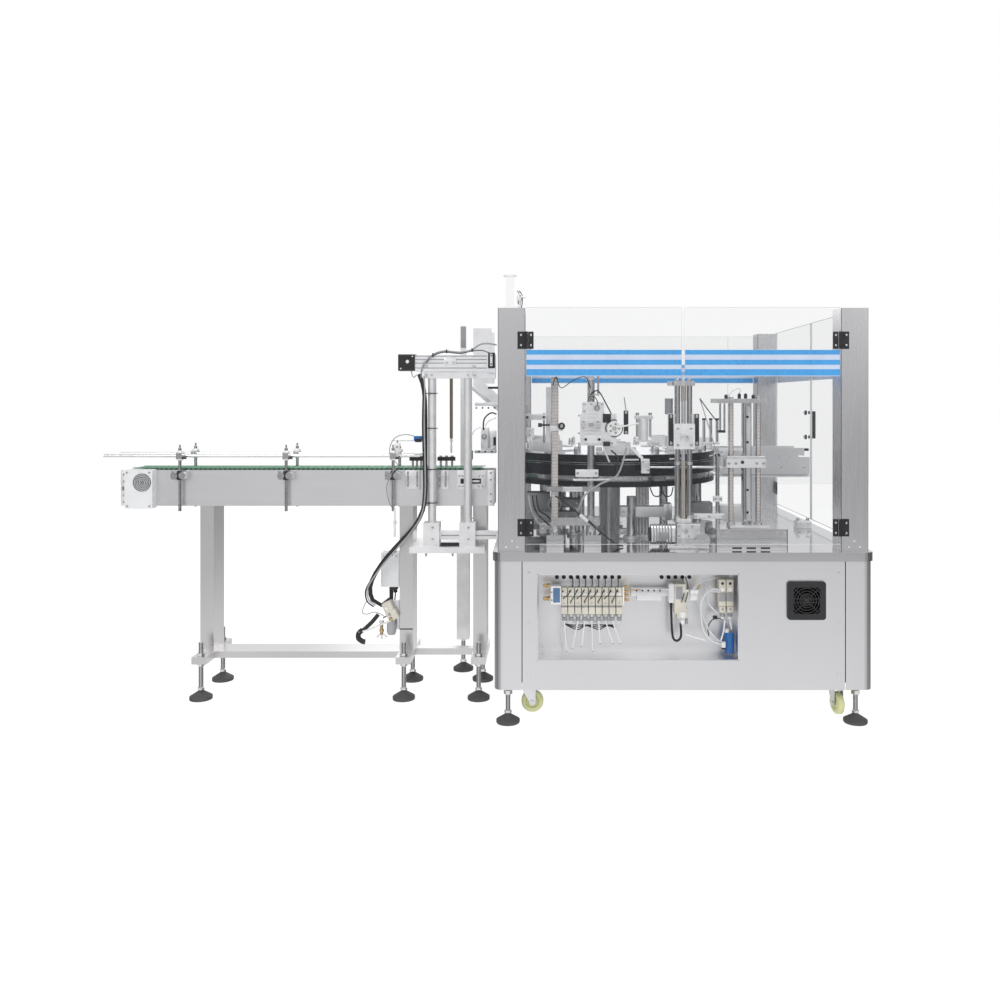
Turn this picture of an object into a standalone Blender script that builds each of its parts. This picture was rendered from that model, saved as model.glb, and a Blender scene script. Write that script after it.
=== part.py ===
"""Cartoning machine with its infeed conveyor and pick-and-place gantry. Metres, +Z up.

Places are worked out in the plan: X from the cabinet's left side, Y back from its front face,
Z up from the floor. The frame empty then moves the middle of the plan to the world origin.
"""

import math

import bmesh
import bpy
from mathutils import Matrix, Vector

# Fits
GAP = 0.0003
BITE = 0.002
BORE_CLEARANCE = 0.0004
DOOR_GAP = 0.002
DOOR_SEAT = 0.0008

# Roundness
COARSE = 12
MEDIUM = 16
FINE = 24
ROUNDEST = 64

# Cabinet
CABINET_WIDTH = 1.265
CABINET_DEPTH = 1.300
CABINET_BOTTOM = 0.123
CABINET_HEIGHT = 0.429
CABINET_CORNER = 0.030
FLOOR_RECESS = 0.022
SHEET = 0.003
CORNER_COLUMN = 0.092
PANEL_REVEAL = 0.003
WINDOW_LEFT = 0.148
WINDOW_TO_FAN = 0.2245
WINDOW_LIFT = 0.102
WINDOW_DROP = 0.042
BAY_DEPTH = 0.100
FAN_FROM_COLUMN = 0.1325
FAN_DROP = 0.1295
FAN_SIZE = 0.128
FAN_BORE = 0.116
FAN_HUB = 0.040
FAN_GUARD_THICKNESS = 0.008
FAN_CORNER = 0.010
FAN_ROTOR_DEPTH = 0.025
FAN_BLADES = 7
BLADE_THICKNESS = 0.002
BLADE_PITCH = 35.0
BLADE_CHORD = 0.020
FAN_RIB = 0.003
FAN_RIB_DEPTH = 0.004
FAN_RINGS = (0.026, 0.042)
FAN_BOSS = 0.032

# Table and guard
TABLE_THICKNESS = 0.030
TABLE_OVERHANG = 0.006
POST_WIDTH = 0.092
POST_INSET = 0.012
POST_HEIGHT = 0.816
POST_BEND = 0.002
PANE = 0.008
DOOR_BOTTOM_GAP = 0.025
DOOR_HEIGHT = 0.793
DOOR_MEETING_GAP = 0.008
PANE_HEIGHT = 0.808
INFEED_OPENING_START = 0.220
INFEED_OPENING_HEIGHT = 0.6177
HINGE_HEIGHT = 0.058
HINGE_LEAF = 0.030
HINGE_SHEET = 0.003
HINGE_BARREL = 0.005
HINGE_LOW_LIFT = 0.0557
HINGE_HIGH_LIFT = 0.6827
HANDLE_Y = 0.700
HANDLE_LIFT = 0.3497
HANDLE_LENGTH = 0.112
HANDLE_REACH = 0.028
HANDLE_BAR = 0.012
HANDLE_EDGE = 0.003
BEACON_X = 0.051
BEACON_Y = 0.058
BEACON_RADIUS = 0.015
BEACON_HEIGHT = 0.115
BEACON_FLANGE = 0.022
BEACON_FLANGE_HEIGHT = 0.010

# Feet and casters
FOOT_INSET = 0.045
FOOT_RADIUS = 0.040
FOOT_RIM = 0.0105
FOOT_CONE = 0.028
FOOT_NECK = 0.012
STUD_RADIUS = 0.008
NUT_RADIUS = 0.014
NUT_HEIGHT = 0.012
CASTER_INSET_X = 0.105
CASTER_INSET_Y = 0.082
CASTER_RADIUS = 0.0375
CASTER_WIDTH = 0.024
CASTER_TREAD = 0.006
CASTER_TRAIL = 0.022
CASTER_DROP = 0.0835
CASTER_TURNS = {"left": -90.0, "right": 188.8}
CASTER_PLATE = 0.060
CASTER_PLATE_THICKNESS = 0.004
CASTER_PLATE_CORNER = 0.006
CASTER_CHEEK = 0.003
CASTER_SIDE_GAP = 0.002
CASTER_CHEEK_WIDTH = 0.024
AXLE_RADIUS = 0.005

# Valves in the bay
VALVE_COUNT = 9
VALVE_PITCH = 0.0232
VALVE_WIDTH = 0.018
VALVE_LEFT = 0.2250
VALVE_DROP = 0.097
VALVE_HEIGHT = 0.130
VALVE_DEPTH = 0.030
MANIFOLD_HEIGHT = 0.040
MANIFOLD_DEPTH = 0.028

# Turret
TURRET_LEFT = 0.018
TURRET_FRONT = 0.190
TURRET_RADIUS = 0.410
TURRET_LIFT = 0.1977
LOWER_DISC_THICKNESS = 0.020
SILVER_BAND = 0.018
DRUM_HEIGHT = 0.044
SHADOW_LINE = 0.004
UPPER_DISC_THICKNESS = 0.028
BAND_STEP = 0.020
POCKETS = 8
POCKET_PLATE = 0.004
POCKET_LENGTH = 0.090
POCKET_WIDTH = 0.075
POCKET_HEIGHT = 0.045
POCKET_RIM_INSET = 0.006
COLUMN_RADIUS = 0.0425
COLUMN_FOOT_RADIUS = 0.054
COLUMN_FOOT_THICKNESS = 0.012
DRIVE_SIZE = 0.240
DRIVE_HEIGHT = 0.180
DRIVE_CORNER = 0.020
DRIVE_MOTOR_RADIUS = 0.060
DRIVE_MOTOR_LENGTH = 0.200

# Front pusher station
PUSHER_FROM_CENTRE = 0.2216
PUSHER_Y = 0.120
PUSHER_PITCH = 0.0418
PUSHER_COLUMN_RADIUS = 0.010
PUSHER_SCREW_RADIUS = 0.008
PUSHER_HEIGHT = 0.5737
PUSHER_CAP_THICKNESS = 0.017
PUSHER_CAP_WIDTH = 0.074
PUSHER_CAP_DEPTH = 0.040
PUSHER_BASE_OVERHANG = 0.034
PUSHER_BASE_WIDTH = 0.104
PUSHER_BASE_DEPTH = 0.100
PUSHER_BASE_HEIGHT = 0.087
PUSHER_MOTOR_RADIUS = 0.034
PUSHER_MOTOR_LENGTH = 0.080
PUSHER_MOTOR_LIFT = 0.042
BASE_EDGE = 0.004
PUSHER_CARRIAGE_WIDTH = 0.072
PUSHER_CARRIAGE_DEPTH = 0.050
PUSHER_CARRIAGE_LIFT = 0.3387
PUSHER_CARRIAGE_HEIGHT = 0.087
WING_WIDTH = 0.017
WING_DEPTH = 0.020
WING_LIFT = 0.009
WING_HEIGHT = 0.113
HANDWHEEL_FROM_PUSHER = 0.0564
HANDWHEEL_LIFT = 0.0297
HANDWHEEL_RADIUS = 0.026
HANDWHEEL_THICKNESS = 0.010
HANDWHEEL_STEM = 0.006
HANDWHEEL_KNOB_OUT = 0.0170

# Right press station
PRESS_FROM_CENTRE = 0.440
PRESS_Y = 0.150
PRESS_PITCH = 0.095
PRESS_COLUMN_RADIUS = 0.009
PRESS_ROD_RADIUS = 0.007
PRESS_BASE_OVERHANG = 0.1205
PRESS_BASE_WIDTH = 0.245
PRESS_BASE_FRONT = 0.045
PRESS_BASE_BACK = 0.235
PRESS_PILLAR = 0.030
PRESS_PILLAR_FROM_PRESS = 0.022
PRESS_BASE_HEIGHT = 0.070
PRESS_HEIGHT = 0.5122
PRESS_CAP_LEFT_REACH = 0.103
PRESS_CAP_RIGHT_REACH = 0.075
PRESS_CAP_DEPTH = 0.060
PRESS_CAP_THICKNESS = 0.015
PRESS_SIDE_POST_FROM_PRESS = 0.0945
PRESS_SIDE_POST_HEIGHT = 0.3117
PRESS_CARRIAGE_WIDTH = 0.136
PRESS_CARRIAGE_DEPTH = 0.056
PRESS_CARRIAGE_LIFT = 0.2727
PRESS_CARRIAGE_HEIGHT = 0.030

# Left flap-folding station
FOLDER_Y = 0.150
FOLDER_RULE_X = 0.204
FOLDER_MAST_X = 0.331
FOLDER_COLUMN_RADIUS = 0.013
FOLDER_RULE_HEIGHT = 0.5867
FOLDER_MAST_HEIGHT = 0.5777
FOLDER_BASE_WIDTH = 0.058
FOLDER_BASE_FRONT = 0.045
FOLDER_BASE_BACK = 0.185
LOWER_LINK_LIFT = 0.0717
LOWER_LINK_THICKNESS = 0.028
FOLDER_BASE_HEIGHT = 0.050
FOLDER_LINK_LIFT = 0.1897
FOLDER_LINK_THICKNESS = 0.017
FOLDER_LINK_REACH = 0.030
FOLDER_LINK_DEPTH = 0.050
HEAD_CLAMP_WIDTH = 0.062
HEAD_CLAMP_DEPTH = 0.050
HEAD_CLAMP_LIFT = 0.3797
HEAD_CLAMP_HEIGHT = 0.035
HEAD_PLATE_OVERHANG = 0.0385
HEAD_PLATE_WIDTH = 0.125
HEAD_PLATE_THICKNESS = 0.010
HEAD_PLATE_LIFT = 0.3502
HEAD_PLATE_HEIGHT = 0.110
FEED_WHEEL_FROM_MAST = 0.078
FEED_WHEEL_LIFT = 0.4097
FEED_WHEEL_RADIUS = 0.0255
FEED_WHEEL_THICKNESS = 0.012
FEED_WHEEL_HUB = 0.008

# Outfeed
OUTFEED_TURRET_GAP = 0.022
OUTFEED_DOOR_GAP = 0.031
OUTFEED_BEHIND_CENTRE = 0.030
OUTFEED_WIDTH = 0.160
OUTFEED_LIFT = 0.2027
OUTFEED_HEIGHT = 0.080
OUTFEED_RAIL_HEIGHT = 0.030
OUTFEED_RAIL_THICKNESS = 0.012
OUTFEED_RAIL_GAP = 0.006
OUTFEED_RAIL_SHORT = 0.021
OUTFEED_STEM_INSET = 0.040
OUTFEED_BEND = 0.012
OUTFEED_LEG = 0.030
OUTFEED_LEG_INSET = 0.140

# Carton magazine
MAGAZINE_START = -0.120
MAGAZINE_END = 0.030
MAGAZINE_BEHIND_CENTRE = 0.040
MAGAZINE_WIDTH = 0.220
MAGAZINE_LIFT = 0.4177
MAGAZINE_RISE = 0.130
MAGAZINE_SIDE_HEIGHT = 0.060
MAGAZINE_SHEET = 0.005
MAGAZINE_GUIDE_HEIGHT = 0.7977
MAGAZINE_GUIDE_WIDTH = 0.074
MAGAZINE_POST_X = 0.036
MAGAZINE_POST_BEHIND = 0.060
MAGAZINE_POST = 0.030
MAGAZINE_ARM_LAP = 0.025
INFEED_OPENING_MARGIN = 0.070

# Conveyor
CONVEYOR_START = -1.403
CONVEYOR_END = -0.017
CONVEYOR_FRONT = 0.340
CONVEYOR_DEPTH = 0.112
CHANNEL_HEIGHT = 0.133
BELT_ABOVE_CHANNEL = 0.006
BELT_LIFT = 0.2537
BELT_THICKNESS = 0.008
BELT_END_RADIUS = 0.060
BELT_END_INSET = 0.028
BELT_SIDE_GAP = 0.0005
DECK_THICKNESS = 0.004
DECK_INSET = 0.120
SHAFT_RADIUS = 0.0125
SHAFT_TAIL = 0.015
COVER_LEFT = -1.372
COVER_WIDTH = 0.102
COVER_DEPTH = 0.040
COVER_DROP = 0.145
COVER_HEIGHT = 0.143
COVER_CORNER = 0.004
RAIL_START = -1.463
RAIL_END = -0.293
RAIL_RADIUS = 0.006
RAIL_ABOVE_BELT = 0.048
RAIL_POSTS = (-1.177, -0.785, -0.3905)
RAIL_POST_RADIUS = 0.0055
RAIL_POST_DROP = 0.156
RAIL_POST_RISE = 0.069
RAIL_POST_OUT = 0.019
CROSS_BLOCK = 0.022
CLAMP_WIDTH = 0.058
CLAMP_HEIGHT = 0.030
CLAMP_DROP = 0.039
KNOB_RADIUS = 0.013
KNOB_REACH = 0.012
KNOB_PITCH = 0.030

# Conveyor stand
LEG_CENTRES = (-1.085, -0.345, -0.072)
LEG_TUBE = 0.050
LEG_FOOT_SPREAD = 0.112
FOOT_BAR_WIDTH = 0.054
FOOT_BAR_Z = 0.131
FOOT_BAR_HEIGHT = 0.026
FOOT_BAR_BEYOND_STUD = 0.022
FLOOR_BEAM_RELIEF = 0.001
SHORT_BEAM_Y = 0.385
SHORT_BEAM_DEPTH = 0.040
STAND_STUD_TOP = 0.207

# Gantry
GANTRY_Y = 0.290
GANTRY_PLATE_DROP = 0.0453
GANTRY_PLATE_THICKNESS = 0.022
GANTRY_PLATE_FRONT = 0.245
GANTRY_COLUMNS = (-0.2425, -0.1116)
GANTRY_COLUMN_RADIUS = 0.015
GANTRY_CLAMP_WIDTH = 0.058
GANTRY_CLAMP_DEPTH = 0.060
GANTRY_CLAMP_HEIGHT = 0.085
TIE_BAR_WIDTH = 0.030
TIE_BAR_HEIGHT = 0.030
TIE_BAR_END = 0.080
CROSS_BAR_LEFT = -0.272
CROSS_BAR_RIGHT = -0.010
CROSS_BAR_LIFT = 0.5867
CROSS_BAR_HEIGHT = 0.027
CROSS_BAR_DEPTH = 0.040
ACTUATOR_LEFT = -0.302
ACTUATOR_RIGHT = -0.039
ACTUATOR_HEIGHT = 0.056
ACTUATOR_DEPTH = 0.050
END_BLOCK_WIDTH = 0.029
END_BLOCK_LIP = 0.004
MOTOR_SIZE = 0.060
MOTOR_CORNER = 0.005
REAR_LEG_X = -0.160
REAR_LEG_Y = 0.640
REAR_LEG_BOTTOM = 0.128
REAR_UPRIGHT = 0.022
REAR_UPRIGHT_HEIGHT = 0.8057
CARRIAGE_WIDTH = 0.060
CARRIAGE_THICKNESS = 0.012
CARRIAGE_LIFT = 0.003
PICK_X = -0.186
PICK_Y = 0.420
PICK_RADIUS = 0.006
PICK_TIP_RADIUS = 0.0035
PICK_LIFT = 0.3597
PICK_TOP_LIFT = 0.6677
PICK_HOLDER = 0.036
PICK_HOLDER_HEIGHT = 0.020
PICK_COLLAR_RADIUS = 0.010
PICK_COLLAR_HEIGHT = 0.012
BOX_WIDTH = 0.068
BOX_DEPTH = 0.060
BOX_DROP = 0.140
BOX_HEIGHT = 0.125
BOX_CORNER = 0.004
BOX_FRONT = 0.336

# Cable bundle, held from the actuator to the control box: points chosen by hand
CABLE_RADIUS = 0.008
CABLE_SPACING = 0.034
CABLE_ROUTE = (
    (-0.290, 0.292, 1.184),
    (-0.277, 0.286, 1.150),
    (-0.2685, 0.286, 1.090),
    (-0.2665, 0.286, 0.980),
    (-0.2665, 0.286, 0.860),
    (-0.2665, 0.285, 0.760),
    (-0.275, 0.282, 0.690),
    (-0.305, 0.280, 0.630),
    (-0.350, 0.285, 0.580),
    (-0.405, 0.295, 0.520),
    (-0.452, 0.305, 0.455),
    (-0.474, 0.315, 0.400),
    (-0.468, 0.330, 0.350),
    (-0.438, 0.350, 0.326),
    (-0.4045, 0.366, 0.350),
    (-0.4045, 0.366, 0.3967),
)

# Worked out from the sizes above
CABINET_TOP = CABINET_BOTTOM + CABINET_HEIGHT
FLOOR_UNDER = CABINET_BOTTOM + FLOOR_RECESS
CASTER_AXLE_Z = FLOOR_UNDER - CASTER_DROP
WINDOW_BOTTOM = CABINET_BOTTOM + WINDOW_LIFT
WINDOW_HEIGHT = CABINET_TOP - WINDOW_DROP - WINDOW_BOTTOM
VALVE_TOP = CABINET_TOP - VALVE_DROP
FAN_Z = CABINET_TOP - FAN_DROP
WINDOW_WIDTH = CABINET_WIDTH - CORNER_COLUMN - FAN_FROM_COLUMN - WINDOW_TO_FAN - WINDOW_LEFT
FAN_X = CABINET_WIDTH - CORNER_COLUMN - FAN_FROM_COLUMN
TABLE_TOP = CABINET_TOP + GAP + TABLE_THICKNESS
ON_TABLE = TABLE_TOP + GAP
DOOR_BOTTOM = TABLE_TOP + DOOR_BOTTOM_GAP
HINGE_LOW_Z = DOOR_BOTTOM + HINGE_LOW_LIFT
HINGE_HIGH_Z = DOOR_BOTTOM + HINGE_HIGH_LIFT
HANDLE_LOW_Z = TABLE_TOP + HANDLE_LIFT
INFEED_OPENING_TOP = TABLE_TOP + INFEED_OPENING_HEIGHT
POST_FAR_X = CABINET_WIDTH - POST_INSET - POST_WIDTH
POST_FAR_Y = CABINET_DEPTH - POST_INSET - POST_WIDTH
GUARD_RIGHT = CABINET_WIDTH - POST_INSET
GUARD_BACK = CABINET_DEPTH - POST_INSET
POST_INNER = POST_INSET + POST_WIDTH
TURRET_X = TURRET_LEFT + TURRET_RADIUS
TURRET_Y = TURRET_FRONT + TURRET_RADIUS
TURRET_BOTTOM = TABLE_TOP + TURRET_LIFT
PUSHER_X = TURRET_X + PUSHER_FROM_CENTRE
PUSHER_BASE_LEFT = PUSHER_X - PUSHER_BASE_OVERHANG
PUSHER_TOP = TABLE_TOP + PUSHER_HEIGHT
PUSHER_CARRIAGE_Z = TABLE_TOP + PUSHER_CARRIAGE_LIFT
HANDWHEEL_X = PUSHER_X + HANDWHEEL_FROM_PUSHER
HANDWHEEL_Z = TABLE_TOP + HANDWHEEL_LIFT
PRESS_X = TURRET_X + PRESS_FROM_CENTRE
PRESS_BASE_LEFT = PRESS_X - PRESS_BASE_OVERHANG
PRESS_SIDE_POST_X = PRESS_X - PRESS_SIDE_POST_FROM_PRESS
PRESS_TOP = TABLE_TOP + PRESS_HEIGHT
PRESS_SIDE_POST_TOP = TABLE_TOP + PRESS_SIDE_POST_HEIGHT
PRESS_CARRIAGE_Z = TABLE_TOP + PRESS_CARRIAGE_LIFT
FOLDER_RULE_TOP = TABLE_TOP + FOLDER_RULE_HEIGHT
FOLDER_MAST_TOP = TABLE_TOP + FOLDER_MAST_HEIGHT
FOLDER_LINK_Z = TABLE_TOP + FOLDER_LINK_LIFT
HEAD_CLAMP_Z = TABLE_TOP + HEAD_CLAMP_LIFT
HEAD_PLATE_Z = TABLE_TOP + HEAD_PLATE_LIFT
HEAD_PLATE_LEFT = FOLDER_MAST_X - HEAD_PLATE_OVERHANG
FEED_WHEEL_X = FOLDER_MAST_X + FEED_WHEEL_FROM_MAST
FEED_WHEEL_Z = TABLE_TOP + FEED_WHEEL_LIFT
OUTFEED_BOTTOM = TABLE_TOP + OUTFEED_LIFT
OUTFEED_START = TURRET_X + TURRET_RADIUS + OUTFEED_TURRET_GAP
OUTFEED_END = GUARD_RIGHT - PANE - OUTFEED_DOOR_GAP
OUTFEED_Y = TURRET_Y + OUTFEED_BEHIND_CENTRE
OUTFEED_LEG_X = OUTFEED_START + OUTFEED_LEG_INSET
MAGAZINE_Y = TURRET_Y + MAGAZINE_BEHIND_CENTRE
MAGAZINE_SLOPE_LOW = TABLE_TOP + MAGAZINE_LIFT
MAGAZINE_SLOPE_HIGH = MAGAZINE_SLOPE_LOW + MAGAZINE_RISE
MAGAZINE_GUIDE_TOP = TABLE_TOP + MAGAZINE_GUIDE_HEIGHT
MAGAZINE_POST_Y = MAGAZINE_Y + MAGAZINE_WIDTH + MAGAZINE_POST_BEHIND
INFEED_OPENING_END = MAGAZINE_POST_Y + MAGAZINE_POST + INFEED_OPENING_MARGIN
DRUM_TOP = TURRET_BOTTOM + LOWER_DISC_THICKNESS + SILVER_BAND + DRUM_HEIGHT + SHADOW_LINE
BELT_TOP = TABLE_TOP + BELT_LIFT
CHANNEL_TOP = BELT_TOP - BELT_ABOVE_CHANNEL
CHANNEL_BOTTOM = CHANNEL_TOP - CHANNEL_HEIGHT
COVER_BOTTOM = BELT_TOP - COVER_DROP
RAIL_Z = BELT_TOP + RAIL_ABOVE_BELT
RAIL_POST_BOTTOM = BELT_TOP - RAIL_POST_DROP
RAIL_POST_TOP = BELT_TOP + RAIL_POST_RISE
CLAMP_Z = BELT_TOP - CLAMP_DROP
BELT_AXIS_Z = BELT_TOP - BELT_END_RADIUS
BELT_START = CONVEYOR_START + BELT_END_INSET
BELT_END = CONVEYOR_END - BELT_END_INSET
CONVEYOR_BACK = CONVEYOR_FRONT + CONVEYOR_DEPTH
CONVEYOR_MIDDLE = CONVEYOR_FRONT + CONVEYOR_DEPTH / 2
GANTRY_PLATE_Z = TABLE_TOP - GANTRY_PLATE_DROP
CROSS_BAR_Z = TABLE_TOP + CROSS_BAR_LIFT
REAR_UPRIGHT_TOP = TABLE_TOP + REAR_UPRIGHT_HEIGHT
PICK_BOTTOM = TABLE_TOP + PICK_LIFT
PICK_TOP = TABLE_TOP + PICK_TOP_LIFT
BOX_BOTTOM = GANTRY_PLATE_Z - BOX_DROP
ACTUATOR_Z = CROSS_BAR_Z + CROSS_BAR_HEIGHT
PLATE_TOP = GANTRY_PLATE_Z + GANTRY_PLATE_THICKNESS
FAN_GUARD_FRONT = -GAP - FAN_GUARD_THICKNESS
HANDLE_OUTER = GUARD_RIGHT + GAP + HANDLE_REACH
PLAN_MIDDLE_X = (RAIL_START + HANDLE_OUTER) / 2
PLAN_MIDDLE_Y = (FAN_GUARD_FRONT + CABINET_DEPTH + TABLE_OVERHANG) / 2

# Finishes: colour, roughness, metallic, transmission
FINISHES = {
    "stainless": ((0.62, 0.63, 0.64), 0.32, 1.0, 0.0),
    "aluminium": ((0.80, 0.81, 0.82), 0.40, 1.0, 0.0),
    "clear_acrylic": ((0.93, 0.95, 0.96), 0.05, 0.0, 0.9),
    "black_metal": ((0.02, 0.02, 0.022), 0.35, 0.0, 0.0),
    "black_rubber": ((0.04, 0.04, 0.04), 0.70, 0.0, 0.0),
    "black_plastic": ((0.025, 0.025, 0.028), 0.45, 0.0, 0.0),
    "white_plastic": ((0.82, 0.83, 0.84), 0.40, 0.0, 0.0),
    "pale_tyre": ((0.72, 0.74, 0.50), 0.50, 0.0, 0.0),
    "dark_belt": ((0.10, 0.13, 0.12), 0.55, 0.0, 0.0),
    "grey_casting": ((0.42, 0.43, 0.44), 0.50, 0.4, 0.0),
    "pale_paint": ((0.78, 0.79, 0.78), 0.45, 0.0, 0.0),
}


def clear_scene():
    for obj in list(bpy.data.objects):
        bpy.data.objects.remove(obj, do_unlink=True)


def make_material(name):
    colour, roughness, metallic, transmission = FINISHES[name]
    material = bpy.data.materials.new(name)
    material.use_nodes = True
    shader = material.node_tree.nodes["Principled BSDF"]
    shader.inputs["Base Color"].default_value = (*colour, 1.0)
    shader.inputs["Roughness"].default_value = roughness
    shader.inputs["Metallic"].default_value = metallic
    shader.inputs["Transmission Weight"].default_value = transmission
    material.diffuse_color = (*colour, 1.0)
    return material


def block(x, y, z, radius=0.0, along="Z", segments=4):
    """A box from its (low, high) pairs, with the four edges along one axis rounded."""
    bm = bmesh.new()
    bmesh.ops.create_cube(bm, size=1.0)
    size = Vector((x[1] - x[0], y[1] - y[0], z[1] - z[0]))
    middle = Vector(((x[0] + x[1]) / 2, (y[0] + y[1]) / 2, (z[0] + z[1]) / 2))
    bmesh.ops.scale(bm, vec=size, verts=bm.verts)
    if radius > 0:
        number = "XYZ".index(along)
        edges = [edge for edge in bm.edges if runs_along(edge, number)]
        bmesh.ops.bevel(
            bm, geom=edges, offset=radius, segments=segments, profile=0.5, affect="EDGES"
        )
    bmesh.ops.translate(bm, vec=middle, verts=bm.verts)
    return bm


def runs_along(edge, number):
    direction = edge.verts[1].co - edge.verts[0].co
    return abs(abs(direction[number]) - direction.length) < 1e-7


def centred(x, y, width, depth, z, **rounding):
    """A box centred on x and y in plan."""
    across = (x - width / 2, x + width / 2)
    along = (y - depth / 2, y + depth / 2)
    return block(across, along, z, **rounding)


def axis_turn(axis):
    turns = {
        "X": Matrix.Rotation(math.radians(90), 4, "Y"),
        "Y": Matrix.Rotation(math.radians(-90), 4, "X"),
        "Z": Matrix.Identity(4),
    }
    return turns[axis]


def turned(profile, at, axis="Z", sides=MEDIUM):
    """A closed turned solid: the profile is (radius, height) pairs, from the axis and back to it."""
    bm = bmesh.new()
    rings = []
    for radius, height in profile:
        if radius == 0:
            rings.append([bm.verts.new((0, 0, height))])
            continue
        ring = []
        for number in range(sides):
            angle = 2 * math.pi * number / sides
            ring.append(bm.verts.new((radius * math.cos(angle), radius * math.sin(angle), height)))
        rings.append(ring)
    for lower, upper in zip(rings, rings[1:]):
        for number in range(sides):
            following = (number + 1) % sides
            corners = [lower[number % len(lower)]]
            if len(lower) > 1:
                corners.append(lower[following])
            if len(upper) > 1:
                corners.append(upper[following])
            corners.append(upper[number % len(upper)])
            bm.faces.new(corners)
    bmesh.ops.recalc_face_normals(bm, faces=bm.faces)
    bm.transform(Matrix.Translation(at) @ axis_turn(axis))
    return bm


def rod(at, radius, length, axis="Z", sides=MEDIUM):
    """A cylinder that starts at a point and runs along an axis."""
    profile = [(0, 0), (radius, 0), (radius, length), (0, length)]
    return turned(profile, at, axis, sides)


def prism(outline, axis, start, end):
    """An outline of (across, up) points in the plane square to an axis, drawn out along it."""
    bm = bmesh.new()
    for_axis = {
        "X": lambda a, b, along: (along, a, b),
        "Y": lambda a, b, along: (a, along, b),
        "Z": lambda a, b, along: (a, b, along),
    }
    place = for_axis[axis]
    corners = [bm.verts.new(place(a, b, start)) for a, b in outline]
    face = bm.faces.new(corners)
    drawn = bmesh.ops.extrude_face_region(bm, geom=[face])
    moved = [item for item in drawn["geom"] if isinstance(item, bmesh.types.BMVert)]
    bmesh.ops.translate(bm, vec=Vector(place(0, 0, end - start)), verts=moved)
    bmesh.ops.recalc_face_normals(bm, faces=bm.faces)
    return bm


def racetrack(left, right, height, radius, sides):
    """The outline of a loop round two equal pulleys whose axes lie at one height."""
    points = []
    for number in range(sides + 1):
        angle = math.radians(-90 + 180 * number / sides)
        points.append((right + radius * math.cos(angle), height + radius * math.sin(angle)))
    for number in range(sides + 1):
        angle = math.radians(90 + 180 * number / sides)
        points.append((left + radius * math.cos(angle), height + radius * math.sin(angle)))
    return points


def helper(bm, name, collection):
    mesh = bpy.data.meshes.new(name)
    bm.to_mesh(mesh)
    bm.free()
    obj = bpy.data.objects.new(name, mesh)
    obj.hide_render = True
    obj.display_type = "WIRE"
    collection.objects.link(obj)
    return obj


def apply_boolean(obj, shapes, operation):
    """Joins the shapes to the object, or cuts them out of it, and keeps the result as its mesh."""
    tools = bpy.data.collections.new("tools")
    bpy.context.scene.collection.children.link(tools)
    for number, shape in enumerate(shapes):
        helper(shape, f"tool_{number}", tools)
    modifier = obj.modifiers.new(operation.lower(), "BOOLEAN")
    modifier.operation = operation
    modifier.solver = "EXACT"
    modifier.operand_type = "COLLECTION"
    modifier.collection = tools
    bpy.context.view_layer.update()
    graph = bpy.context.evaluated_depsgraph_get()
    before = obj.data
    after = bpy.data.meshes.new_from_object(obj.evaluated_get(graph))
    obj.modifiers.clear()
    obj.data = after
    bpy.data.meshes.remove(before)
    for tool in list(tools.objects):
        bpy.data.objects.remove(tool, do_unlink=True)
    bpy.data.collections.remove(tools)


def solid(name, finish, pieces, cuts=(), added=(), pivot=(0, 0, 0)):
    """One sub-part: its pieces in one body, less its cuts, with what is added last, on its pivot."""
    mesh = bpy.data.meshes.new(name)
    pieces[0].to_mesh(mesh)
    pieces[0].free()
    obj = bpy.data.objects.new(name, mesh)
    bpy.context.scene.collection.objects.link(obj)
    if len(pieces) > 1:
        apply_boolean(obj, pieces[1:], "UNION")
    if cuts:
        apply_boolean(obj, cuts, "DIFFERENCE")
    if added:
        apply_boolean(obj, added, "UNION")
    obj.data.transform(Matrix.Translation(-Vector(pivot)))
    obj.data.name = name
    obj.data.shade_smooth()
    obj.data.set_sharp_from_angle(angle=math.radians(35))
    finish_object(obj, finish, pivot)
    return obj


def finish_object(obj, finish, pivot):
    obj.data.materials.clear()
    obj.data.materials.append(materials[finish])
    obj.parent = frame
    obj.location = pivot


def pocket_pair(radius, angle, bottom):
    """The two side plates and the back plate of one carton pocket, at one angle on the disc."""
    middle = radius - POCKET_RIM_INSET - POCKET_LENGTH / 2
    outer = POCKET_WIDTH / 2
    tall = (bottom - BITE, bottom + POCKET_HEIGHT)
    reach = (middle - POCKET_LENGTH / 2, middle + POCKET_LENGTH / 2)
    plates = [
        block(reach, (-outer, -outer + POCKET_PLATE), tall),
        block(reach, (outer - POCKET_PLATE, outer), tall),
        block((reach[0] - BITE, reach[0] + POCKET_PLATE), (-outer, outer), tall),
    ]
    for plate in plates:
        turn = Matrix.Rotation(angle, 4, "Z")
        plate.transform(Matrix.Translation((TURRET_X, TURRET_Y, 0)) @ turn)
    return plates


def swivelled(x, y, degrees):
    """The turn of a caster about its upright axis, as a matrix."""
    about = Matrix.Rotation(math.radians(degrees), 4, "Z")
    return Matrix.Translation((x, y, 0)) @ about @ Matrix.Translation((-x, -y, 0))


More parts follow.
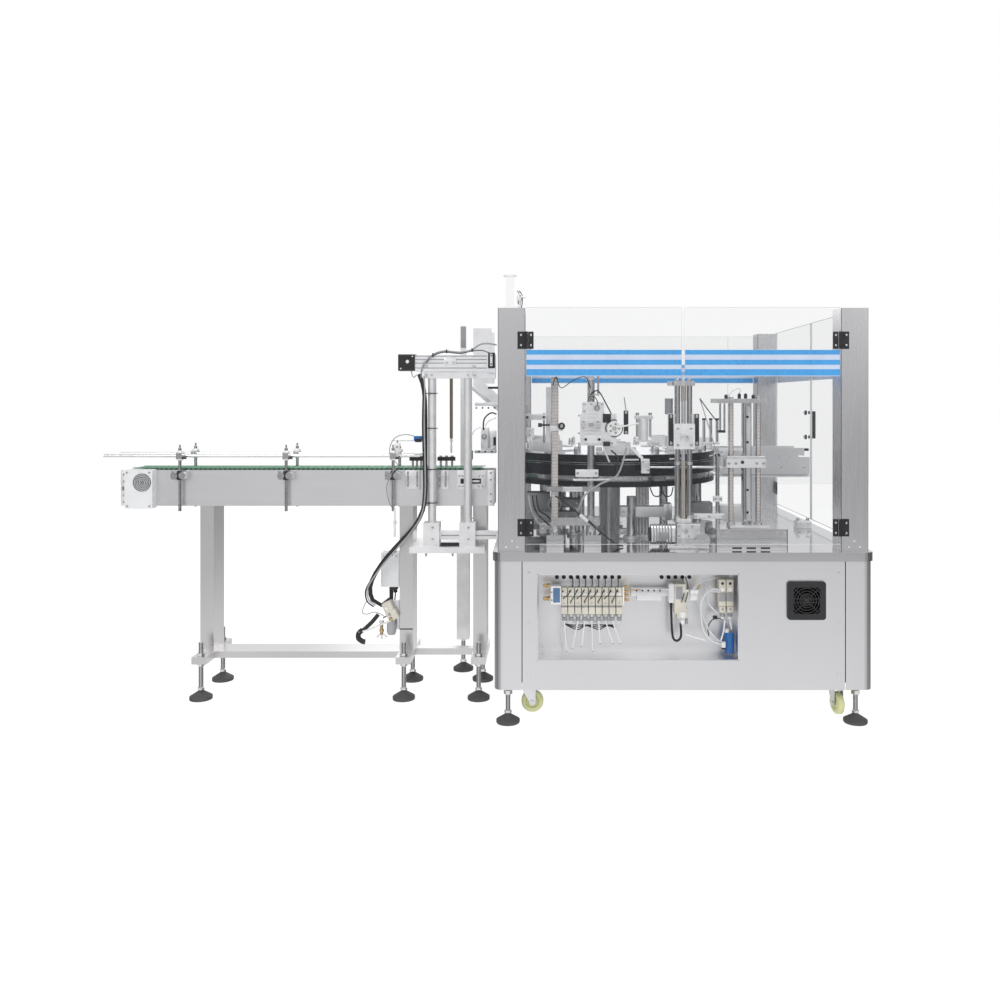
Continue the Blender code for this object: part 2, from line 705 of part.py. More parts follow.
def fork_pieces(x, y, side, top, turn=0.0):
    """A caster fork: a top plate below the cabinet floor and two cheeks with the axle."""
    plate_low = FLOOR_UNDER - GAP - CASTER_PLATE_THICKNESS
    half = CASTER_WIDTH / 2 + CASTER_SIDE_GAP
    axle_y = y + side * CASTER_TRAIL
    low = CASTER_AXLE_Z - CASTER_CHEEK_WIDTH / 2
    near = min(axle_y, y) - CASTER_CHEEK_WIDTH / 2
    far = max(axle_y, y) + CASTER_CHEEK_WIDTH / 2
    axle_start = (x - half - BITE / 2, axle_y, CASTER_AXLE_Z)
    below = [rod(axle_start, AXLE_RADIUS, 2 * half + BITE, "X", COARSE)]
    for outward in (-1, 1):
        inner = x + outward * half
        outer = x + outward * (half + CASTER_CHEEK)
        across = (min(inner, outer), max(inner, outer))
        below.append(block(across, (near, far), (low, plate_low + BITE)))
    for piece in below:
        piece.transform(swivelled(x, y, turn))
    plate = centred(x, y, CASTER_PLATE, CASTER_PLATE, (plate_low, top), radius=CASTER_PLATE_CORNER)
    return [plate] + below


def build_cabinet():
    inside = (SHEET, CABINET_WIDTH - SHEET)
    inside_y = (SHEET, CABINET_DEPTH - SHEET)
    above = CABINET_TOP + SHEET
    floor = FLOOR_UNDER + SHEET
    below = CABINET_BOTTOM - SHEET
    shell = [
        block(
            (0, CABINET_WIDTH),
            (0, CABINET_DEPTH),
            (CABINET_BOTTOM, CABINET_TOP),
            radius=CABINET_CORNER,
            segments=6,
        )
    ]
    inner_corner = CABINET_CORNER - SHEET
    hollow = block(inside, inside_y, (floor, above), radius=inner_corner, segments=6)
    underside = block(inside, inside_y, (below, FLOOR_UNDER), radius=inner_corner, segments=6)
    doorway_x = (CORNER_COLUMN, CABINET_WIDTH - CORNER_COLUMN)
    doorway = block(doorway_x, (-SHEET, SHEET + GAP), (below, above))
    forks = []
    for x in (CASTER_INSET_X, CABINET_WIDTH - CASTER_INSET_X):
        forks.extend(fork_pieces(x, CABINET_DEPTH - CASTER_INSET_Y, -1, FLOOR_UNDER + BITE))
    solid("cabinet_shell", "stainless", shell, [hollow, underside, doorway], forks)

    window_x = (WINDOW_LEFT, WINDOW_LEFT + WINDOW_WIDTH)
    window_z = (WINDOW_BOTTOM, WINDOW_BOTTOM + WINDOW_HEIGHT)
    panel_x = (CORNER_COLUMN + PANEL_REVEAL, CABINET_WIDTH - CORNER_COLUMN - PANEL_REVEAL)
    panel = [
        block(panel_x, (0, SHEET), (CABINET_BOTTOM, CABINET_TOP)),
        block(grown(window_x, SHEET), (SHEET / 2, BAY_DEPTH), grown(window_z, SHEET)),
    ]
    bay = block(window_x, (-SHEET, BAY_DEPTH - SHEET), window_z)
    fan_hole = rod((FAN_X, -SHEET, FAN_Z), FAN_BORE / 2, 3 * SHEET, "Y", FINE)
    solid("front_panel", "stainless", panel, [bay, fan_hole])

    table = [
        block(
            (-TABLE_OVERHANG, CABINET_WIDTH + TABLE_OVERHANG),
            (-TABLE_OVERHANG, CABINET_DEPTH + TABLE_OVERHANG),
            (CABINET_TOP + GAP, TABLE_TOP),
            radius=CABINET_CORNER + TABLE_OVERHANG,
            segments=6,
        )
    ]
    shaft_hole = rod(
        (TURRET_X, TURRET_Y, CABINET_TOP - SHEET),
        COLUMN_RADIUS + BORE_CLEARANCE,
        TABLE_THICKNESS + 2 * SHEET,
        sides=FINE,
    )
    solid("table_top", "stainless", table, [shaft_hole])


def grown(pair, margin):
    return (pair[0] - margin, pair[1] + margin)


def build_fan():
    guard_y = (FAN_GUARD_FRONT, -GAP)
    half = FAN_SIZE / 2
    across = (FAN_X - half, FAN_X + half)
    up = (FAN_Z - half, FAN_Z + half)
    plate = block(across, guard_y, up, radius=FAN_CORNER, along="Y")
    opening_start = (FAN_X, 2 * FAN_GUARD_FRONT, FAN_Z)
    opening = rod(opening_start, FAN_BORE / 2 - BITE, 4 * FAN_GUARD_THICKNESS, "Y", FINE)
    bars = []
    reach = FAN_BORE / 2
    thin = FAN_RIB / 2
    rib_y = (FAN_GUARD_FRONT + thin, FAN_GUARD_FRONT + thin + FAN_RIB_DEPTH)
    for turn in (45, 135):
        bar = block((-reach, reach), rib_y, (-thin, thin))
        bar.transform(Matrix.Translation((FAN_X, 0, FAN_Z)) @ Matrix.Rotation(math.radians(turn), 4, "Y"))
        bars.append(bar)
    for radius in FAN_RINGS:
        bars.append(ring_piece(radius, thin, rib_y))
    bars.append(rod((FAN_X, rib_y[0], FAN_Z), FAN_BOSS / 2, FAN_RIB_DEPTH, "Y", MEDIUM))
    solid("fan_guard", "black_plastic", [plate], [opening], bars)

    rotor_front = rib_y[1] + GAP
    hub = rod((FAN_X, rotor_front, FAN_Z), FAN_HUB / 2, FAN_ROTOR_DEPTH, "Y", MEDIUM)
    blades = [hub]
    span = (FAN_HUB / 2 - BITE, FAN_BORE / 2 - 2 * BITE)
    chord = BLADE_CHORD / 2
    for number in range(FAN_BLADES):
        blade = block(span, (-BLADE_THICKNESS / 2, BLADE_THICKNESS / 2), (-chord, chord))
        pitch = Matrix.Rotation(math.radians(90 - BLADE_PITCH), 4, "X")
        spin = Matrix.Rotation(2 * math.pi * number / FAN_BLADES, 4, "Y")
        middle = Matrix.Translation((FAN_X, rotor_front + FAN_ROTOR_DEPTH / 2, FAN_Z))
        blade.transform(middle @ spin @ pitch)
        blades.append(blade)
    solid("fan_rotor", "black_plastic", blades, pivot=(FAN_X, rotor_front, FAN_Z))


def ring_piece(radius, thin, along):
    """A thin flat ring of the fan guard."""
    outer = [(radius + thin, along[0]), (radius + thin, along[1])]
    inner = [(radius - thin, along[1]), (radius - thin, along[0])]
    bm = bmesh.new()
    corners = outer + inner
    rows = []
    for number in range(FINE):
        angle = 2 * math.pi * number / FINE
        row = []
        for distance, y in corners:
            row.append(
                bm.verts.new((FAN_X + distance * math.cos(angle), y, FAN_Z + distance * math.sin(angle)))
            )
        rows.append(row)
    for number in range(FINE):
        here = rows[number]
        there = rows[(number + 1) % FINE]
        for side in range(4):
            other = (side + 1) % 4
            bm.faces.new((here[side], here[other], there[other], there[side]))
    bmesh.ops.recalc_face_normals(bm, faces=bm.faces)
    return bm


def build_valves():
    back = BAY_DEPTH - SHEET - GAP
    manifold_x = (VALVE_LEFT, VALVE_LEFT + (VALVE_COUNT - 1) * VALVE_PITCH + VALVE_WIDTH)
    middle = VALVE_TOP - VALVE_HEIGHT / 2
    rail_z = (middle - MANIFOLD_HEIGHT / 2, middle + MANIFOLD_HEIGHT / 2)
    pieces = [block(manifold_x, (back - MANIFOLD_DEPTH, back), rail_z)]
    valve_y = (back - MANIFOLD_DEPTH - VALVE_DEPTH, back - MANIFOLD_DEPTH + BITE)
    for number in range(VALVE_COUNT):
        left = VALVE_LEFT + number * VALVE_PITCH
        pieces.append(block((left, left + VALVE_WIDTH), valve_y, (VALVE_TOP - VALVE_HEIGHT, VALVE_TOP)))
    solid("valve_manifold", "pale_paint", pieces)


def build_guard():
    lows = {
        "front_left": (POST_INSET, POST_INSET),
        "front_right": (POST_FAR_X, POST_INSET),
        "back_left": (POST_INSET, POST_FAR_Y),
        "back_right": (POST_FAR_X, POST_FAR_Y),
    }
    top = ON_TABLE + POST_HEIGHT
    for place, (x, y) in lows.items():
        across = (x, x + POST_WIDTH)
        along = (y, y + POST_WIDTH)
        outer = block(across, along, (ON_TABLE, top), radius=POST_BEND, segments=1)
        hollow = block(
            (x + SHEET, x + POST_WIDTH - SHEET),
            (y + SHEET, y + POST_WIDTH - SHEET),
            (ON_TABLE - SHEET, top - SHEET),
        )
        solid(place + "_post", "stainless", [outer], [hollow])

    pane_z = (ON_TABLE, ON_TABLE + PANE_HEIGHT)
    back_x = (POST_INNER + GAP, POST_FAR_X - GAP)
    solid("rear_guard_pane", "clear_acrylic", [block(back_x, (GUARD_BACK - PANE, GUARD_BACK), pane_z)])
    side_y = (POST_INNER + GAP, POST_FAR_Y - GAP)
    infeed = block(
        (0, 2 * (POST_INSET + PANE)),
        (INFEED_OPENING_START, INFEED_OPENING_END),
        (CABINET_TOP, INFEED_OPENING_TOP),
    )
    left = block((POST_INSET, POST_INSET + PANE), side_y, pane_z)
    solid("left_guard_pane", "clear_acrylic", [left], [infeed])

    flange_low = top + GAP
    profile = [
        (0, 0),
        (BEACON_FLANGE, 0),
        (BEACON_FLANGE, BEACON_FLANGE_HEIGHT),
        (BEACON_RADIUS, BEACON_FLANGE_HEIGHT),
        (BEACON_RADIUS, BEACON_HEIGHT),
        (0, BEACON_HEIGHT),
    ]
    solid("beacon", "clear_acrylic", [turned(profile, (BEACON_X, BEACON_Y, flange_low))])


def build_doors():
    door_z = (DOOR_BOTTOM, DOOR_BOTTOM + DOOR_HEIGHT)
    front_y = (POST_INSET, POST_INSET + PANE)
    meeting_x = CABINET_WIDTH / 2
    left_edge = POST_INNER + DOOR_GAP
    right_edge = POST_FAR_X - DOOR_GAP
    barrel_y = POST_INSET - GAP - HINGE_BARREL
    left_axis = left_edge + DOOR_GAP
    right_axis = right_edge - DOOR_GAP
    left_x = (left_edge, meeting_x - DOOR_MEETING_GAP / 2)
    right_x = (meeting_x + DOOR_MEETING_GAP / 2, right_edge)
    left_leaf = block(left_x, front_y, door_z)
    right_leaf = block(right_x, front_y, door_z)
    solid("front_left_door", "clear_acrylic", [left_leaf], pivot=(left_axis, barrel_y, 0))
    solid("front_right_door", "clear_acrylic", [right_leaf], pivot=(right_axis, barrel_y, 0))
    leaf_y = (POST_INSET - GAP - HINGE_SHEET, POST_INSET - GAP)
    for height, level in (("lower", HINGE_LOW_Z), ("upper", HINGE_HIGH_Z)):
        low = level - HINGE_HEIGHT / 2
        leaf_z = (low, low + HINGE_HEIGHT)
        left_leaf = block((left_axis - HINGE_LEAF, left_axis), leaf_y, leaf_z)
        left_barrel = rod((left_axis, barrel_y, low), HINGE_BARREL, HINGE_HEIGHT, sides=COARSE)
        solid(f"left_{height}_hinge", "black_metal", [left_leaf, left_barrel])
        right_leaf = block((right_axis, right_axis + HINGE_LEAF), leaf_y, leaf_z)
        right_barrel = rod((right_axis, barrel_y, low), HINGE_BARREL, HINGE_HEIGHT, sides=COARSE)
        solid(f"right_{height}_hinge", "black_metal", [right_leaf, right_barrel])

    side_x = (GUARD_RIGHT - PANE, GUARD_RIGHT)
    middle_y = CABINET_DEPTH / 2
    front_start = POST_INNER + DOOR_SEAT
    rear_end = POST_FAR_Y - DOOR_SEAT
    barrel_x = GUARD_RIGHT + GAP + HINGE_BARREL
    front_leaf = block(side_x, (front_start, middle_y - DOOR_GAP), door_z)
    rear_leaf = block(side_x, (middle_y + DOOR_GAP, rear_end), door_z)
    solid("side_front_door", "clear_acrylic", [front_leaf], pivot=(barrel_x, front_start, 0))
    solid("side_rear_door", "clear_acrylic", [rear_leaf], pivot=(barrel_x, rear_end, 0))
    near = GUARD_RIGHT + GAP
    far = HANDLE_OUTER
    high = HANDLE_LOW_Z + HANDLE_LENGTH
    grip_y = (HANDLE_Y - HANDLE_BAR / 2, HANDLE_Y + HANDLE_BAR / 2)
    handle = [
        block((far - HANDLE_BAR, far), grip_y, (HANDLE_LOW_Z, high), radius=HANDLE_EDGE),
        block((near, far - BITE), grip_y, (HANDLE_LOW_Z, HANDLE_LOW_Z + HANDLE_BAR)),
        block((near, far - BITE), grip_y, (high - HANDLE_BAR, high)),
    ]
    solid("side_door_handle", "black_metal", handle, pivot=(barrel_x, rear_end, 0))


def foot_profile(top, with_nut=False):
    """The (radius, height) profile of a levelling foot with its stud up to a height."""
    profile = [
        (0, 0),
        (FOOT_RADIUS, 0),
        (FOOT_RADIUS, FOOT_RIM),
        (FOOT_NECK, FOOT_CONE),
        (STUD_RADIUS, FOOT_CONE),
    ]
    if with_nut:
        nut_low = top - 2 * NUT_HEIGHT
        profile += [
            (STUD_RADIUS, nut_low),
            (NUT_RADIUS, nut_low),
            (NUT_RADIUS, nut_low + NUT_HEIGHT),
            (STUD_RADIUS, nut_low + NUT_HEIGHT),
        ]
    return profile + [(STUD_RADIUS, top), (0, top)]


def build_feet_and_casters():
    far_x = CABINET_WIDTH - FOOT_INSET
    far_y = CABINET_DEPTH - FOOT_INSET
    places = {
        "front_left_foot": (FOOT_INSET, FOOT_INSET),
        "front_right_foot": (far_x, FOOT_INSET),
        "back_left_foot": (FOOT_INSET, far_y),
        "back_right_foot": (far_x, far_y),
    }
    for name, (x, y) in places.items():
        stud = turned(foot_profile(FLOOR_UNDER - GAP, with_nut=True), (x, y, 0), sides=FINE)
        solid(name, "black_rubber", [stud])

    sides = {"left": CASTER_INSET_X, "right": CABINET_WIDTH - CASTER_INSET_X}
    ends = {"front": (CASTER_INSET_Y, 1), "back": (CABINET_DEPTH - CASTER_INSET_Y, -1)}
    for end, (y, side) in ends.items():
        for hand, x in sides.items():
            turn = 0.0
            if end == "front":
                turn = CASTER_TURNS[hand]
                fork = fork_pieces(x, y, side, FLOOR_UNDER - GAP, turn)
                solid(f"front_{hand}_fork", "stainless", fork, pivot=(x, y, FLOOR_UNDER))
            axle_y = y + side * CASTER_TRAIL
            start = (x - CASTER_WIDTH / 2, axle_y, CASTER_AXLE_Z)
            profile = [
                (0, 0),
                (CASTER_RADIUS - CASTER_TREAD, 0),
                (CASTER_RADIUS, CASTER_TREAD),
                (CASTER_RADIUS, CASTER_WIDTH - CASTER_TREAD),
                (CASTER_RADIUS - CASTER_TREAD, CASTER_WIDTH),
                (0, CASTER_WIDTH),
            ]
            wheel = turned(profile, start, "X", FINE)
            bore_start = (start[0] - BITE, axle_y, CASTER_AXLE_Z)
            bore = rod(bore_start, AXLE_RADIUS + BORE_CLEARANCE, CASTER_WIDTH + 2 * BITE, "X", COARSE)
            for piece in (wheel, bore):
                piece.transform(swivelled(x, y, turn))
            pivot = swivelled(x, y, turn) @ Vector((x, axle_y, CASTER_AXLE_Z))
            solid(f"{end}_{hand}_wheel", "pale_tyre", [wheel], [bore], pivot=pivot)


def build_turret():
    column_low = CABINET_TOP + GAP
    column_top = TURRET_BOTTOM - GAP
    profile = [
        (0, column_low),
        (COLUMN_RADIUS, column_low),
        (COLUMN_RADIUS, ON_TABLE),
        (COLUMN_FOOT_RADIUS, ON_TABLE),
        (COLUMN_FOOT_RADIUS, ON_TABLE + COLUMN_FOOT_THICKNESS),
        (COLUMN_RADIUS, ON_TABLE + COLUMN_FOOT_THICKNESS),
        (COLUMN_RADIUS, column_top),
        (0, column_top),
    ]
    solid("turret_column", "stainless", [turned(profile, (TURRET_X, TURRET_Y, 0), sides=FINE)])

    step = TURRET_RADIUS - BAND_STEP
    silver_low = TURRET_BOTTOM + LOWER_DISC_THICKNESS
    drum_low = silver_low + SILVER_BAND
    drum_high = drum_low + DRUM_HEIGHT
    profile = [
        (0, TURRET_BOTTOM),
        (TURRET_RADIUS, TURRET_BOTTOM),
        (TURRET_RADIUS, silver_low),
        (step, silver_low),
        (step, drum_low),
        (TURRET_RADIUS, drum_low),
        (TURRET_RADIUS, drum_high),
        (step, drum_high),
        (step, DRUM_TOP),
        (0, DRUM_TOP),
    ]
    centre = (TURRET_X, TURRET_Y, 0)
    solid("turret_drum", "black_plastic", [turned(profile, centre, sides=ROUNDEST)], pivot=centre)

    disc_low = DRUM_TOP + GAP
    disc_top = disc_low + UPPER_DISC_THICKNESS
    disc = [rod((TURRET_X, TURRET_Y, disc_low), TURRET_RADIUS, UPPER_DISC_THICKNESS, sides=ROUNDEST)]
    for number in range(POCKETS):
        disc.extend(pocket_pair(TURRET_RADIUS, 2 * math.pi * number / POCKETS, disc_top))
    solid("turret_disc", "black_plastic", disc, pivot=centre)

    housing_z = (CABINET_TOP - DRIVE_HEIGHT, CABINET_TOP)
    housing = centred(TURRET_X, TURRET_Y, DRIVE_SIZE, DRIVE_SIZE, housing_z, radius=DRIVE_CORNER)
    motor_start = (
        TURRET_X + DRIVE_SIZE / 2 - BITE,
        TURRET_Y,
        CABINET_TOP - DRIVE_HEIGHT / 2,
    )
    motor = rod(motor_start, DRIVE_MOTOR_RADIUS, DRIVE_MOTOR_LENGTH, "X")
    solid("index_drive", "grey_casting", [housing, motor])


def build_pusher():
    base_top = ON_TABLE + PUSHER_BASE_HEIGHT
    base_x = (PUSHER_BASE_LEFT, PUSHER_BASE_LEFT + PUSHER_BASE_WIDTH)
    base_y = (PUSHER_Y - PUSHER_BASE_DEPTH / 2, PUSHER_Y + PUSHER_BASE_DEPTH / 2)
    cap_z = (PUSHER_TOP - PUSHER_CAP_THICKNESS, PUSHER_TOP)
    pieces = [
        block(base_x, base_y, (ON_TABLE, base_top), radius=BASE_EDGE, segments=1),
        centred(PUSHER_X, PUSHER_Y, PUSHER_CAP_WIDTH, PUSHER_CAP_DEPTH, cap_z),
    ]
    offsets = (-PUSHER_PITCH / 2, 0.0, PUSHER_PITCH / 2)
    radii = (PUSHER_COLUMN_RADIUS, PUSHER_SCREW_RADIUS, PUSHER_COLUMN_RADIUS)
    length = PUSHER_TOP - PUSHER_CAP_THICKNESS / 2 - base_top + BITE
    bores = []
    for offset, radius in zip(offsets, radii):
        x = PUSHER_X + offset
        pieces.append(rod((x, PUSHER_Y, base_top - BITE), radius, length))
        bore_start = (x, PUSHER_Y, PUSHER_CARRIAGE_Z - BITE)
        bores.append(rod(bore_start, radius + BORE_CLEARANCE, PUSHER_CARRIAGE_HEIGHT + 2 * BITE))
    motor_start = (PUSHER_BASE_LEFT - PUSHER_MOTOR_LENGTH, PUSHER_Y, ON_TABLE + PUSHER_MOTOR_LIFT)
    pieces.append(rod(motor_start, PUSHER_MOTOR_RADIUS, PUSHER_MOTOR_LENGTH + BITE, "X"))
    solid("pusher_frame", "aluminium", pieces)

    carriage_z = (PUSHER_CARRIAGE_Z, PUSHER_CARRIAGE_Z + PUSHER_CARRIAGE_HEIGHT)
    half = PUSHER_CARRIAGE_WIDTH / 2
    wing_z = (PUSHER_CARRIAGE_Z + WING_LIFT, PUSHER_CARRIAGE_Z + WING_LIFT + WING_HEIGHT)
    wing_y = (PUSHER_Y - WING_DEPTH / 2, PUSHER_Y + WING_DEPTH / 2)
    carriage = [
        centred(PUSHER_X, PUSHER_Y, PUSHER_CARRIAGE_WIDTH, PUSHER_CARRIAGE_DEPTH, carriage_z),
        block((PUSHER_X - half - WING_WIDTH, PUSHER_X - half + BITE), wing_y, wing_z),
        block((PUSHER_X + half - BITE, PUSHER_X + half + WING_WIDTH), wing_y, wing_z),
    ]
    solid("pusher_carriage", "white_plastic", carriage, bores, pivot=(PUSHER_X, PUSHER_Y, 0))

    face = base_y[0]
    stem_start = face - GAP - HANDWHEEL_THICKNESS
    wheel = rod((HANDWHEEL_X, stem_start, HANDWHEEL_Z), HANDWHEEL_RADIUS, HANDWHEEL_THICKNESS, "Y")
    knob = rod(
        (HANDWHEEL_X, stem_start - HANDWHEEL_THICKNESS, HANDWHEEL_Z + HANDWHEEL_KNOB_OUT),
        HANDWHEEL_STEM,
        HANDWHEEL_THICKNESS + BITE,
        "Y",
        COARSE,
    )
    solid("pusher_handwheel", "stainless", [wheel, knob], pivot=(HANDWHEEL_X, face, HANDWHEEL_Z))


def build_press():
    base_top = ON_TABLE + PRESS_BASE_HEIGHT
    base_x = (PRESS_BASE_LEFT, PRESS_BASE_LEFT + PRESS_BASE_WIDTH)
    base_y = (PRESS_BASE_FRONT, PRESS_BASE_BACK)
    cap_x = (PRESS_X - PRESS_CAP_LEFT_REACH, PRESS_X + PRESS_CAP_RIGHT_REACH)
    cap_y = (PRESS_Y - PRESS_CAP_DEPTH / 2, PRESS_BASE_BACK)
    cap_z = (PRESS_TOP - PRESS_CAP_THICKNESS, PRESS_TOP)
    pillar_x = PRESS_X + PRESS_PILLAR_FROM_PRESS
    pillar_y = (PRESS_BASE_BACK - PRESS_PILLAR - BITE, PRESS_BASE_BACK - BITE)
    pillar_z = (base_top - BITE, PRESS_TOP - BITE)
    post_length = PRESS_SIDE_POST_TOP - base_top + BITE
    pieces = [
        block(base_x, base_y, (ON_TABLE, base_top), radius=BASE_EDGE, segments=1),
        block(cap_x, cap_y, cap_z),
        block((pillar_x - PRESS_PILLAR / 2, pillar_x + PRESS_PILLAR / 2), pillar_y, pillar_z),
        rod((PRESS_SIDE_POST_X, PRESS_Y, base_top - BITE), PRESS_ROD_RADIUS, post_length),
    ]
    offsets = (-PRESS_PITCH / 2, 0.0, PRESS_PITCH / 2)
    radii = (PRESS_COLUMN_RADIUS, PRESS_ROD_RADIUS, PRESS_COLUMN_RADIUS)
    length = PRESS_TOP - PRESS_CAP_THICKNESS / 2 - base_top + BITE
    bores = []
    for offset, radius in zip(offsets, radii):
        x = PRESS_X + offset
        pieces.append(rod((x, PRESS_Y, base_top - BITE), radius, length))
        bore_start = (x, PRESS_Y, PRESS_CARRIAGE_Z - BITE)
        bores.append(rod(bore_start, radius + BORE_CLEARANCE, PRESS_CARRIAGE_HEIGHT + 2 * BITE))
    solid("press_frame", "aluminium", pieces)

    carriage_z = (PRESS_CARRIAGE_Z, PRESS_CARRIAGE_Z + PRESS_CARRIAGE_HEIGHT)
    bridge = centred(PRESS_X, PRESS_Y, PRESS_CARRIAGE_WIDTH, PRESS_CARRIAGE_DEPTH, carriage_z)
    solid("press_carriage", "aluminium", [bridge], bores, pivot=(PRESS_X, PRESS_Y, 0))


def build_folder():
    base_top = ON_TABLE + FOLDER_BASE_HEIGHT
    base_z = (ON_TABLE, base_top)
    rule_length = FOLDER_RULE_TOP - base_top + BITE
    mast_length = FOLDER_MAST_TOP - base_top + BITE
    link_x = (FOLDER_RULE_X - FOLDER_LINK_REACH, FOLDER_MAST_X + FOLDER_LINK_REACH)
    link_y = (FOLDER_Y - FOLDER_LINK_DEPTH / 2, FOLDER_Y + FOLDER_LINK_DEPTH / 2)
    base_y = (FOLDER_BASE_FRONT, FOLDER_BASE_BACK)
    half = FOLDER_BASE_WIDTH / 2
    lower_z = (TABLE_TOP + LOWER_LINK_LIFT, TABLE_TOP + LOWER_LINK_LIFT + LOWER_LINK_THICKNESS)
    pieces = [
        block((FOLDER_RULE_X - half, FOLDER_RULE_X + half), base_y, base_z),
        block((FOLDER_MAST_X - half, FOLDER_MAST_X + half), base_y, base_z),
        block((FOLDER_RULE_X, FOLDER_MAST_X + half), link_y, lower_z),
        rod((FOLDER_RULE_X, FOLDER_Y, base_top - BITE), FOLDER_COLUMN_RADIUS, rule_length),
        rod((FOLDER_MAST_X, FOLDER_Y, base_top - BITE), FOLDER_COLUMN_RADIUS, mast_length),
        block(link_x, link_y, (FOLDER_LINK_Z, FOLDER_LINK_Z + FOLDER_LINK_THICKNESS)),
    ]
    solid("folder_frame", "aluminium", pieces)

    clamp_z = (HEAD_CLAMP_Z, HEAD_CLAMP_Z + HEAD_CLAMP_HEIGHT)
    clamp_front = FOLDER_Y - HEAD_CLAMP_DEPTH / 2
    plate_y = (clamp_front - HEAD_PLATE_THICKNESS, clamp_front + BITE)
    plate_x = (HEAD_PLATE_LEFT, HEAD_PLATE_LEFT + HEAD_PLATE_WIDTH)
    head = [
        centred(FOLDER_MAST_X, FOLDER_Y, HEAD_CLAMP_WIDTH, HEAD_CLAMP_DEPTH, clamp_z),
        block(plate_x, plate_y, (HEAD_PLATE_Z, HEAD_PLATE_Z + HEAD_PLATE_HEIGHT)),
    ]
    bore = rod(
        (FOLDER_MAST_X, FOLDER_Y, HEAD_CLAMP_Z - BITE),
        FOLDER_COLUMN_RADIUS + BORE_CLEARANCE,
        HEAD_CLAMP_HEIGHT + 2 * BITE,
    )
    solid("folder_head", "aluminium", head, [bore], pivot=(FOLDER_MAST_X, FOLDER_Y, 0))

    wheel_front = plate_y[0] - GAP - FEED_WHEEL_THICKNESS
    wheel = [
        rod((FEED_WHEEL_X, wheel_front, FEED_WHEEL_Z), FEED_WHEEL_RADIUS, FEED_WHEEL_THICKNESS, "Y"),
        rod((FEED_WHEEL_X, wheel_front - BITE, FEED_WHEEL_Z), FEED_WHEEL_HUB, 2 * BITE, "Y", COARSE),
    ]
    solid("feed_wheel", "white_plastic", wheel, pivot=(FEED_WHEEL_X, wheel_front, FEED_WHEEL_Z))


def build_outfeed():
    half = OUTFEED_WIDTH / 2
    wide = (OUTFEED_Y - half, OUTFEED_Y + half)
    length = (OUTFEED_START, OUTFEED_END)
    trough_top = OUTFEED_BOTTOM + OUTFEED_HEIGHT
    rail_low = trough_top + OUTFEED_RAIL_GAP
    rail_z = (rail_low, rail_low + OUTFEED_RAIL_HEIGHT)
    rail_x = (OUTFEED_START, OUTFEED_END - OUTFEED_RAIL_SHORT)
    stem_z = (trough_top - OUTFEED_RAIL_HEIGHT, rail_low + BITE)
    above = trough_top + 2 * OUTFEED_BEND
    pieces = [block(length, wide, (OUTFEED_BOTTOM, above), radius=OUTFEED_BEND, along="X")]
    past = grown(length, SHEET)
    scoop = block(
        past,
        (wide[0] + SHEET, wide[1] - SHEET),
        (OUTFEED_BOTTOM + SHEET, above + OUTFEED_BEND),
        radius=OUTFEED_BEND - SHEET,
        along="X",
    )
    lid = block(past, grown(wide, SHEET), (trough_top, above + OUTFEED_BEND))
    leg_z = (ON_TABLE, OUTFEED_BOTTOM + BITE / 2)
    extras = [centred(OUTFEED_LEG_X, OUTFEED_Y, OUTFEED_LEG, OUTFEED_LEG, leg_z)]
    for edge in (wide[0], wide[1] - OUTFEED_RAIL_THICKNESS):
        rail_y = (edge, edge + OUTFEED_RAIL_THICKNESS)
        extras.append(block(rail_x, rail_y, rail_z))
        for x in (OUTFEED_START + OUTFEED_STEM_INSET, OUTFEED_END - 2 * OUTFEED_STEM_INSET):
            extras.append(block((x, x + OUTFEED_RAIL_THICKNESS), rail_y, stem_z))
    solid("outfeed_trough", "stainless", pieces, [scoop, lid], extras)


def build_magazine():
    low = MAGAZINE_SLOPE_LOW
    high = MAGAZINE_SLOPE_HIGH
    start = MAGAZINE_START
    end = MAGAZINE_END
    near = MAGAZINE_Y
    far = MAGAZINE_Y + MAGAZINE_WIDTH
    floor_outline = [
        (start, high),
        (end, low),
        (end, low + MAGAZINE_SHEET),
        (start, high + MAGAZINE_SHEET),
    ]
    side_outline = [
        (start, high),
        (end, low),
        (end, low + MAGAZINE_SIDE_HEIGHT),
        (start, high + MAGAZINE_SIDE_HEIGHT),
    ]
    guide_x = (start, start + MAGAZINE_GUIDE_WIDTH)
    guide_z = (high + MAGAZINE_SIDE_HEIGHT / 2, MAGAZINE_GUIDE_TOP)
    post_x = (MAGAZINE_POST_X, MAGAZINE_POST_X + MAGAZINE_POST)
    post_y = (MAGAZINE_POST_Y, MAGAZINE_POST_Y + MAGAZINE_POST)
    arm_z = (low + MAGAZINE_SHEET, low + MAGAZINE_SIDE_HEIGHT)
    pieces = [
        prism(floor_outline, "Y", near, far),
        prism(side_outline, "Y", near, near + MAGAZINE_SHEET),
        prism(side_outline, "Y", far - MAGAZINE_SHEET, far),
        block(guide_x, (near, near + MAGAZINE_SHEET), guide_z),
        block(guide_x, (far - MAGAZINE_SHEET, far), guide_z),
        block(post_x, post_y, (ON_TABLE, low + MAGAZINE_SIDE_HEIGHT)),
        block((end - MAGAZINE_ARM_LAP, post_x[1]), (far - BITE, post_y[1]), arm_z),
    ]
    solid("carton_magazine", "aluminium", pieces)


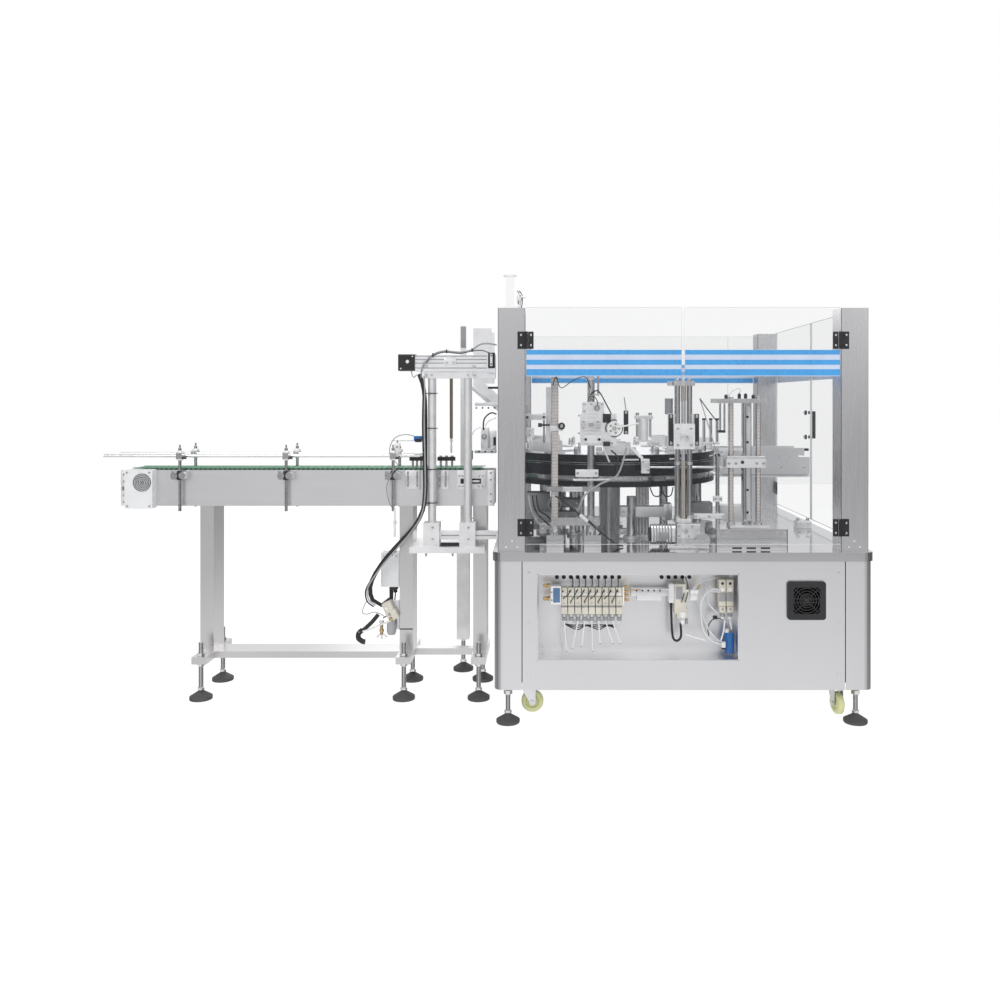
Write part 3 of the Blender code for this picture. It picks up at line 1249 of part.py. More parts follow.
def build_conveyor():
    plate_z = (CHANNEL_BOTTOM, CHANNEL_TOP)
    length = (CONVEYOR_START, CONVEYOR_END)
    inner = (CONVEYOR_FRONT + SHEET, CONVEYOR_BACK - SHEET)
    deck_top = BELT_TOP - BELT_THICKNESS - GAP
    deck_x = (BELT_START + DECK_INSET, BELT_END - DECK_INSET)
    end_z = (CHANNEL_BOTTOM + BITE, BELT_AXIS_Z)
    pieces = [
        block(length, (CONVEYOR_FRONT, inner[0]), plate_z),
        block(length, (inner[1], CONVEYOR_BACK), plate_z),
        block(deck_x, grown(inner, SHEET / 2), (deck_top - DECK_THICKNESS, deck_top)),
        block((length[0] + BITE, length[0] + BITE + SHEET), grown(inner, SHEET / 2), end_z),
        block((length[1] - BITE - SHEET, length[1] - BITE), grown(inner, SHEET / 2), end_z),
    ]
    drive_x = BELT_START + BELT_END_RADIUS
    idler_x = BELT_END - BELT_END_RADIUS
    reach = CONVEYOR_DEPTH + 2 * SHEET
    holes = []
    for x in (drive_x, idler_x):
        start = (x, CONVEYOR_FRONT - SHEET, BELT_AXIS_Z)
        holes.append(rod(start, SHAFT_RADIUS + BORE_CLEARANCE, reach, "Y"))
    solid("conveyor_channel", "stainless", pieces, holes)

    belt_y = (inner[0] + BELT_SIDE_GAP, inner[1] - BELT_SIDE_GAP)
    outer = racetrack(drive_x, idler_x, BELT_AXIS_Z, BELT_END_RADIUS, FINE)
    loop = racetrack(drive_x, idler_x, BELT_AXIS_Z, BELT_END_RADIUS - BELT_THICKNESS, FINE)
    belt = [prism(outer, "Y", *belt_y)]
    hollow = [prism(loop, "Y", belt_y[0] - BITE, belt_y[1] + BITE)]
    solid("conveyor_belt", "dark_belt", belt, hollow)

    drum = BELT_END_RADIUS - BELT_THICKNESS - 2 * GAP
    shaft_y = CONVEYOR_FRONT
    shaft_length = CONVEYOR_DEPTH + SHAFT_TAIL
    for name, x in (("drive_shaft", drive_x), ("idler_shaft", idler_x)):
        shaft = [
            rod((x, belt_y[0], BELT_AXIS_Z), drum, belt_y[1] - belt_y[0], "Y", FINE),
            rod((x, shaft_y, BELT_AXIS_Z), SHAFT_RADIUS, shaft_length, "Y"),
        ]
        solid(name, "stainless", shaft, pivot=(x, CONVEYOR_FRONT, BELT_AXIS_Z))

    cover_x = (COVER_LEFT, COVER_LEFT + COVER_WIDTH)
    cover_y = (CONVEYOR_FRONT - GAP - COVER_DEPTH, CONVEYOR_FRONT - GAP)
    cover_z = (COVER_BOTTOM, COVER_BOTTOM + COVER_HEIGHT)
    cover = block(cover_x, cover_y, cover_z, radius=COVER_CORNER, along="Y", segments=2)
    solid("drive_cover", "white_plastic", [cover])

    for name, face, side in (
        ("front_guide_rail", CONVEYOR_FRONT, -1),
        ("rear_guide_rail", CONVEYOR_BACK, 1),
    ):
        build_guide_rail(name, face, side)


def build_guide_rail(name, face, side):
    """A round rail on three posts, each held on the channel's side by a clamp with two knobs."""
    seat = face + side * GAP
    post_y = face + side * RAIL_POST_OUT
    clamp_out = post_y + side * (RAIL_POST_RADIUS + BITE)
    knob_out = clamp_out + side * KNOB_REACH
    clamp_y = (min(seat, clamp_out), max(seat, clamp_out))
    knob_start = min(clamp_out - side * BITE, knob_out)
    rail_y = post_y - side * CROSS_BLOCK / 2
    post_length = RAIL_POST_TOP - RAIL_POST_BOTTOM
    pieces = [rod((RAIL_START, rail_y, RAIL_Z), RAIL_RADIUS, RAIL_END - RAIL_START, "X", COARSE)]
    for x in RAIL_POSTS:
        pieces.append(rod((x, post_y, RAIL_POST_BOTTOM), RAIL_POST_RADIUS, post_length, sides=COARSE))
        cross_z = (RAIL_Z - CROSS_BLOCK / 2, RAIL_Z + CROSS_BLOCK / 2)
        cross_low = min(rail_y, post_y) - CROSS_BLOCK / 2
        cross_high = max(rail_y, post_y) + CROSS_BLOCK / 2
        pieces.append(block((x - CROSS_BLOCK / 2, x + CROSS_BLOCK / 2), (cross_low, cross_high), cross_z))
        clamp_z = (CLAMP_Z, CLAMP_Z + CLAMP_HEIGHT)
        pieces.append(block((x - CLAMP_WIDTH / 2, x + CLAMP_WIDTH / 2), clamp_y, clamp_z))
        for offset in (-KNOB_PITCH / 2, KNOB_PITCH / 2):
            start = (x + offset, knob_start, CLAMP_Z + CLAMP_HEIGHT / 2)
            pieces.append(rod(start, KNOB_RADIUS, KNOB_REACH + BITE, "Y", COARSE))
    solid(name, "stainless", pieces)


def build_stand():
    """Three deep legs on flat bars with a levelling foot at each end, and a floor beam between them."""
    leg_y = (CONVEYOR_FRONT + BITE, CONVEYOR_BACK - BITE)
    bar_z = (FOOT_BAR_Z, FOOT_BAR_Z + FOOT_BAR_HEIGHT)
    leg_z = (bar_z[1] - BITE, CHANNEL_BOTTOM - GAP)
    bar_reach = LEG_FOOT_SPREAD + FOOT_BAR_BEYOND_STUD
    bar_y = (CONVEYOR_MIDDLE - bar_reach, CONVEYOR_MIDDLE + bar_reach)
    pieces = []
    for x in LEG_CENTRES:
        pieces.append(block((x - LEG_TUBE / 2, x + LEG_TUBE / 2), leg_y, leg_z))
        pieces.append(block((x - FOOT_BAR_WIDTH / 2, x + FOOT_BAR_WIDTH / 2), bar_y, bar_z))
        for side in (-1, 1):
            foot_y = CONVEYOR_MIDDLE + side * LEG_FOOT_SPREAD
            pieces.append(turned(foot_profile(STAND_STUD_TOP), (x, foot_y, 0)))
    beam_z = (bar_z[0] + FLOOR_BEAM_RELIEF, bar_z[1] - FLOOR_BEAM_RELIEF)
    short_y = (SHORT_BEAM_Y, SHORT_BEAM_Y + SHORT_BEAM_DEPTH)
    pieces.append(block((LEG_CENTRES[0], LEG_CENTRES[1]), grown(leg_y, -FLOOR_BEAM_RELIEF), beam_z))
    pieces.append(block((LEG_CENTRES[1], LEG_CENTRES[2]), short_y, beam_z))
    solid("conveyor_stand", "stainless", pieces)


def build_gantry():
    left_leg = LEG_CENTRES[1] + LEG_TUBE / 2 + GAP
    right_leg = LEG_CENTRES[2] - LEG_TUBE / 2 - GAP
    leg_back = REAR_LEG_Y + LEG_TUBE / 2
    leg_x = (REAR_LEG_X - LEG_TUBE / 2, REAR_LEG_X + LEG_TUBE / 2)
    plate_z = (GANTRY_PLATE_Z, PLATE_TOP)
    front_x = (left_leg, LEG_CENTRES[2] + LEG_TUBE / 2)
    bar_y = (GANTRY_Y - CROSS_BAR_DEPTH / 2, GANTRY_Y + CROSS_BAR_DEPTH / 2)
    beam_y = (GANTRY_Y - ACTUATOR_DEPTH / 2, GANTRY_Y + ACTUATOR_DEPTH / 2)
    beam_z = (ACTUATOR_Z - BITE, ACTUATOR_Z + ACTUATOR_HEIGHT)
    end_x = (ACTUATOR_RIGHT - BITE, ACTUATOR_RIGHT + END_BLOCK_WIDTH)
    pieces = [
        block((left_leg, right_leg), (GANTRY_PLATE_FRONT, leg_back), plate_z),
        block(front_x, (GANTRY_PLATE_FRONT, CONVEYOR_FRONT), plate_z),
        block((CROSS_BAR_LEFT, CROSS_BAR_RIGHT), bar_y, (CROSS_BAR_Z, ACTUATOR_Z)),
        block((ACTUATOR_LEFT, ACTUATOR_RIGHT), beam_y, beam_z),
        block(end_x, grown(beam_y, END_BLOCK_LIP), grown(beam_z, END_BLOCK_LIP)),
        block(leg_x, (REAR_LEG_Y - LEG_TUBE / 2, leg_back), (REAR_LEG_BOTTOM, PLATE_TOP)),
        centred(
            REAR_LEG_X,
            REAR_LEG_Y,
            REAR_UPRIGHT,
            REAR_UPRIGHT,
            (PLATE_TOP - BITE, REAR_UPRIGHT_TOP),
        ),
        turned(foot_profile(REAR_LEG_BOTTOM + NUT_HEIGHT), (REAR_LEG_X, REAR_LEG_Y, 0)),
    ]
    tie_y = (GANTRY_Y - TIE_BAR_WIDTH / 2, GANTRY_Y + TIE_BAR_WIDTH / 2)
    pieces.append(block((GANTRY_COLUMNS[0], TIE_BAR_END), tie_y, (ON_TABLE, ON_TABLE + TIE_BAR_HEIGHT)))
    column_length = CROSS_BAR_Z + CROSS_BAR_HEIGHT / 2 - PLATE_TOP + BITE
    clamp_z = (PLATE_TOP - BITE, PLATE_TOP + GANTRY_CLAMP_HEIGHT)
    for x in GANTRY_COLUMNS:
        pieces.append(rod((x, GANTRY_Y, PLATE_TOP - BITE), GANTRY_COLUMN_RADIUS, column_length))
        pieces.append(centred(x, GANTRY_Y, GANTRY_CLAMP_WIDTH, GANTRY_CLAMP_DEPTH, clamp_z))
    solid("gantry_frame", "aluminium", pieces)

    motor_x = (ACTUATOR_LEFT - GAP - MOTOR_SIZE, ACTUATOR_LEFT - GAP)
    motor_z = (ACTUATOR_Z, ACTUATOR_Z + MOTOR_SIZE)
    motor = block(
        motor_x,
        (GANTRY_Y - MOTOR_SIZE / 2, GANTRY_Y + MOTOR_SIZE / 2),
        motor_z,
        radius=MOTOR_CORNER,
        along="X",
        segments=2,
    )
    solid("gantry_motor", "black_metal", [motor])

    slide_y = (beam_y[1] + GAP, beam_y[1] + GAP + CARRIAGE_THICKNESS)
    slide_z = (CROSS_BAR_Z + CARRIAGE_LIFT, ACTUATOR_Z + ACTUATOR_HEIGHT)
    arm_z = (slide_z[0], slide_z[0] + PICK_HOLDER_HEIGHT)
    slide_x = (PICK_X - CARRIAGE_WIDTH / 2, PICK_X + CARRIAGE_WIDTH / 2)
    arm_x = (PICK_X - PICK_HOLDER / 2, PICK_X + PICK_HOLDER / 2)
    carriage = [
        block(slide_x, slide_y, slide_z),
        block(arm_x, (slide_y[0] + BITE, PICK_Y + PICK_HOLDER / 2), arm_z),
    ]
    bore_start = (PICK_X, PICK_Y, arm_z[0] - BITE)
    bore = rod(bore_start, PICK_RADIUS + BORE_CLEARANCE, PICK_HOLDER_HEIGHT + 2 * BITE)
    solid("gantry_carriage", "aluminium", carriage, [bore], pivot=(PICK_X, GANTRY_Y, ACTUATOR_Z))

    collar_low = PICK_TOP - PICK_COLLAR_HEIGHT
    profile = [
        (0, PICK_BOTTOM),
        (PICK_TIP_RADIUS, PICK_BOTTOM),
        (PICK_RADIUS, PICK_BOTTOM + PICK_RADIUS),
        (PICK_RADIUS, collar_low),
        (PICK_COLLAR_RADIUS, collar_low),
        (PICK_COLLAR_RADIUS, PICK_TOP),
        (0, PICK_TOP),
    ]
    solid("pick_rod", "aluminium", [turned(profile, (PICK_X, PICK_Y, 0))], pivot=(PICK_X, PICK_Y, 0))

    box_right = LEG_CENTRES[1] - LEG_TUBE / 2 - GAP
    box = block(
        (box_right - BOX_WIDTH, box_right),
        (BOX_FRONT, BOX_FRONT + BOX_DEPTH),
        (BOX_BOTTOM, BOX_BOTTOM + BOX_HEIGHT),
        radius=BOX_CORNER,
        segments=2,
    )
    solid("control_box", "white_plastic", [box])
    build_cable()


def route_point(points, number, share):
    """A point on the smooth curve through the route's own points."""
    last = len(points) - 1
    before = Vector(points[max(number - 1, 0)])
    here = Vector(points[number])
    there = Vector(points[number + 1])
    after = Vector(points[min(number + 2, last)])
    linear = (there - before) * share
    square = (2 * before - 5 * here + 4 * there - after) * share**2
    cube = (3 * here - before - 3 * there + after) * share**3
    return here + (linear + square + cube) / 2


def smooth_route(points, spacing):
    path = []
    for number in range(len(points) - 1):
        distance = (Vector(points[number + 1]) - Vector(points[number])).length
        steps = max(1, round(distance / spacing))
        for step in range(steps):
            path.append(route_point(points, number, step / steps))
    path.append(Vector(points[-1]))
    return path


def build_cable():
    curve = bpy.data.curves.new("gantry_cable", "CURVE")
    curve.dimensions = "3D"
    curve.bevel_depth = CABLE_RADIUS
    curve.bevel_resolution = 2
    curve.use_fill_caps = True
    path = smooth_route(CABLE_ROUTE, CABLE_SPACING)
    spline = curve.splines.new("POLY")
    spline.points.add(len(path) - 1)
    for point, place in zip(spline.points, path):
        point.co = (*place, 1.0)
    obj = bpy.data.objects.new("gantry_cable", curve)
    bpy.context.scene.collection.objects.link(obj)
    finish_object(obj, "black_rubber", (0, 0, 0))


clear_scene()
materials = {name: make_material(name) for name in FINISHES}
frame = bpy.data.objects.new("machine_frame", None)
frame.location = (-PLAN_MIDDLE_X, -PLAN_MIDDLE_Y, 0)
bpy.context.scene.collection.objects.link(frame)
build_cabinet()
build_fan()
build_valves()
build_guard()
build_doors()
build_feet_and_casters()
build_turret()
build_pusher()
build_press()
build_folder()
build_outfeed()
build_magazine()
build_conveyor()
build_stand()
build_gantry()
bpy.context.view_layer.update()
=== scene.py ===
"""Looks of the cartoning machine: materials, fine pieces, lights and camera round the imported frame.

Places are in metres in the plan of the machine: X from the cabinet's left side, Y back from its
front face, Z up from the floor. Every piece is moved from the plan to the world when it is made.
"""

import math

import bmesh
import bpy
from mathutils import Matrix, Vector


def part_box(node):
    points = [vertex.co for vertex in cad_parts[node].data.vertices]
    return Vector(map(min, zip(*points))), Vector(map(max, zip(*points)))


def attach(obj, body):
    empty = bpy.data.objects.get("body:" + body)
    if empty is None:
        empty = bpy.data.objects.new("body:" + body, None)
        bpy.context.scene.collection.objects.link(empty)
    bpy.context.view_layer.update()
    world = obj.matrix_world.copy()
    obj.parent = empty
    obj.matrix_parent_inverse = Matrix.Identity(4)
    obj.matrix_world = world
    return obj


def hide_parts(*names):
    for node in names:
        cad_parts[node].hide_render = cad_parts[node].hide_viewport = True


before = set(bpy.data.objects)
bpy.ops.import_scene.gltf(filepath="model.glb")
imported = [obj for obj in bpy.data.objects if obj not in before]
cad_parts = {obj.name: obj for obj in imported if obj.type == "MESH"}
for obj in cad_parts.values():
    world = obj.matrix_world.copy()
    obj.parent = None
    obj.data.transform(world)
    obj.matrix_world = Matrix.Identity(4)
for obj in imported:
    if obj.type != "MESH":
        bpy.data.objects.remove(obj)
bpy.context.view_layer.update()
PLAN = Vector((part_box("cabinet_shell")[0][0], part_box("cabinet_shell")[0][1], 0.0))


def plan_box(node):
    """The low and high corner of a CAD node, in the plan."""
    low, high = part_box(node)
    return Vector(low) - PLAN, Vector(high) - PLAN


# Clearance between a surface and the fine piece on it
SEAT = 0.0002

# Softened edges, from printed marks to castings
MARK_EDGE = 0.0001
FOIL_EDGE = 0.0002
THIN_EDGE = 0.0003
LEAF_EDGE = 0.0004
SHEET_EDGE = 0.0006
PLATE_EDGE = 0.0008
BLOCK_EDGE = 0.001
MOULDED_EDGE = 0.0012
COVER_EDGE = 0.0015
ROUND_EDGE = 0.002
SOFT_EDGE = 0.003

# Radii of screw heads, by what they hold
SMALL_HEAD = 0.0030
LIGHT_HEAD = 0.0032
POST_HEAD = 0.0034
TRIM_HEAD = 0.0036
COVER_HEAD = 0.0038
CLAMP_HEAD = 0.0040
PANEL_HEAD = 0.0042
PLATE_HEAD = 0.0044
BLOCK_HEAD = 0.0046
BRACKET_HEAD = 0.0048
LATCH_HEAD = 0.0050
BASE_HEAD = 0.0052

# Radii of wires, cables and air tubes
SENSOR_WIRE = 0.0016
THIN_CABLE = 0.0018
LIGHT_CABLE = 0.0022
CABLE = 0.0026
DRIVE_CABLE = 0.0028
AIR_TUBE = 0.0030

# Radii of pins, knobs, collars and cable glands
THIN_PIN = 0.0035
PIN = 0.0036
RAIL_PIN = 0.0038
POST_PIN = 0.0042
LOW_KNOB = 0.0058
BOSS = 0.0060
KNOB = 0.0062
STOUT_KNOB = 0.0065
COLLAR = 0.0072
GLAND = 0.0080

# Lays a shape that was turned about Z along another axis
LEVEL = {
    "X": Matrix.Rotation(math.radians(90), 4, "Y"),
    "Y": Matrix.Rotation(math.radians(-90), 4, "X"),
    "Z": Matrix.Identity(4),
}

# Lowest and highest value of noise that a ramp still spreads
NOISE_LOW = 0.3
NOISE_HIGH = 0.7


# Materials


class Surface:
    """Builds one procedural material, node by node."""

    def __init__(self, name, colour, roughness, metallic=0.0, alpha=1.0):
        self.material = bpy.data.materials.new(name)
        self.material.use_nodes = True
        self.tree = self.material.node_tree
        self.shader = self.tree.nodes["Principled BSDF"]
        self.colour = colour
        self.roughness = roughness
        self.shader.inputs["Base Color"].default_value = (*colour, 1.0)
        self.shader.inputs["Roughness"].default_value = roughness
        self.shader.inputs["Metallic"].default_value = metallic
        self.shader.inputs["Alpha"].default_value = alpha
        self.place = self.tree.nodes.new("ShaderNodeTexCoord")

    def noise(self, stretch, detail=4.0):
        """Noise over the object's own place, finer along the axes with a larger stretch."""
        mapping = self.tree.nodes.new("ShaderNodeMapping")
        mapping.inputs["Scale"].default_value = stretch
        texture = self.tree.nodes.new("ShaderNodeTexNoise")
        texture.inputs["Scale"].default_value = 1.0
        texture.inputs["Detail"].default_value = detail
        self.tree.links.new(self.place.outputs["Object"], mapping.inputs["Vector"])
        self.tree.links.new(mapping.outputs["Vector"], texture.inputs["Vector"])
        return texture.outputs["Fac"]

    def vary_colour(self, factor, spread):
        """Shifts the colour lighter and darker by a share of itself."""
        ramp = self.tree.nodes.new("ShaderNodeValToRGB")
        ramp.color_ramp.elements[0].position = NOISE_LOW
        ramp.color_ramp.elements[1].position = NOISE_HIGH
        darker = [channel * (1 - spread) for channel in self.colour]
        lighter = [min(1.0, channel * (1 + spread)) for channel in self.colour]
        ramp.color_ramp.elements[0].color = (*darker, 1.0)
        ramp.color_ramp.elements[1].color = (*lighter, 1.0)
        self.tree.links.new(factor, ramp.inputs["Fac"])
        self.tree.links.new(ramp.outputs["Color"], self.shader.inputs["Base Color"])
        return self

    def vary_roughness(self, factor, spread):
        """Shifts the roughness up and down by a set amount."""
        span = self.tree.nodes.new("ShaderNodeMapRange")
        span.inputs["From Min"].default_value = NOISE_LOW
        span.inputs["From Max"].default_value = NOISE_HIGH
        span.inputs["To Min"].default_value = max(0.02, self.roughness - spread)
        span.inputs["To Max"].default_value = min(1.0, self.roughness + spread)
        self.tree.links.new(factor, span.inputs["Value"])
        self.tree.links.new(span.outputs["Result"], self.shader.inputs["Roughness"])
        return self

    def bump(self, factor, strength, distance):
        """Raises the surface a little with a factor, within a distance in metres."""
        node = self.tree.nodes.new("ShaderNodeBump")
        node.inputs["Strength"].default_value = strength
        node.inputs["Distance"].default_value = distance
        self.tree.links.new(factor, node.inputs["Height"])
        self.tree.links.new(node.outputs["Normal"], self.shader.inputs["Normal"])
        return self

    def wave(self, axis, per_metre, distortion=0.0):
        """Even bands along one axis, for threads, scales and hatching."""
        mapping = self.tree.nodes.new("ShaderNodeMapping")
        texture = self.tree.nodes.new("ShaderNodeTexWave")
        texture.wave_type = "BANDS"
        texture.bands_direction = axis
        texture.inputs["Scale"].default_value = per_metre * math.pi / 10
        texture.inputs["Distortion"].default_value = distortion
        self.tree.links.new(self.place.outputs["Object"], mapping.inputs["Vector"])
        self.tree.links.new(mapping.outputs["Vector"], texture.inputs["Vector"])
        return texture.outputs["Fac"]


def brushed(name, colour, roughness, grain, spread=0.05):
    """Brushed metal: the grain is fine across the brushing and long along it."""
    surface = Surface(name, colour, roughness, metallic=1.0)
    fine = surface.noise(grain)
    broad = surface.noise((2.2, 2.2, 1.4), detail=2.0)
    surface.vary_colour(broad, spread)
    surface.vary_roughness(fine, 0.03)
    surface.bump(fine, 0.02, 0.0003)
    return surface.material


def machined(name, colour, roughness, spread=0.06, metallic=1.0):
    """Machined or plated metal with a fine, even grain."""
    surface = Surface(name, colour, roughness, metallic=metallic)
    surface.vary_colour(surface.noise((24, 24, 24)), spread)
    surface.vary_roughness(surface.noise((160, 160, 160)), 0.08)
    surface.bump(surface.noise((700, 700, 700)), 0.10, 0.0002)
    return surface.material


def plastic(name, colour, roughness, texture=600, spread=0.08, strength=0.15):
    """Moulded plastic, paint or rubber with a fine grain."""
    surface = Surface(name, colour, roughness)
    surface.vary_colour(surface.noise((18, 18, 18)), spread)
    surface.vary_roughness(surface.noise((120, 120, 120)), 0.08)
    surface.bump(surface.noise((texture, texture, texture)), strength, 0.0002)
    return surface.material


def clear(name, colour, alpha, roughness=0.04):
    """Clear plastic that lets its background through by its alpha."""
    surface = Surface(name, colour, roughness, alpha=alpha)
    surface.shader.inputs["IOR"].default_value = 1.49
    surface.shader.inputs["Specular IOR Level"].default_value = 0.08
    surface.vary_roughness(surface.noise((9, 9, 9), detail=2.0), 0.02)
    surface.bump(surface.noise((3, 3, 3), detail=1.0), 0.05, 0.0005)
    surface.material.surface_render_method = "BLENDED"
    return surface.material


def banded(name, dark, light, axis, per_metre, roughness, metallic=0.0, depth=0.0004):
    """Two tones in even bands: a screw thread with painted shade in its grooves, a belt's links or a
    ruler's marks.
    """
    surface = Surface(name, light, roughness, metallic=metallic)
    factor = surface.wave(axis, per_metre)
    ramp = surface.tree.nodes.new("ShaderNodeValToRGB")
    ramp.color_ramp.elements[0].position = 0.28
    ramp.color_ramp.elements[1].position = 0.42
    ramp.color_ramp.elements[0].color = (*dark, 1.0)
    ramp.color_ramp.elements[1].color = (*light, 1.0)
    surface.tree.links.new(factor, ramp.inputs["Fac"])
    surface.tree.links.new(ramp.outputs["Color"], surface.shader.inputs["Base Color"])
    surface.vary_roughness(surface.noise((90, 90, 90)), 0.06)
    surface.bump(factor, 0.4, depth)
    return surface.material


SHEET_STEEL = brushed("sheet_steel", (0.88, 0.88, 0.89), 0.34, (5, 5, 420), spread=0.03)
UPRIGHT_STEEL = brushed("upright_steel", (0.68, 0.68, 0.69), 0.27, (420, 420, 7))
TABLE_STEEL = brushed("table_steel", (0.70, 0.70, 0.71), 0.10, (5, 260, 260), spread=0.03)
FRAME_STEEL = brushed("frame_steel", (0.78, 0.77, 0.765), 0.30, (260, 260, 12))
PLATED = machined("plated_steel", (0.80, 0.80, 0.81), 0.14, spread=0.04)
ALUMINIUM = machined("machined_aluminium", (0.86, 0.86, 0.87), 0.36)
WHITE_ALUMINIUM = machined("silver_plate", (0.90, 0.90, 0.905), 0.42, metallic=0.55)
CASTING = plastic("grey_casting", (0.36, 0.365, 0.37), 0.52, texture=260, strength=0.35)
BLACK_METAL = plastic("black_metal", (0.018, 0.018, 0.02), 0.38, texture=900)
BLACK_PLATE = plastic("black_plate", (0.007, 0.007, 0.009), 0.20, texture=500, strength=0.08)
BLACK_PLASTIC = plastic("black_plastic", (0.022, 0.022, 0.024), 0.46)
CABLE_SHEATH = plastic("cable_sheath", (0.028, 0.028, 0.030), 0.50, texture=400)
GREY_SHEATH = plastic("grey_sheath", (0.40, 0.41, 0.42), 0.48, texture=400)
RUBBER = plastic("foot_rubber", (0.085, 0.085, 0.088), 0.62, texture=320, strength=0.3)
WHITE_PLASTIC = plastic("white_plastic", (0.86, 0.86, 0.85), 0.42, spread=0.03)
WHITE_COVER = plastic("white_cover", (0.80, 0.81, 0.82), 0.36, texture=800, spread=0.03)
BEIGE = plastic("valve_beige", (0.70, 0.67, 0.58), 0.46)
COIL_GREY = plastic("coil_grey", (0.33, 0.34, 0.36), 0.50)
TYRE = plastic("pale_tyre", (0.66, 0.68, 0.36), 0.44, texture=240)
DISPLAY_BLUE = plastic("display_blue", (0.10, 0.20, 0.36), 0.34)
FILTER_BLUE = plastic("filter_blue", (0.03, 0.16, 0.46), 0.30)
BRASS = machined("brass", (0.68, 0.50, 0.26), 0.26)
BRONZE = machined("bronze", (0.34, 0.29, 0.20), 0.34)
ACRYLIC = clear("clear_acrylic", (0.22, 0.24, 0.26), 0.05)
ACRYLIC_EDGE = clear("acrylic_edge", (0.90, 0.92, 0.93), 0.75, roughness=0.2)
TUBE_CLEAR = clear("clear_tube", (0.84, 0.86, 0.88), 0.55, roughness=0.18)
BLUE_FILM = plastic("blue_film", (0.075, 0.37, 0.78), 0.30, texture=200, spread=0.05, strength=0.03)
PALE_FILM = plastic("pale_film", (0.62, 0.70, 0.86), 0.35, texture=200, spread=0.04, strength=0.03)
# The lead screw's dark bands are painted shade in the thread's grooves.
SCREW_THREAD = banded(
    "screw_thread", (0.16, 0.12, 0.08), (0.50, 0.42, 0.32), "Z", 260, 0.34, metallic=0.8
)
# The studs' dark bands are painted shade in the thread's grooves.
STUD_THREAD = banded("stud_thread", (0.30, 0.30, 0.31), (0.74, 0.74, 0.75), "Z", 500, 0.28, metallic=1.0)
RULER = banded(
    "ruler_marks", (0.36, 0.25, 0.22), (0.80, 0.79, 0.78), "Z", 200, 0.34, metallic=0.2, depth=0.0001
)
BELT_LINKS = banded("belt_links", (0.02, 0.03, 0.025), (0.12, 0.20, 0.15), "X", 55, 0.46, depth=0.002)
BELT_GREEN = plastic("belt_green", (0.10, 0.30, 0.17), 0.44)


# Shapes

# Edges of fine pieces that turn further than this stay sharp
SHARP_ANGLE = math.radians(38)


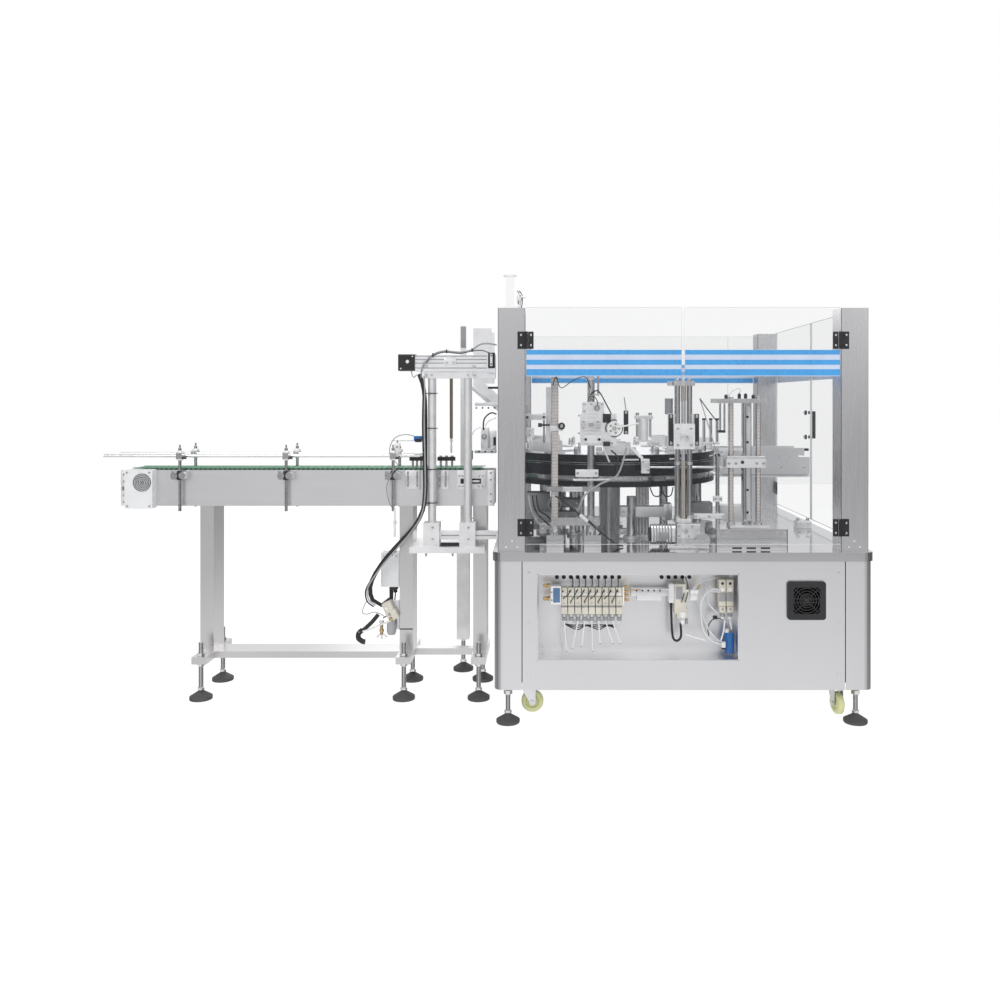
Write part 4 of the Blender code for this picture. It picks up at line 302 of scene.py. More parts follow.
class Piece:
    """One visual piece. Shapes are added in the plan, each with its own material."""

    def __init__(self, name):
        self.name = name
        self.mesh = bmesh.new()
        self.materials = []

    def add(self, shape, material):
        """Takes a finished shape into the piece, in one material."""
        if material not in self.materials:
            self.materials.append(material)
        number = self.materials.index(material)
        for face in shape.faces:
            face.material_index = number
        carrier = bpy.data.meshes.new("carrier")
        shape.to_mesh(carrier)
        shape.free()
        self.mesh.from_mesh(carrier)
        bpy.data.meshes.remove(carrier)
        return self

    def box(self, low, high, material, edge=PLATE_EDGE, turn=None):
        """A block between two corners, with softened edges, turned about its own middle."""
        shape = bmesh.new()
        bmesh.ops.create_cube(shape, size=1.0)
        size = [abs(b - a) for a, b in zip(low, high)]
        middle = Vector([(a + b) / 2 for a, b in zip(low, high)])
        bmesh.ops.scale(shape, vec=size, verts=shape.verts)
        reach = min(edge, min(size) * 0.45)
        if reach > 0:
            bmesh.ops.bevel(
                shape, geom=shape.edges[:], offset=reach, segments=2, profile=0.5, affect="EDGES"
            )
        shape.transform(Matrix.Translation(middle) @ (turn or Matrix.Identity(4)))
        return self.add(shape, material)

    def turned(self, profile, at, material, axis="Z", sides=28):
        """A turned shape from (radius, height) pairs."""
        shape = bmesh.new()
        rings = []
        for radius, height in profile:
            if radius <= 0:
                rings.append([shape.verts.new((0, 0, height))])
                continue
            ring = []
            for number in range(sides):
                angle = 2 * math.pi * number / sides
                ring.append(shape.verts.new((radius * math.cos(angle), radius * math.sin(angle), height)))
            rings.append(ring)
        for lower, upper in zip(rings, rings[1:]):
            if len(lower) == 1 and len(upper) == 1:
                continue
            for number in range(sides):
                following = (number + 1) % sides
                corners = [lower[number % len(lower)]]
                if len(lower) > 1:
                    corners.append(lower[following])
                if len(upper) > 1:
                    corners.append(upper[following])
                corners.append(upper[number % len(upper)])
                shape.faces.new(corners)
        bmesh.ops.recalc_face_normals(shape, faces=shape.faces)
        shape.transform(Matrix.Translation(at) @ LEVEL[axis])
        return self.add(shape, material)

    def rod(self, at, radius, length, material, axis="Z", sides=24, edge=SHEET_EDGE):
        """A round bar with softened ends, from a point along an axis."""
        low, high = (0, length) if length > 0 else (length, 0)
        soft = min(edge, radius * 0.4, (high - low) * 0.4)
        profile = [
            (0, low),
            (radius - soft, low),
            (radius, low + soft),
            (radius, high - soft),
            (radius - soft, high),
            (0, high),
        ]
        return self.turned(profile, at, material, axis, sides)

    def pipe(self, at, outer, inner, length, material, axis="Z", sides=36):
        """A ring or sleeve."""
        low, high = (0, length) if length > 0 else (length, 0)
        profile = [(inner, low), (outer, low), (outer, high), (inner, high), (inner, low)]
        return self.turned(profile, at, material, axis, sides)

    def screw(self, at, axis, radius, material=None, height=None, side=-1):
        """A socket head screw whose head stands out from a face along an axis, to one side."""
        material = material or PLATED
        height = height or radius * 0.9
        socket = radius * 0.5
        deep = height * 0.5
        profile = [
            (0, height - deep),
            (socket, height - deep),
            (socket, height),
            (radius * 0.85, height),
            (radius, height * 0.85),
            (radius, 0),
            (0, 0),
        ]
        if side < 0:
            profile = [(r, -h) for r, h in profile]
        return self.turned(profile, at, material, axis, sides=16)

    def nut(self, at, radius, height, material=None, axis="Z"):
        """A hexagon nut, by the radius of its corners."""
        return self.rod(at, radius, height, material or PLATED, axis, sides=6, edge=0.0008)

    def tube(self, points, radius, material, sides=10, steps=5):
        """A round hose or wire through points, on a smooth curve."""
        path = smooth(points, steps)
        shape = bmesh.new()
        rings = []
        across = None
        for number, point in enumerate(path):
            before = path[max(number - 1, 0)]
            after = path[min(number + 1, len(path) - 1)]
            along = (after - before).normalized()
            if across is None:
                across = along.orthogonal().normalized()
            across = (across - along * across.dot(along)).normalized()
            other = along.cross(across)
            ring = []
            for step in range(sides):
                angle = 2 * math.pi * step / sides
                offset = across * math.cos(angle) + other * math.sin(angle)
                ring.append(shape.verts.new(point + offset * radius))
            rings.append(ring)
        for lower, upper in zip(rings, rings[1:]):
            for step in range(sides):
                following = (step + 1) % sides
                shape.faces.new((lower[step], lower[following], upper[following], upper[step]))
        shape.faces.new(rings[0][::-1])
        shape.faces.new(rings[-1])
        bmesh.ops.recalc_face_normals(shape, faces=shape.faces)
        return self.add(shape, material)

    def plate(self, outline, axis, start, end, material, edge=SHEET_EDGE):
        """An outline of (across, up) points drawn out along an axis, with softened rims."""
        order = {
            "X": lambda a, b, along: (along, a, b),
            "Y": lambda a, b, along: (a, along, b),
            "Z": lambda a, b, along: (a, b, along),
        }[axis]
        shape = bmesh.new()
        face = shape.faces.new([shape.verts.new(order(a, b, start)) for a, b in outline])
        drawn = bmesh.ops.extrude_face_region(shape, geom=[face])
        moved = [item for item in drawn["geom"] if isinstance(item, bmesh.types.BMVert)]
        bmesh.ops.translate(shape, vec=Vector(order(0, 0, end - start)), verts=moved)
        bmesh.ops.recalc_face_normals(shape, faces=shape.faces)
        if edge:
            bmesh.ops.bevel(
                shape, geom=shape.edges[:], offset=edge, segments=1, profile=0.5, affect="EDGES"
            )
        return self.add(shape, material)

    def done(self, body, replaces=(), turn=None):
        """Makes the object, moves it to the world and lets it ride on its body."""
        if turn:
            self.mesh.transform(turn)
        self.mesh.transform(Matrix.Translation(PLAN))
        data = bpy.data.meshes.new(self.name)
        self.mesh.to_mesh(data)
        self.mesh.free()
        for material in self.materials:
            data.materials.append(material)
        data.shade_smooth()
        data.set_sharp_from_angle(angle=SHARP_ANGLE)
        obj = bpy.data.objects.new(self.name, data)
        bpy.context.scene.collection.objects.link(obj)
        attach(obj, body)
        if replaces:
            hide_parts(*replaces)
        return obj


def smooth(points, steps):
    """Points along the smooth curve through the given ones."""
    path = []
    last = len(points) - 1
    for number in range(last):
        before = Vector(points[max(number - 1, 0)])
        here = Vector(points[number])
        there = Vector(points[number + 1])
        after = Vector(points[min(number + 2, last)])
        for step in range(steps):
            t = step / steps
            linear = (there - before) * t
            square = (2 * before - 5 * here + 4 * there - after) * t**2
            cube = (3 * here - before - 3 * there + after) * t**3
            path.append(here + (linear + square + cube) / 2)
    path.append(Vector(points[-1]))
    return path


def arc(middle, radius, start, end, steps):
    """(across, up) points of an arc, angles in degrees."""
    points = []
    for number in range(steps + 1):
        angle = math.radians(start + (end - start) * number / steps)
        points.append((middle[0] + radius * math.cos(angle), middle[1] + radius * math.sin(angle)))
    return points


def screws(piece, y, across, heights, radius, material=None):
    """Screw heads at one depth, in every place of a row of X and a row of Z."""
    for x in across:
        for z in heights:
            piece.screw((x, y, z), "Y", radius, material)


def face_plate(piece, face, thick, across, heights, material, edge=PLATE_EDGE):
    """A thin plate on a front face, between two X and two Z."""
    low = (across[0], face - thick, heights[0])
    high = (across[1], face - SEAT, heights[1])
    piece.box(low, high, material, edge)


def bolts(piece, face, places, radius, material=None):
    """Screw heads on a front face, at (x, z) places."""
    for x, z in places:
        piece.screw((x, face - SEAT, z), "Y", radius, material)


# The CAD nodes that stay: each gets its finish and softened edges

FINISH = {
    "cabinet_shell": SHEET_STEEL,
    "front_panel": SHEET_STEEL,
    "table_top": TABLE_STEEL,
    "front_left_post": UPRIGHT_STEEL,
    "front_right_post": UPRIGHT_STEEL,
    "back_left_post": UPRIGHT_STEEL,
    "back_right_post": UPRIGHT_STEEL,
    "rear_guard_pane": ACRYLIC,
    "left_guard_pane": ACRYLIC,
    "front_left_door": ACRYLIC,
    "front_right_door": ACRYLIC,
    "side_front_door": ACRYLIC,
    "side_rear_door": ACRYLIC,
    "beacon": ACRYLIC,
    "side_door_handle": BLACK_METAL,
    "left_lower_hinge": BLACK_METAL,
    "left_upper_hinge": BLACK_METAL,
    "right_lower_hinge": BLACK_METAL,
    "right_upper_hinge": BLACK_METAL,
    "fan_rotor": BLACK_PLASTIC,
    "index_drive": CASTING,
    "turret_column": UPRIGHT_STEEL,
    "turret_drum": BLACK_PLATE,
    "turret_disc": WHITE_ALUMINIUM,
    "pusher_frame": PLATED,
    "pusher_carriage": WHITE_PLASTIC,
    "pusher_handwheel": PLATED,
    "press_frame": PLATED,
    "press_carriage": WHITE_ALUMINIUM,
    "folder_frame": PLATED,
    "folder_head": WHITE_ALUMINIUM,
    "feed_wheel": WHITE_PLASTIC,
    "outfeed_trough": SHEET_STEEL,
    "carton_magazine": WHITE_ALUMINIUM,
    "conveyor_channel": SHEET_STEEL,
    "conveyor_belt": BELT_LINKS,
    "drive_shaft": PLATED,
    "idler_shaft": PLATED,
    "drive_cover": WHITE_COVER,
    "front_guide_rail": PLATED,
    "rear_guide_rail": PLATED,
    "conveyor_stand": FRAME_STEEL,
    "gantry_frame": WHITE_ALUMINIUM,
    "gantry_motor": BLACK_METAL,
    "gantry_carriage": WHITE_ALUMINIUM,
    "pick_rod": BRONZE,
    "control_box": WHITE_COVER,
    "gantry_cable": CABLE_SHEATH,
}
PLAIN_EDGES = {"gantry_cable", "conveyor_belt", "fan_rotor"}
NODE_EDGE = 0.0009
NODE_EDGE_ANGLE = math.radians(40)


def finish_nodes():
    """Gives each kept node its material, and softened edges where they would show."""
    for node, material in FINISH.items():
        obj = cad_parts[node]
        obj.data.materials.clear()
        obj.data.materials.append(material)
        if node in PLAIN_EDGES:
            continue
        bevel = obj.modifiers.new("softened_edges", "BEVEL")
        bevel.width = NODE_EDGE
        bevel.segments = 2
        bevel.limit_method = "ANGLE"
        bevel.angle_limit = NODE_EDGE_ANGLE
        bevel.harden_normals = False


# Cabinet


def cabinet_trim():
    """Panel screws, the window's rim and its corner screws."""
    low, high = plan_box("front_panel")
    piece = Piece("cabinet_trim")
    inset = 0.0217
    screws(piece, -SEAT, (low.x + inset, high.x - inset), (0.177, 0.349, 0.516), PANEL_HEAD)
    window_x = (0.148, 0.816)
    window_z = (0.225, 0.510)
    rim = 0.0035
    out = 0.0022
    for x in window_x:
        piece.box((x - rim, -out, window_z[0] - rim), (x, -SEAT, window_z[1] + rim), PLATED)
    for z in window_z:
        piece.box((window_x[0] - rim, -out, z - rim), (window_x[1], -SEAT, z), PLATED)
    corner = 0.012
    screws(
        piece, 0.0962, (window_x[0] + corner, window_x[1] - corner),
        (window_z[0] + corner, window_z[1] - corner), PANEL_HEAD,
    )
    piece.done("machine")


def fan_places():
    """The fan guard's middle, half its width, its front and its back."""
    low, high = plan_box("fan_guard")
    middle = ((low.x + high.x) / 2, (low.z + high.z) / 2)
    return middle, (high.x - low.x) / 2, low.y, high.y


def fan_frame(piece):
    """A square frame with round corners round the fan's opening."""
    middle, half, front, back = fan_places()
    corner = 0.010
    opening = 0.057
    steps = 40
    outer = []
    for quarter in range(4):
        angle = 90 * quarter
        turn = math.radians(angle + 45)
        reach = (half - corner) * math.sqrt(2)
        centre = (middle[0] + reach * math.cos(turn), middle[1] + reach * math.sin(turn))
        outer.extend(arc(centre, corner, angle, angle + 90, steps // 4 - 1))
    shape = bmesh.new()
    rows = []
    for a, b in outer:
        angle = math.atan2(b - middle[1], a - middle[0])
        c = middle[0] + opening * math.cos(angle)
        d = middle[1] + opening * math.sin(angle)
        corners = ((a, front, b), (c, front, d), (c, back, d), (a, back, b))
        rows.append([shape.verts.new(point) for point in corners])
    for number, row in enumerate(rows):
        following = rows[(number + 1) % len(rows)]
        for side in range(4):
            other = (side + 1) % 4
            shape.faces.new((row[side], following[side], following[other], row[other]))
    bmesh.ops.recalc_face_normals(shape, faces=shape.faces)
    piece.add(shape, BLACK_PLASTIC)


def fan_rings(piece):
    """Five rings, a hub, crossed ribs and two bars."""
    middle, _, front, _ = fan_places()
    wire = 0.0014
    depth = 0.0035
    bar_reach = 0.0575
    for radius in (0.014, 0.023, 0.032, 0.041, 0.050):
        piece.pipe(
            (middle[0], front + 0.0005, middle[1]), radius + wire, radius - wire, depth, BLACK_PLASTIC,
            "Y", 48,
        )
    piece.rod((middle[0], front + 0.0002, middle[1]), 0.009, depth, BLACK_PLASTIC, "Y")
    for turn in (45, 135):
        bar = (-bar_reach, -depth / 2, -wire), (bar_reach, depth / 2, wire)
        rotation = Matrix.Rotation(math.radians(turn), 4, "Y")
        low_bar = Vector(bar[0]) + Vector((middle[0], front + 0.0025, middle[1]))
        high_bar = Vector(bar[1]) + Vector((middle[0], front + 0.0025, middle[1]))
        piece.box(low_bar, high_bar, BLACK_PLASTIC, edge=LEAF_EDGE, turn=rotation)
    for z in (middle[1] - 0.006, middle[1] + 0.006):
        piece.box(
            (middle[0] - bar_reach, front + 0.0008, z - wire),
            (middle[0] + bar_reach, front + 0.0042, z + wire),
            BLACK_PLASTIC,
            edge=LEAF_EDGE,
        )


def fan_screws(piece):
    """A screw in each corner of the frame."""
    middle, half, front, _ = fan_places()
    inset = 0.0115
    for a in (-1, 1):
        for b in (-1, 1):
            at = (middle[0] + a * (half - inset), front + 0.0008, middle[1] + b * (half - inset))
            piece.screw(at, "Y", COVER_HEAD, PLATED, height=0.0006)


def fan_face():
    """The fan's guard: a square frame with five rings, two bars and crossed ribs."""
    piece = Piece("fan_face")
    for add in (fan_frame, fan_rings, fan_screws):
        add(piece)
    piece.done("machine", replaces=["fan_guard"])


# Guard

# Blue bands on the panes, as low and high edge, and the pale film that carries them
BANDS = ((1.172, 1.193), (1.208, 1.2245), (1.242, 1.2573))
PALE_BAND = (1.1695, 1.2585)
FILM = 0.0003
EDGE_STRIP = 0.0008
BOLT = 0.0036


def flat(piece, axis, face, side, start, end, low_z, high_z, thick, material, edge=0.0):
    """A thin plate on an upright face whose normal runs along an axis."""
    near = face + side * SEAT
    far = near + side * thick
    if axis == "Y":
        piece.box((start, near, low_z), (end, far, high_z), material, edge)
    else:
        piece.box((near, start, low_z), (far, end, high_z), material, edge)


def pane_film(piece, axis, face, side, start, end):
    """Three blue bands on a pale one."""
    flat(piece, axis, face, side, start, end, *PALE_BAND, FILM, PALE_FILM)
    for low_z, high_z in BANDS:
        flat(piece, axis, face + side * (FILM + SEAT), side, start, end, low_z, high_z, FILM, BLUE_FILM)


def front_door(name, body, hinges, side):
    """Film, bright cut edges and the door's half of its two hinges."""
    low, high = plan_box(name)
    piece = Piece(name + "_trim")
    film_inset = 0.002
    pane_film(piece, "Y", low.y, -1, low.x + film_inset, high.x - film_inset)
    meeting = high.x if side > 0 else low.x
    flat(piece, "X", meeting, side, low.y, high.y, low.z, high.z, EDGE_STRIP, ACRYLIC_EDGE)
    for z in (low.z - EDGE_STRIP - SEAT, high.z + SEAT):
        piece.box((low.x, low.y, z), (high.x, high.y, z + EDGE_STRIP), ACRYLIC_EDGE, edge=0)
    axis = (low.x if side > 0 else high.x) + side * 0.002
    leaf_near = axis + side * 0.0055
    leaf_far = axis + side * 0.0240
    leaf = 0.0035
    for hinge in hinges:
        hinge_low, hinge_high = plan_box(hinge)
        flat(
            piece, "Y", low.y, -1, leaf_near, leaf_far, hinge_low.z, hinge_high.z, leaf, BLACK_METAL,
            0.001,
        )
        screws(
            piece, low.y - leaf - SEAT, (axis + side * 0.0150,),
            (hinge_low.z + 0.012, hinge_high.z - 0.012), BOLT,
        )
    piece.done(body)


def side_door(name, body):
    """Film, bright cut edges and the two small hinges of a side door."""
    low, high = plan_box(name)
    piece = Piece(name + "_trim")
    pane_film(piece, "X", high.x, 1, low.y + 0.002, high.y - 0.002)
    for z in (low.z - EDGE_STRIP - SEAT, high.z + SEAT):
        piece.box((low.x, low.y, z), (high.x, high.y, z + EDGE_STRIP), ACRYLIC_EDGE, edge=0)
    for y in (low.y - EDGE_STRIP - SEAT, high.y + SEAT):
        piece.box((low.x, y, low.z), (high.x, y + EDGE_STRIP, high.z), ACRYLIC_EDGE, edge=0)
    outer = low.y if body == "side_front" else high.y
    inward = 1 if body == "side_front" else -1
    leaf = (outer + inward * 0.004, outer + inward * 0.034)
    for z in (low.z + 0.075, high.z - 0.110):
        flat(piece, "X", low.x, -1, *leaf, z - 0.028, z + 0.028, 0.003, BLACK_METAL, 0.0008)
        for y in (leaf[0] + inward * 0.009, leaf[1] - inward * 0.009):
            for bolt_z in (z - 0.017, z + 0.017):
                piece.screw((low.x - 0.0032 - SEAT, y, bolt_z), "X", BOLT * 0.8)
    piece.done(body)


def guard_trim():
    """Bands and bright edges of the fixed panes, hinge bolts and the screws of the posts."""
    piece = Piece("guard_trim")
    low, high = plan_box("rear_guard_pane")
    film_inset = 0.002
    pane_film(piece, "Y", low.y, -1, low.x + film_inset, high.x - film_inset)
    piece.box(
        (low.x, low.y, high.z + SEAT), (high.x, high.y, high.z + SEAT + EDGE_STRIP), ACRYLIC_EDGE, 0
    )
    joint = 1.038
    piece.box(
        (joint, low.y - SEAT - 0.0005, low.z), (joint + 0.003, low.y - SEAT, high.z), ACRYLIC_EDGE, 0
    )
    low, high = plan_box("left_guard_pane")
    opening = (0.218, 1.022)
    pane_film(piece, "X", low.x, -1, low.y + film_inset, opening[0])
    pane_film(piece, "X", low.x, -1, opening[1], high.y - film_inset)
    piece.box(
        (low.x, low.y, high.z + SEAT), (high.x, high.y, high.z + SEAT + EDGE_STRIP), ACRYLIC_EDGE, 0
    )
    bolts_in = 0.012
    for hinge in ("left_lower_hinge", "left_upper_hinge", "right_lower_hinge", "right_upper_hinge"):
        low, high = plan_box(hinge)
        x = low.x + bolts_in if hinge.startswith("left") else high.x - bolts_in
        for z in (low.z + bolts_in, high.z - bolts_in):
            piece.screw((x, low.y + 0.0012, z), "Y", BOLT, height=0.0042)
    screw = 0.0034
    rise = 0.020
    spread = 0.019
    for node, middle in (("front_left_post", 0.0594), ("front_right_post", 1.205)):
        low, high = plan_box(node)
        base = low.z + 0.0155
        for x, z in ((middle - spread, base), (middle, base + rise), (middle + spread, base)):
            piece.screw((x, low.y - SEAT, z), "Y", screw, WHITE_ALUMINIUM)
    piece.done("machine")


def door_latches(piece):
    """Latch blocks inside the side doors, the catch and the handle's feet."""
    table = plan_box("table_top")[1].z + SEAT
    piece.box((1.165, 0.560, table), (1.225, 0.602, table + 0.028), WHITE_ALUMINIUM)
    for x in (1.176, 1.214):
        piece.screw((x, 0.560 - SEAT, table + 0.018), "Y", LATCH_HEAD)
        piece.rod((x, 0.581, table + 0.028), STOUT_KNOB, 0.010, PLATED)
    pane = plan_box("side_rear_door")[0].x
    post = plan_box("back_right_post")[0]
    piece.box(
        (post.x - 0.018, post.y + 0.010, 0.655), (post.x - SEAT, post.y + 0.030, 0.702), BLACK_METAL
    )
    handle_low, handle_high = plan_box("side_door_handle")
    handle_y = (handle_low.y + handle_high.y) / 2
    for z in (handle_low.z + 0.006, handle_high.z - 0.006):
        piece.rod((pane - SEAT, handle_y, z), 0.0095, -0.007, BLACK_METAL, "X")
        piece.rod((pane - 0.0072, handle_y, z), 0.0045, -0.005, PLATED, "X")


def beacon_bracket(piece):
    """The beacon's rim, its bracket and two wires."""
    low, high = plan_box("beacon")
    middle = Vector(((low.x + high.x) / 2, (low.y + high.y) / 2, low.z))
    radius = (high.x - low.x) / 2
    piece.pipe((middle.x, middle.y, high.z - 0.004), radius + 0.0006, radius + SEAT, 0.0035, ACRYLIC_EDGE)
    piece.box(
        (high.x + 0.003, middle.y - 0.010, low.z + SEAT),
        (high.x + 0.016, middle.y + 0.010, low.z + 0.014), WHITE_ALUMINIUM,
    )
    piece.rod((high.x + 0.010, middle.y, low.z + 0.014), STOUT_KNOB, 0.018, PLATED)
    piece.rod((high.x + 0.001, middle.y, low.z + 0.040), THIN_PIN, 0.030, PLATED, "X")
    piece.box(
        (high.x + 0.001, middle.y - 0.006, low.z + 0.028),
        (high.x + 0.012, middle.y + 0.006, low.z + 0.052), WHITE_ALUMINIUM,
    )
    for shift in (0.0, 0.007):
        wire = [
            (high.x + 0.008 + shift, middle.y, low.z + 0.054),
            (high.x + 0.002 + shift, middle.y - 0.004, low.z + 0.062),
            (high.x + 0.012 + shift, middle.y, low.z + 0.048),
            (high.x + 0.020, middle.y, low.z + 0.024), (high.x + 0.016, middle.y, low.z + 0.002),
        ]
        piece.tube(wire, 0.0013, CABLE_SHEATH)


def latch_and_beacon():
    """The latch blocks inside the side doors, the catch on the rear post and the beacon's bracket."""
    piece = Piece("latch_parts")
    for add in (door_latches, beacon_bracket):
        add(piece)
    piece.done("machine")


# Feet and casters


# A levelling foot's base and small nut, as (radius, height) pairs from the floor
PAD = 0.040
FOOT_BASE = [
    (0, 0.0), (PAD - 0.002, 0.0), (PAD, 0.003), (PAD, 0.0105), (0.013, 0.0275), (0.0105, 0.030),
    (0, 0.030),
]
BALL_NUT = [(0, 0.029), (0.0095, 0.029), (0.0125, 0.033), (0.0125, 0.041), (0.009, 0.0435), (0, 0.0435)]


def levelling_foot(name):
    """A rubber-edged base with a swivel stud, a small nut and a lock nut under the cabinet."""
    low, high = plan_box(name)
    middle = ((low.x + high.x) / 2, (low.y + high.y) / 2)
    piece = Piece(name + "_look")
    piece.turned(FOOT_BASE, (*middle, low.z), RUBBER, sides=40)
    piece.turned(BALL_NUT, (*middle, low.z), PLATED, sides=6)
    piece.rod((*middle, low.z + 0.030), GLAND, high.z - low.z - 0.030, STUD_THREAD)
    piece.nut((*middle, low.z + 0.096), 0.0145, 0.014)
    piece.rod((*middle, high.z - 0.0008), 0.017, -0.0022, PLATED)
    piece.done("machine", replaces=[name])


# Casters by wheel node: swivel axis, side the wheel trails to, turn in degrees and the wheel's body
CASTERS = {
    "front_left_wheel": (0.105, 0.082, 1, -90.0, "left_roller"),
    "front_right_wheel": (1.160, 0.082, 1, 188.8, "right_roller"),
    "back_left_wheel": (0.105, 1.218, -1, 0.0, "rear_left_roller"),
    "back_right_wheel": (1.160, 1.218, -1, 0.0, "rear_right_roller"),
}
CASTER_RADIUS = 0.0375
CASTER_WIDTH = 0.024
CASTER_TRAIL = 0.022
AXLE_Z = 0.0615


def swivelled(x, y, degrees):
    """The turn of a caster about its upright axis, as a matrix."""
    about = Matrix.Rotation(math.radians(degrees), 4, "Z")
    return Matrix.Translation((x, y, 0)) @ about @ Matrix.Translation((-x, -y, 0))


def caster_wheel(name):
    """A pale tyre on a bored hub with a bearing cap."""
    x, y, side, degrees, body = CASTERS[name]
    start = (x - CASTER_WIDTH / 2, y + side * CASTER_TRAIL, AXLE_Z)
    piece = Piece(name + "_look")
    soft = 0.006
    hub = CASTER_RADIUS * 0.62
    wide = CASTER_WIDTH
    tyre = [
        (hub, 0.001),
        (CASTER_RADIUS - soft, 0.0005),
        (CASTER_RADIUS - 0.002, soft * 0.5),
        (CASTER_RADIUS, soft),
        (CASTER_RADIUS, wide - soft),
        (CASTER_RADIUS - 0.002, wide - soft * 0.5),
        (CASTER_RADIUS - soft, wide - 0.0005),
        (hub, wide - 0.001),
        (hub, 0.001),
    ]
    piece.turned(tyre, start, TYRE, "X", 48)
    disc = [
        (0.0055, 0.002),
        (0.012, 0.002),
        (0.013, 0.005),
        (hub - 0.003, 0.006),
        (hub - 0.0002, 0.0025),
        (hub - 0.0002, wide - 0.0025),
        (hub - 0.003, wide - 0.006),
        (0.013, wide - 0.005),
        (0.012, wide - 0.002),
        (0.0055, wide - 0.002),
        (0.0055, 0.002),
    ]
    piece.turned(disc, start, TYRE, "X", 40)
    piece.done(body, replaces=[name], turn=swivelled(x, y, degrees))


def caster_fork(wheel, node, body):
    """A swivel fork: top plate, ball race, two tapered cheeks and the axle bolt with its nut."""
    x, y, side, degrees, _ = CASTERS[wheel]
    piece = Piece(node + "_look")
    high = plan_box(node)[1]
    piece.box((x - 0.030, y - 0.030, high.z - 0.0035), (x + 0.030, y + 0.030, high.z), PLATED)
    piece.rod((x, y, high.z - 0.0035), 0.024, -0.010, PLATED, sides=36)
    axle = y + side * CASTER_TRAIL
    tip = arc((axle, AXLE_Z), 0.0118, 0 if side > 0 else 180, -180 if side > 0 else 0, 8)
    upper = high.z - 0.010
    outline = [(y - 0.020, upper), (y + 0.034, upper), (y + 0.034, upper - 0.016)] + tip + [
        (y - 0.020, upper - 0.016),
    ]
    for outward in (-1, 1):
        inner = x + outward * (CASTER_WIDTH / 2 + 0.002)
        outer = inner + outward * 0.0028
        piece.plate(outline, "X", min(inner, outer), max(inner, outer), PLATED)
        piece.nut((outer, axle, AXLE_Z), 0.0072, outward * 0.0045, axis="X")
    piece.box((x - 0.014, y - 0.019, upper - 0.003), (x + 0.014, y + 0.033, upper), PLATED)
    piece.rod((x - 0.014, axle, AXLE_Z), RAIL_PIN, 0.028, PLATED, "X")
    piece.done(body, replaces=[node], turn=swivelled(x, y, degrees))


# Turret

POCKETS = 8
DISC_FACE = 0.8943


def disc_places():
    """The turret disc's middle, its low and high corner, and its radius."""
    low, high = plan_box("turret_disc")
    return (low + high) / 2, low, high, (high.x - low.x) / 2


def turret_pockets(piece):
    """Plates, ledges and stops of the carton pockets, and the pins between them."""
    centre, _, high, rim = disc_places()
    face = DISC_FACE + SEAT
    pocket_middle = rim - 0.051
    half_long = 0.045
    half_wide = 0.0375
    wall = 0.0016
    top = high.z
    between = Matrix.Rotation(math.pi / POCKETS, 4, "Z")
    for number in range(POCKETS):
        angle = 2 * math.pi * number / POCKETS
        turn = Matrix.Rotation(angle, 4, "Z")

        def plate(start, end, material, edge=0.0006):
            """A box in the pocket's own frame, out from the turret's middle along X."""
            size = Vector(end) - Vector(start)
            middle = turn @ ((Vector(start) + Vector(end)) / 2)
            place = Vector((centre.x, centre.y, 0)) + middle
            piece.box(place - size / 2, place + size / 2, material, edge, turn)

        near = pocket_middle - half_wide
        far = pocket_middle + half_wide
        for side in (-1, 1):
            edge = side * (half_long + 0.0002)
            outer = side * (half_long + 0.0002 + wall)
            plate((near, min(edge, outer), face), (far, max(edge, outer), top), WHITE_ALUMINIUM)
            ledge = side * (half_long + 0.030)
            low_y, high_y = sorted((outer, ledge))
            plate((near + 0.012, low_y, face), (far - 0.004, high_y, face + 0.012), ALUMINIUM)
            plate(
                (near + 0.024, low_y, face + 0.012), (near + 0.044, high_y - 0.006, face + 0.027),
                WHITE_ALUMINIUM,
            )
        plate(
            (far + 0.0002, -half_long, face + 0.006), (far + 0.0018, half_long, top - 0.004),
            WHITE_ALUMINIUM,
        )
        plate((near - 0.030, -0.020, face), (near - 0.001, 0.020, face + 0.016), ALUMINIUM)
        plate((near - 0.110, -0.012, face), (near - 0.040, 0.012, face + 0.006), PLATED)
        for radius, size, height in ((rim - 0.030, 0.018, 0.022), (rim - 0.062, 0.012, 0.030)):
            spot = between @ turn @ Vector((radius, 0, 0))
            at = (centre.x + spot.x, centre.y + spot.y, face)
            piece.rod(at, size * 0.5, height, PLATED)
            piece.nut((at[0], at[1], face + height), size * 0.42, 0.006, PLATED)


def rim_slots(piece):
    """Three pale slots in the disc's rim."""
    centre, low, _, rim = disc_places()
    slot_angle = math.radians(-78)
    for turn_by in (-0.10, 0.34, 0.95):
        angle = slot_angle + turn_by
        spot = Matrix.Rotation(angle, 4, "Z")
        middle = Vector((centre.x, centre.y, low.z + 0.012)) + spot @ Vector((rim + 0.0006, 0, 0))
        size = Vector((0.0007, 0.060, 0.0055))
        piece.box(middle - size / 2, middle + size / 2, WHITE_PLASTIC, 0, spot)


def turret_look():
    """Aluminium pocket plates and segments on the disc, the pins between the pockets and pale slots in
    its rim.
    """
    piece = Piece("pocket_plates")
    for add in (turret_pockets, rim_slots):
        add(piece)
    piece.done("turret")


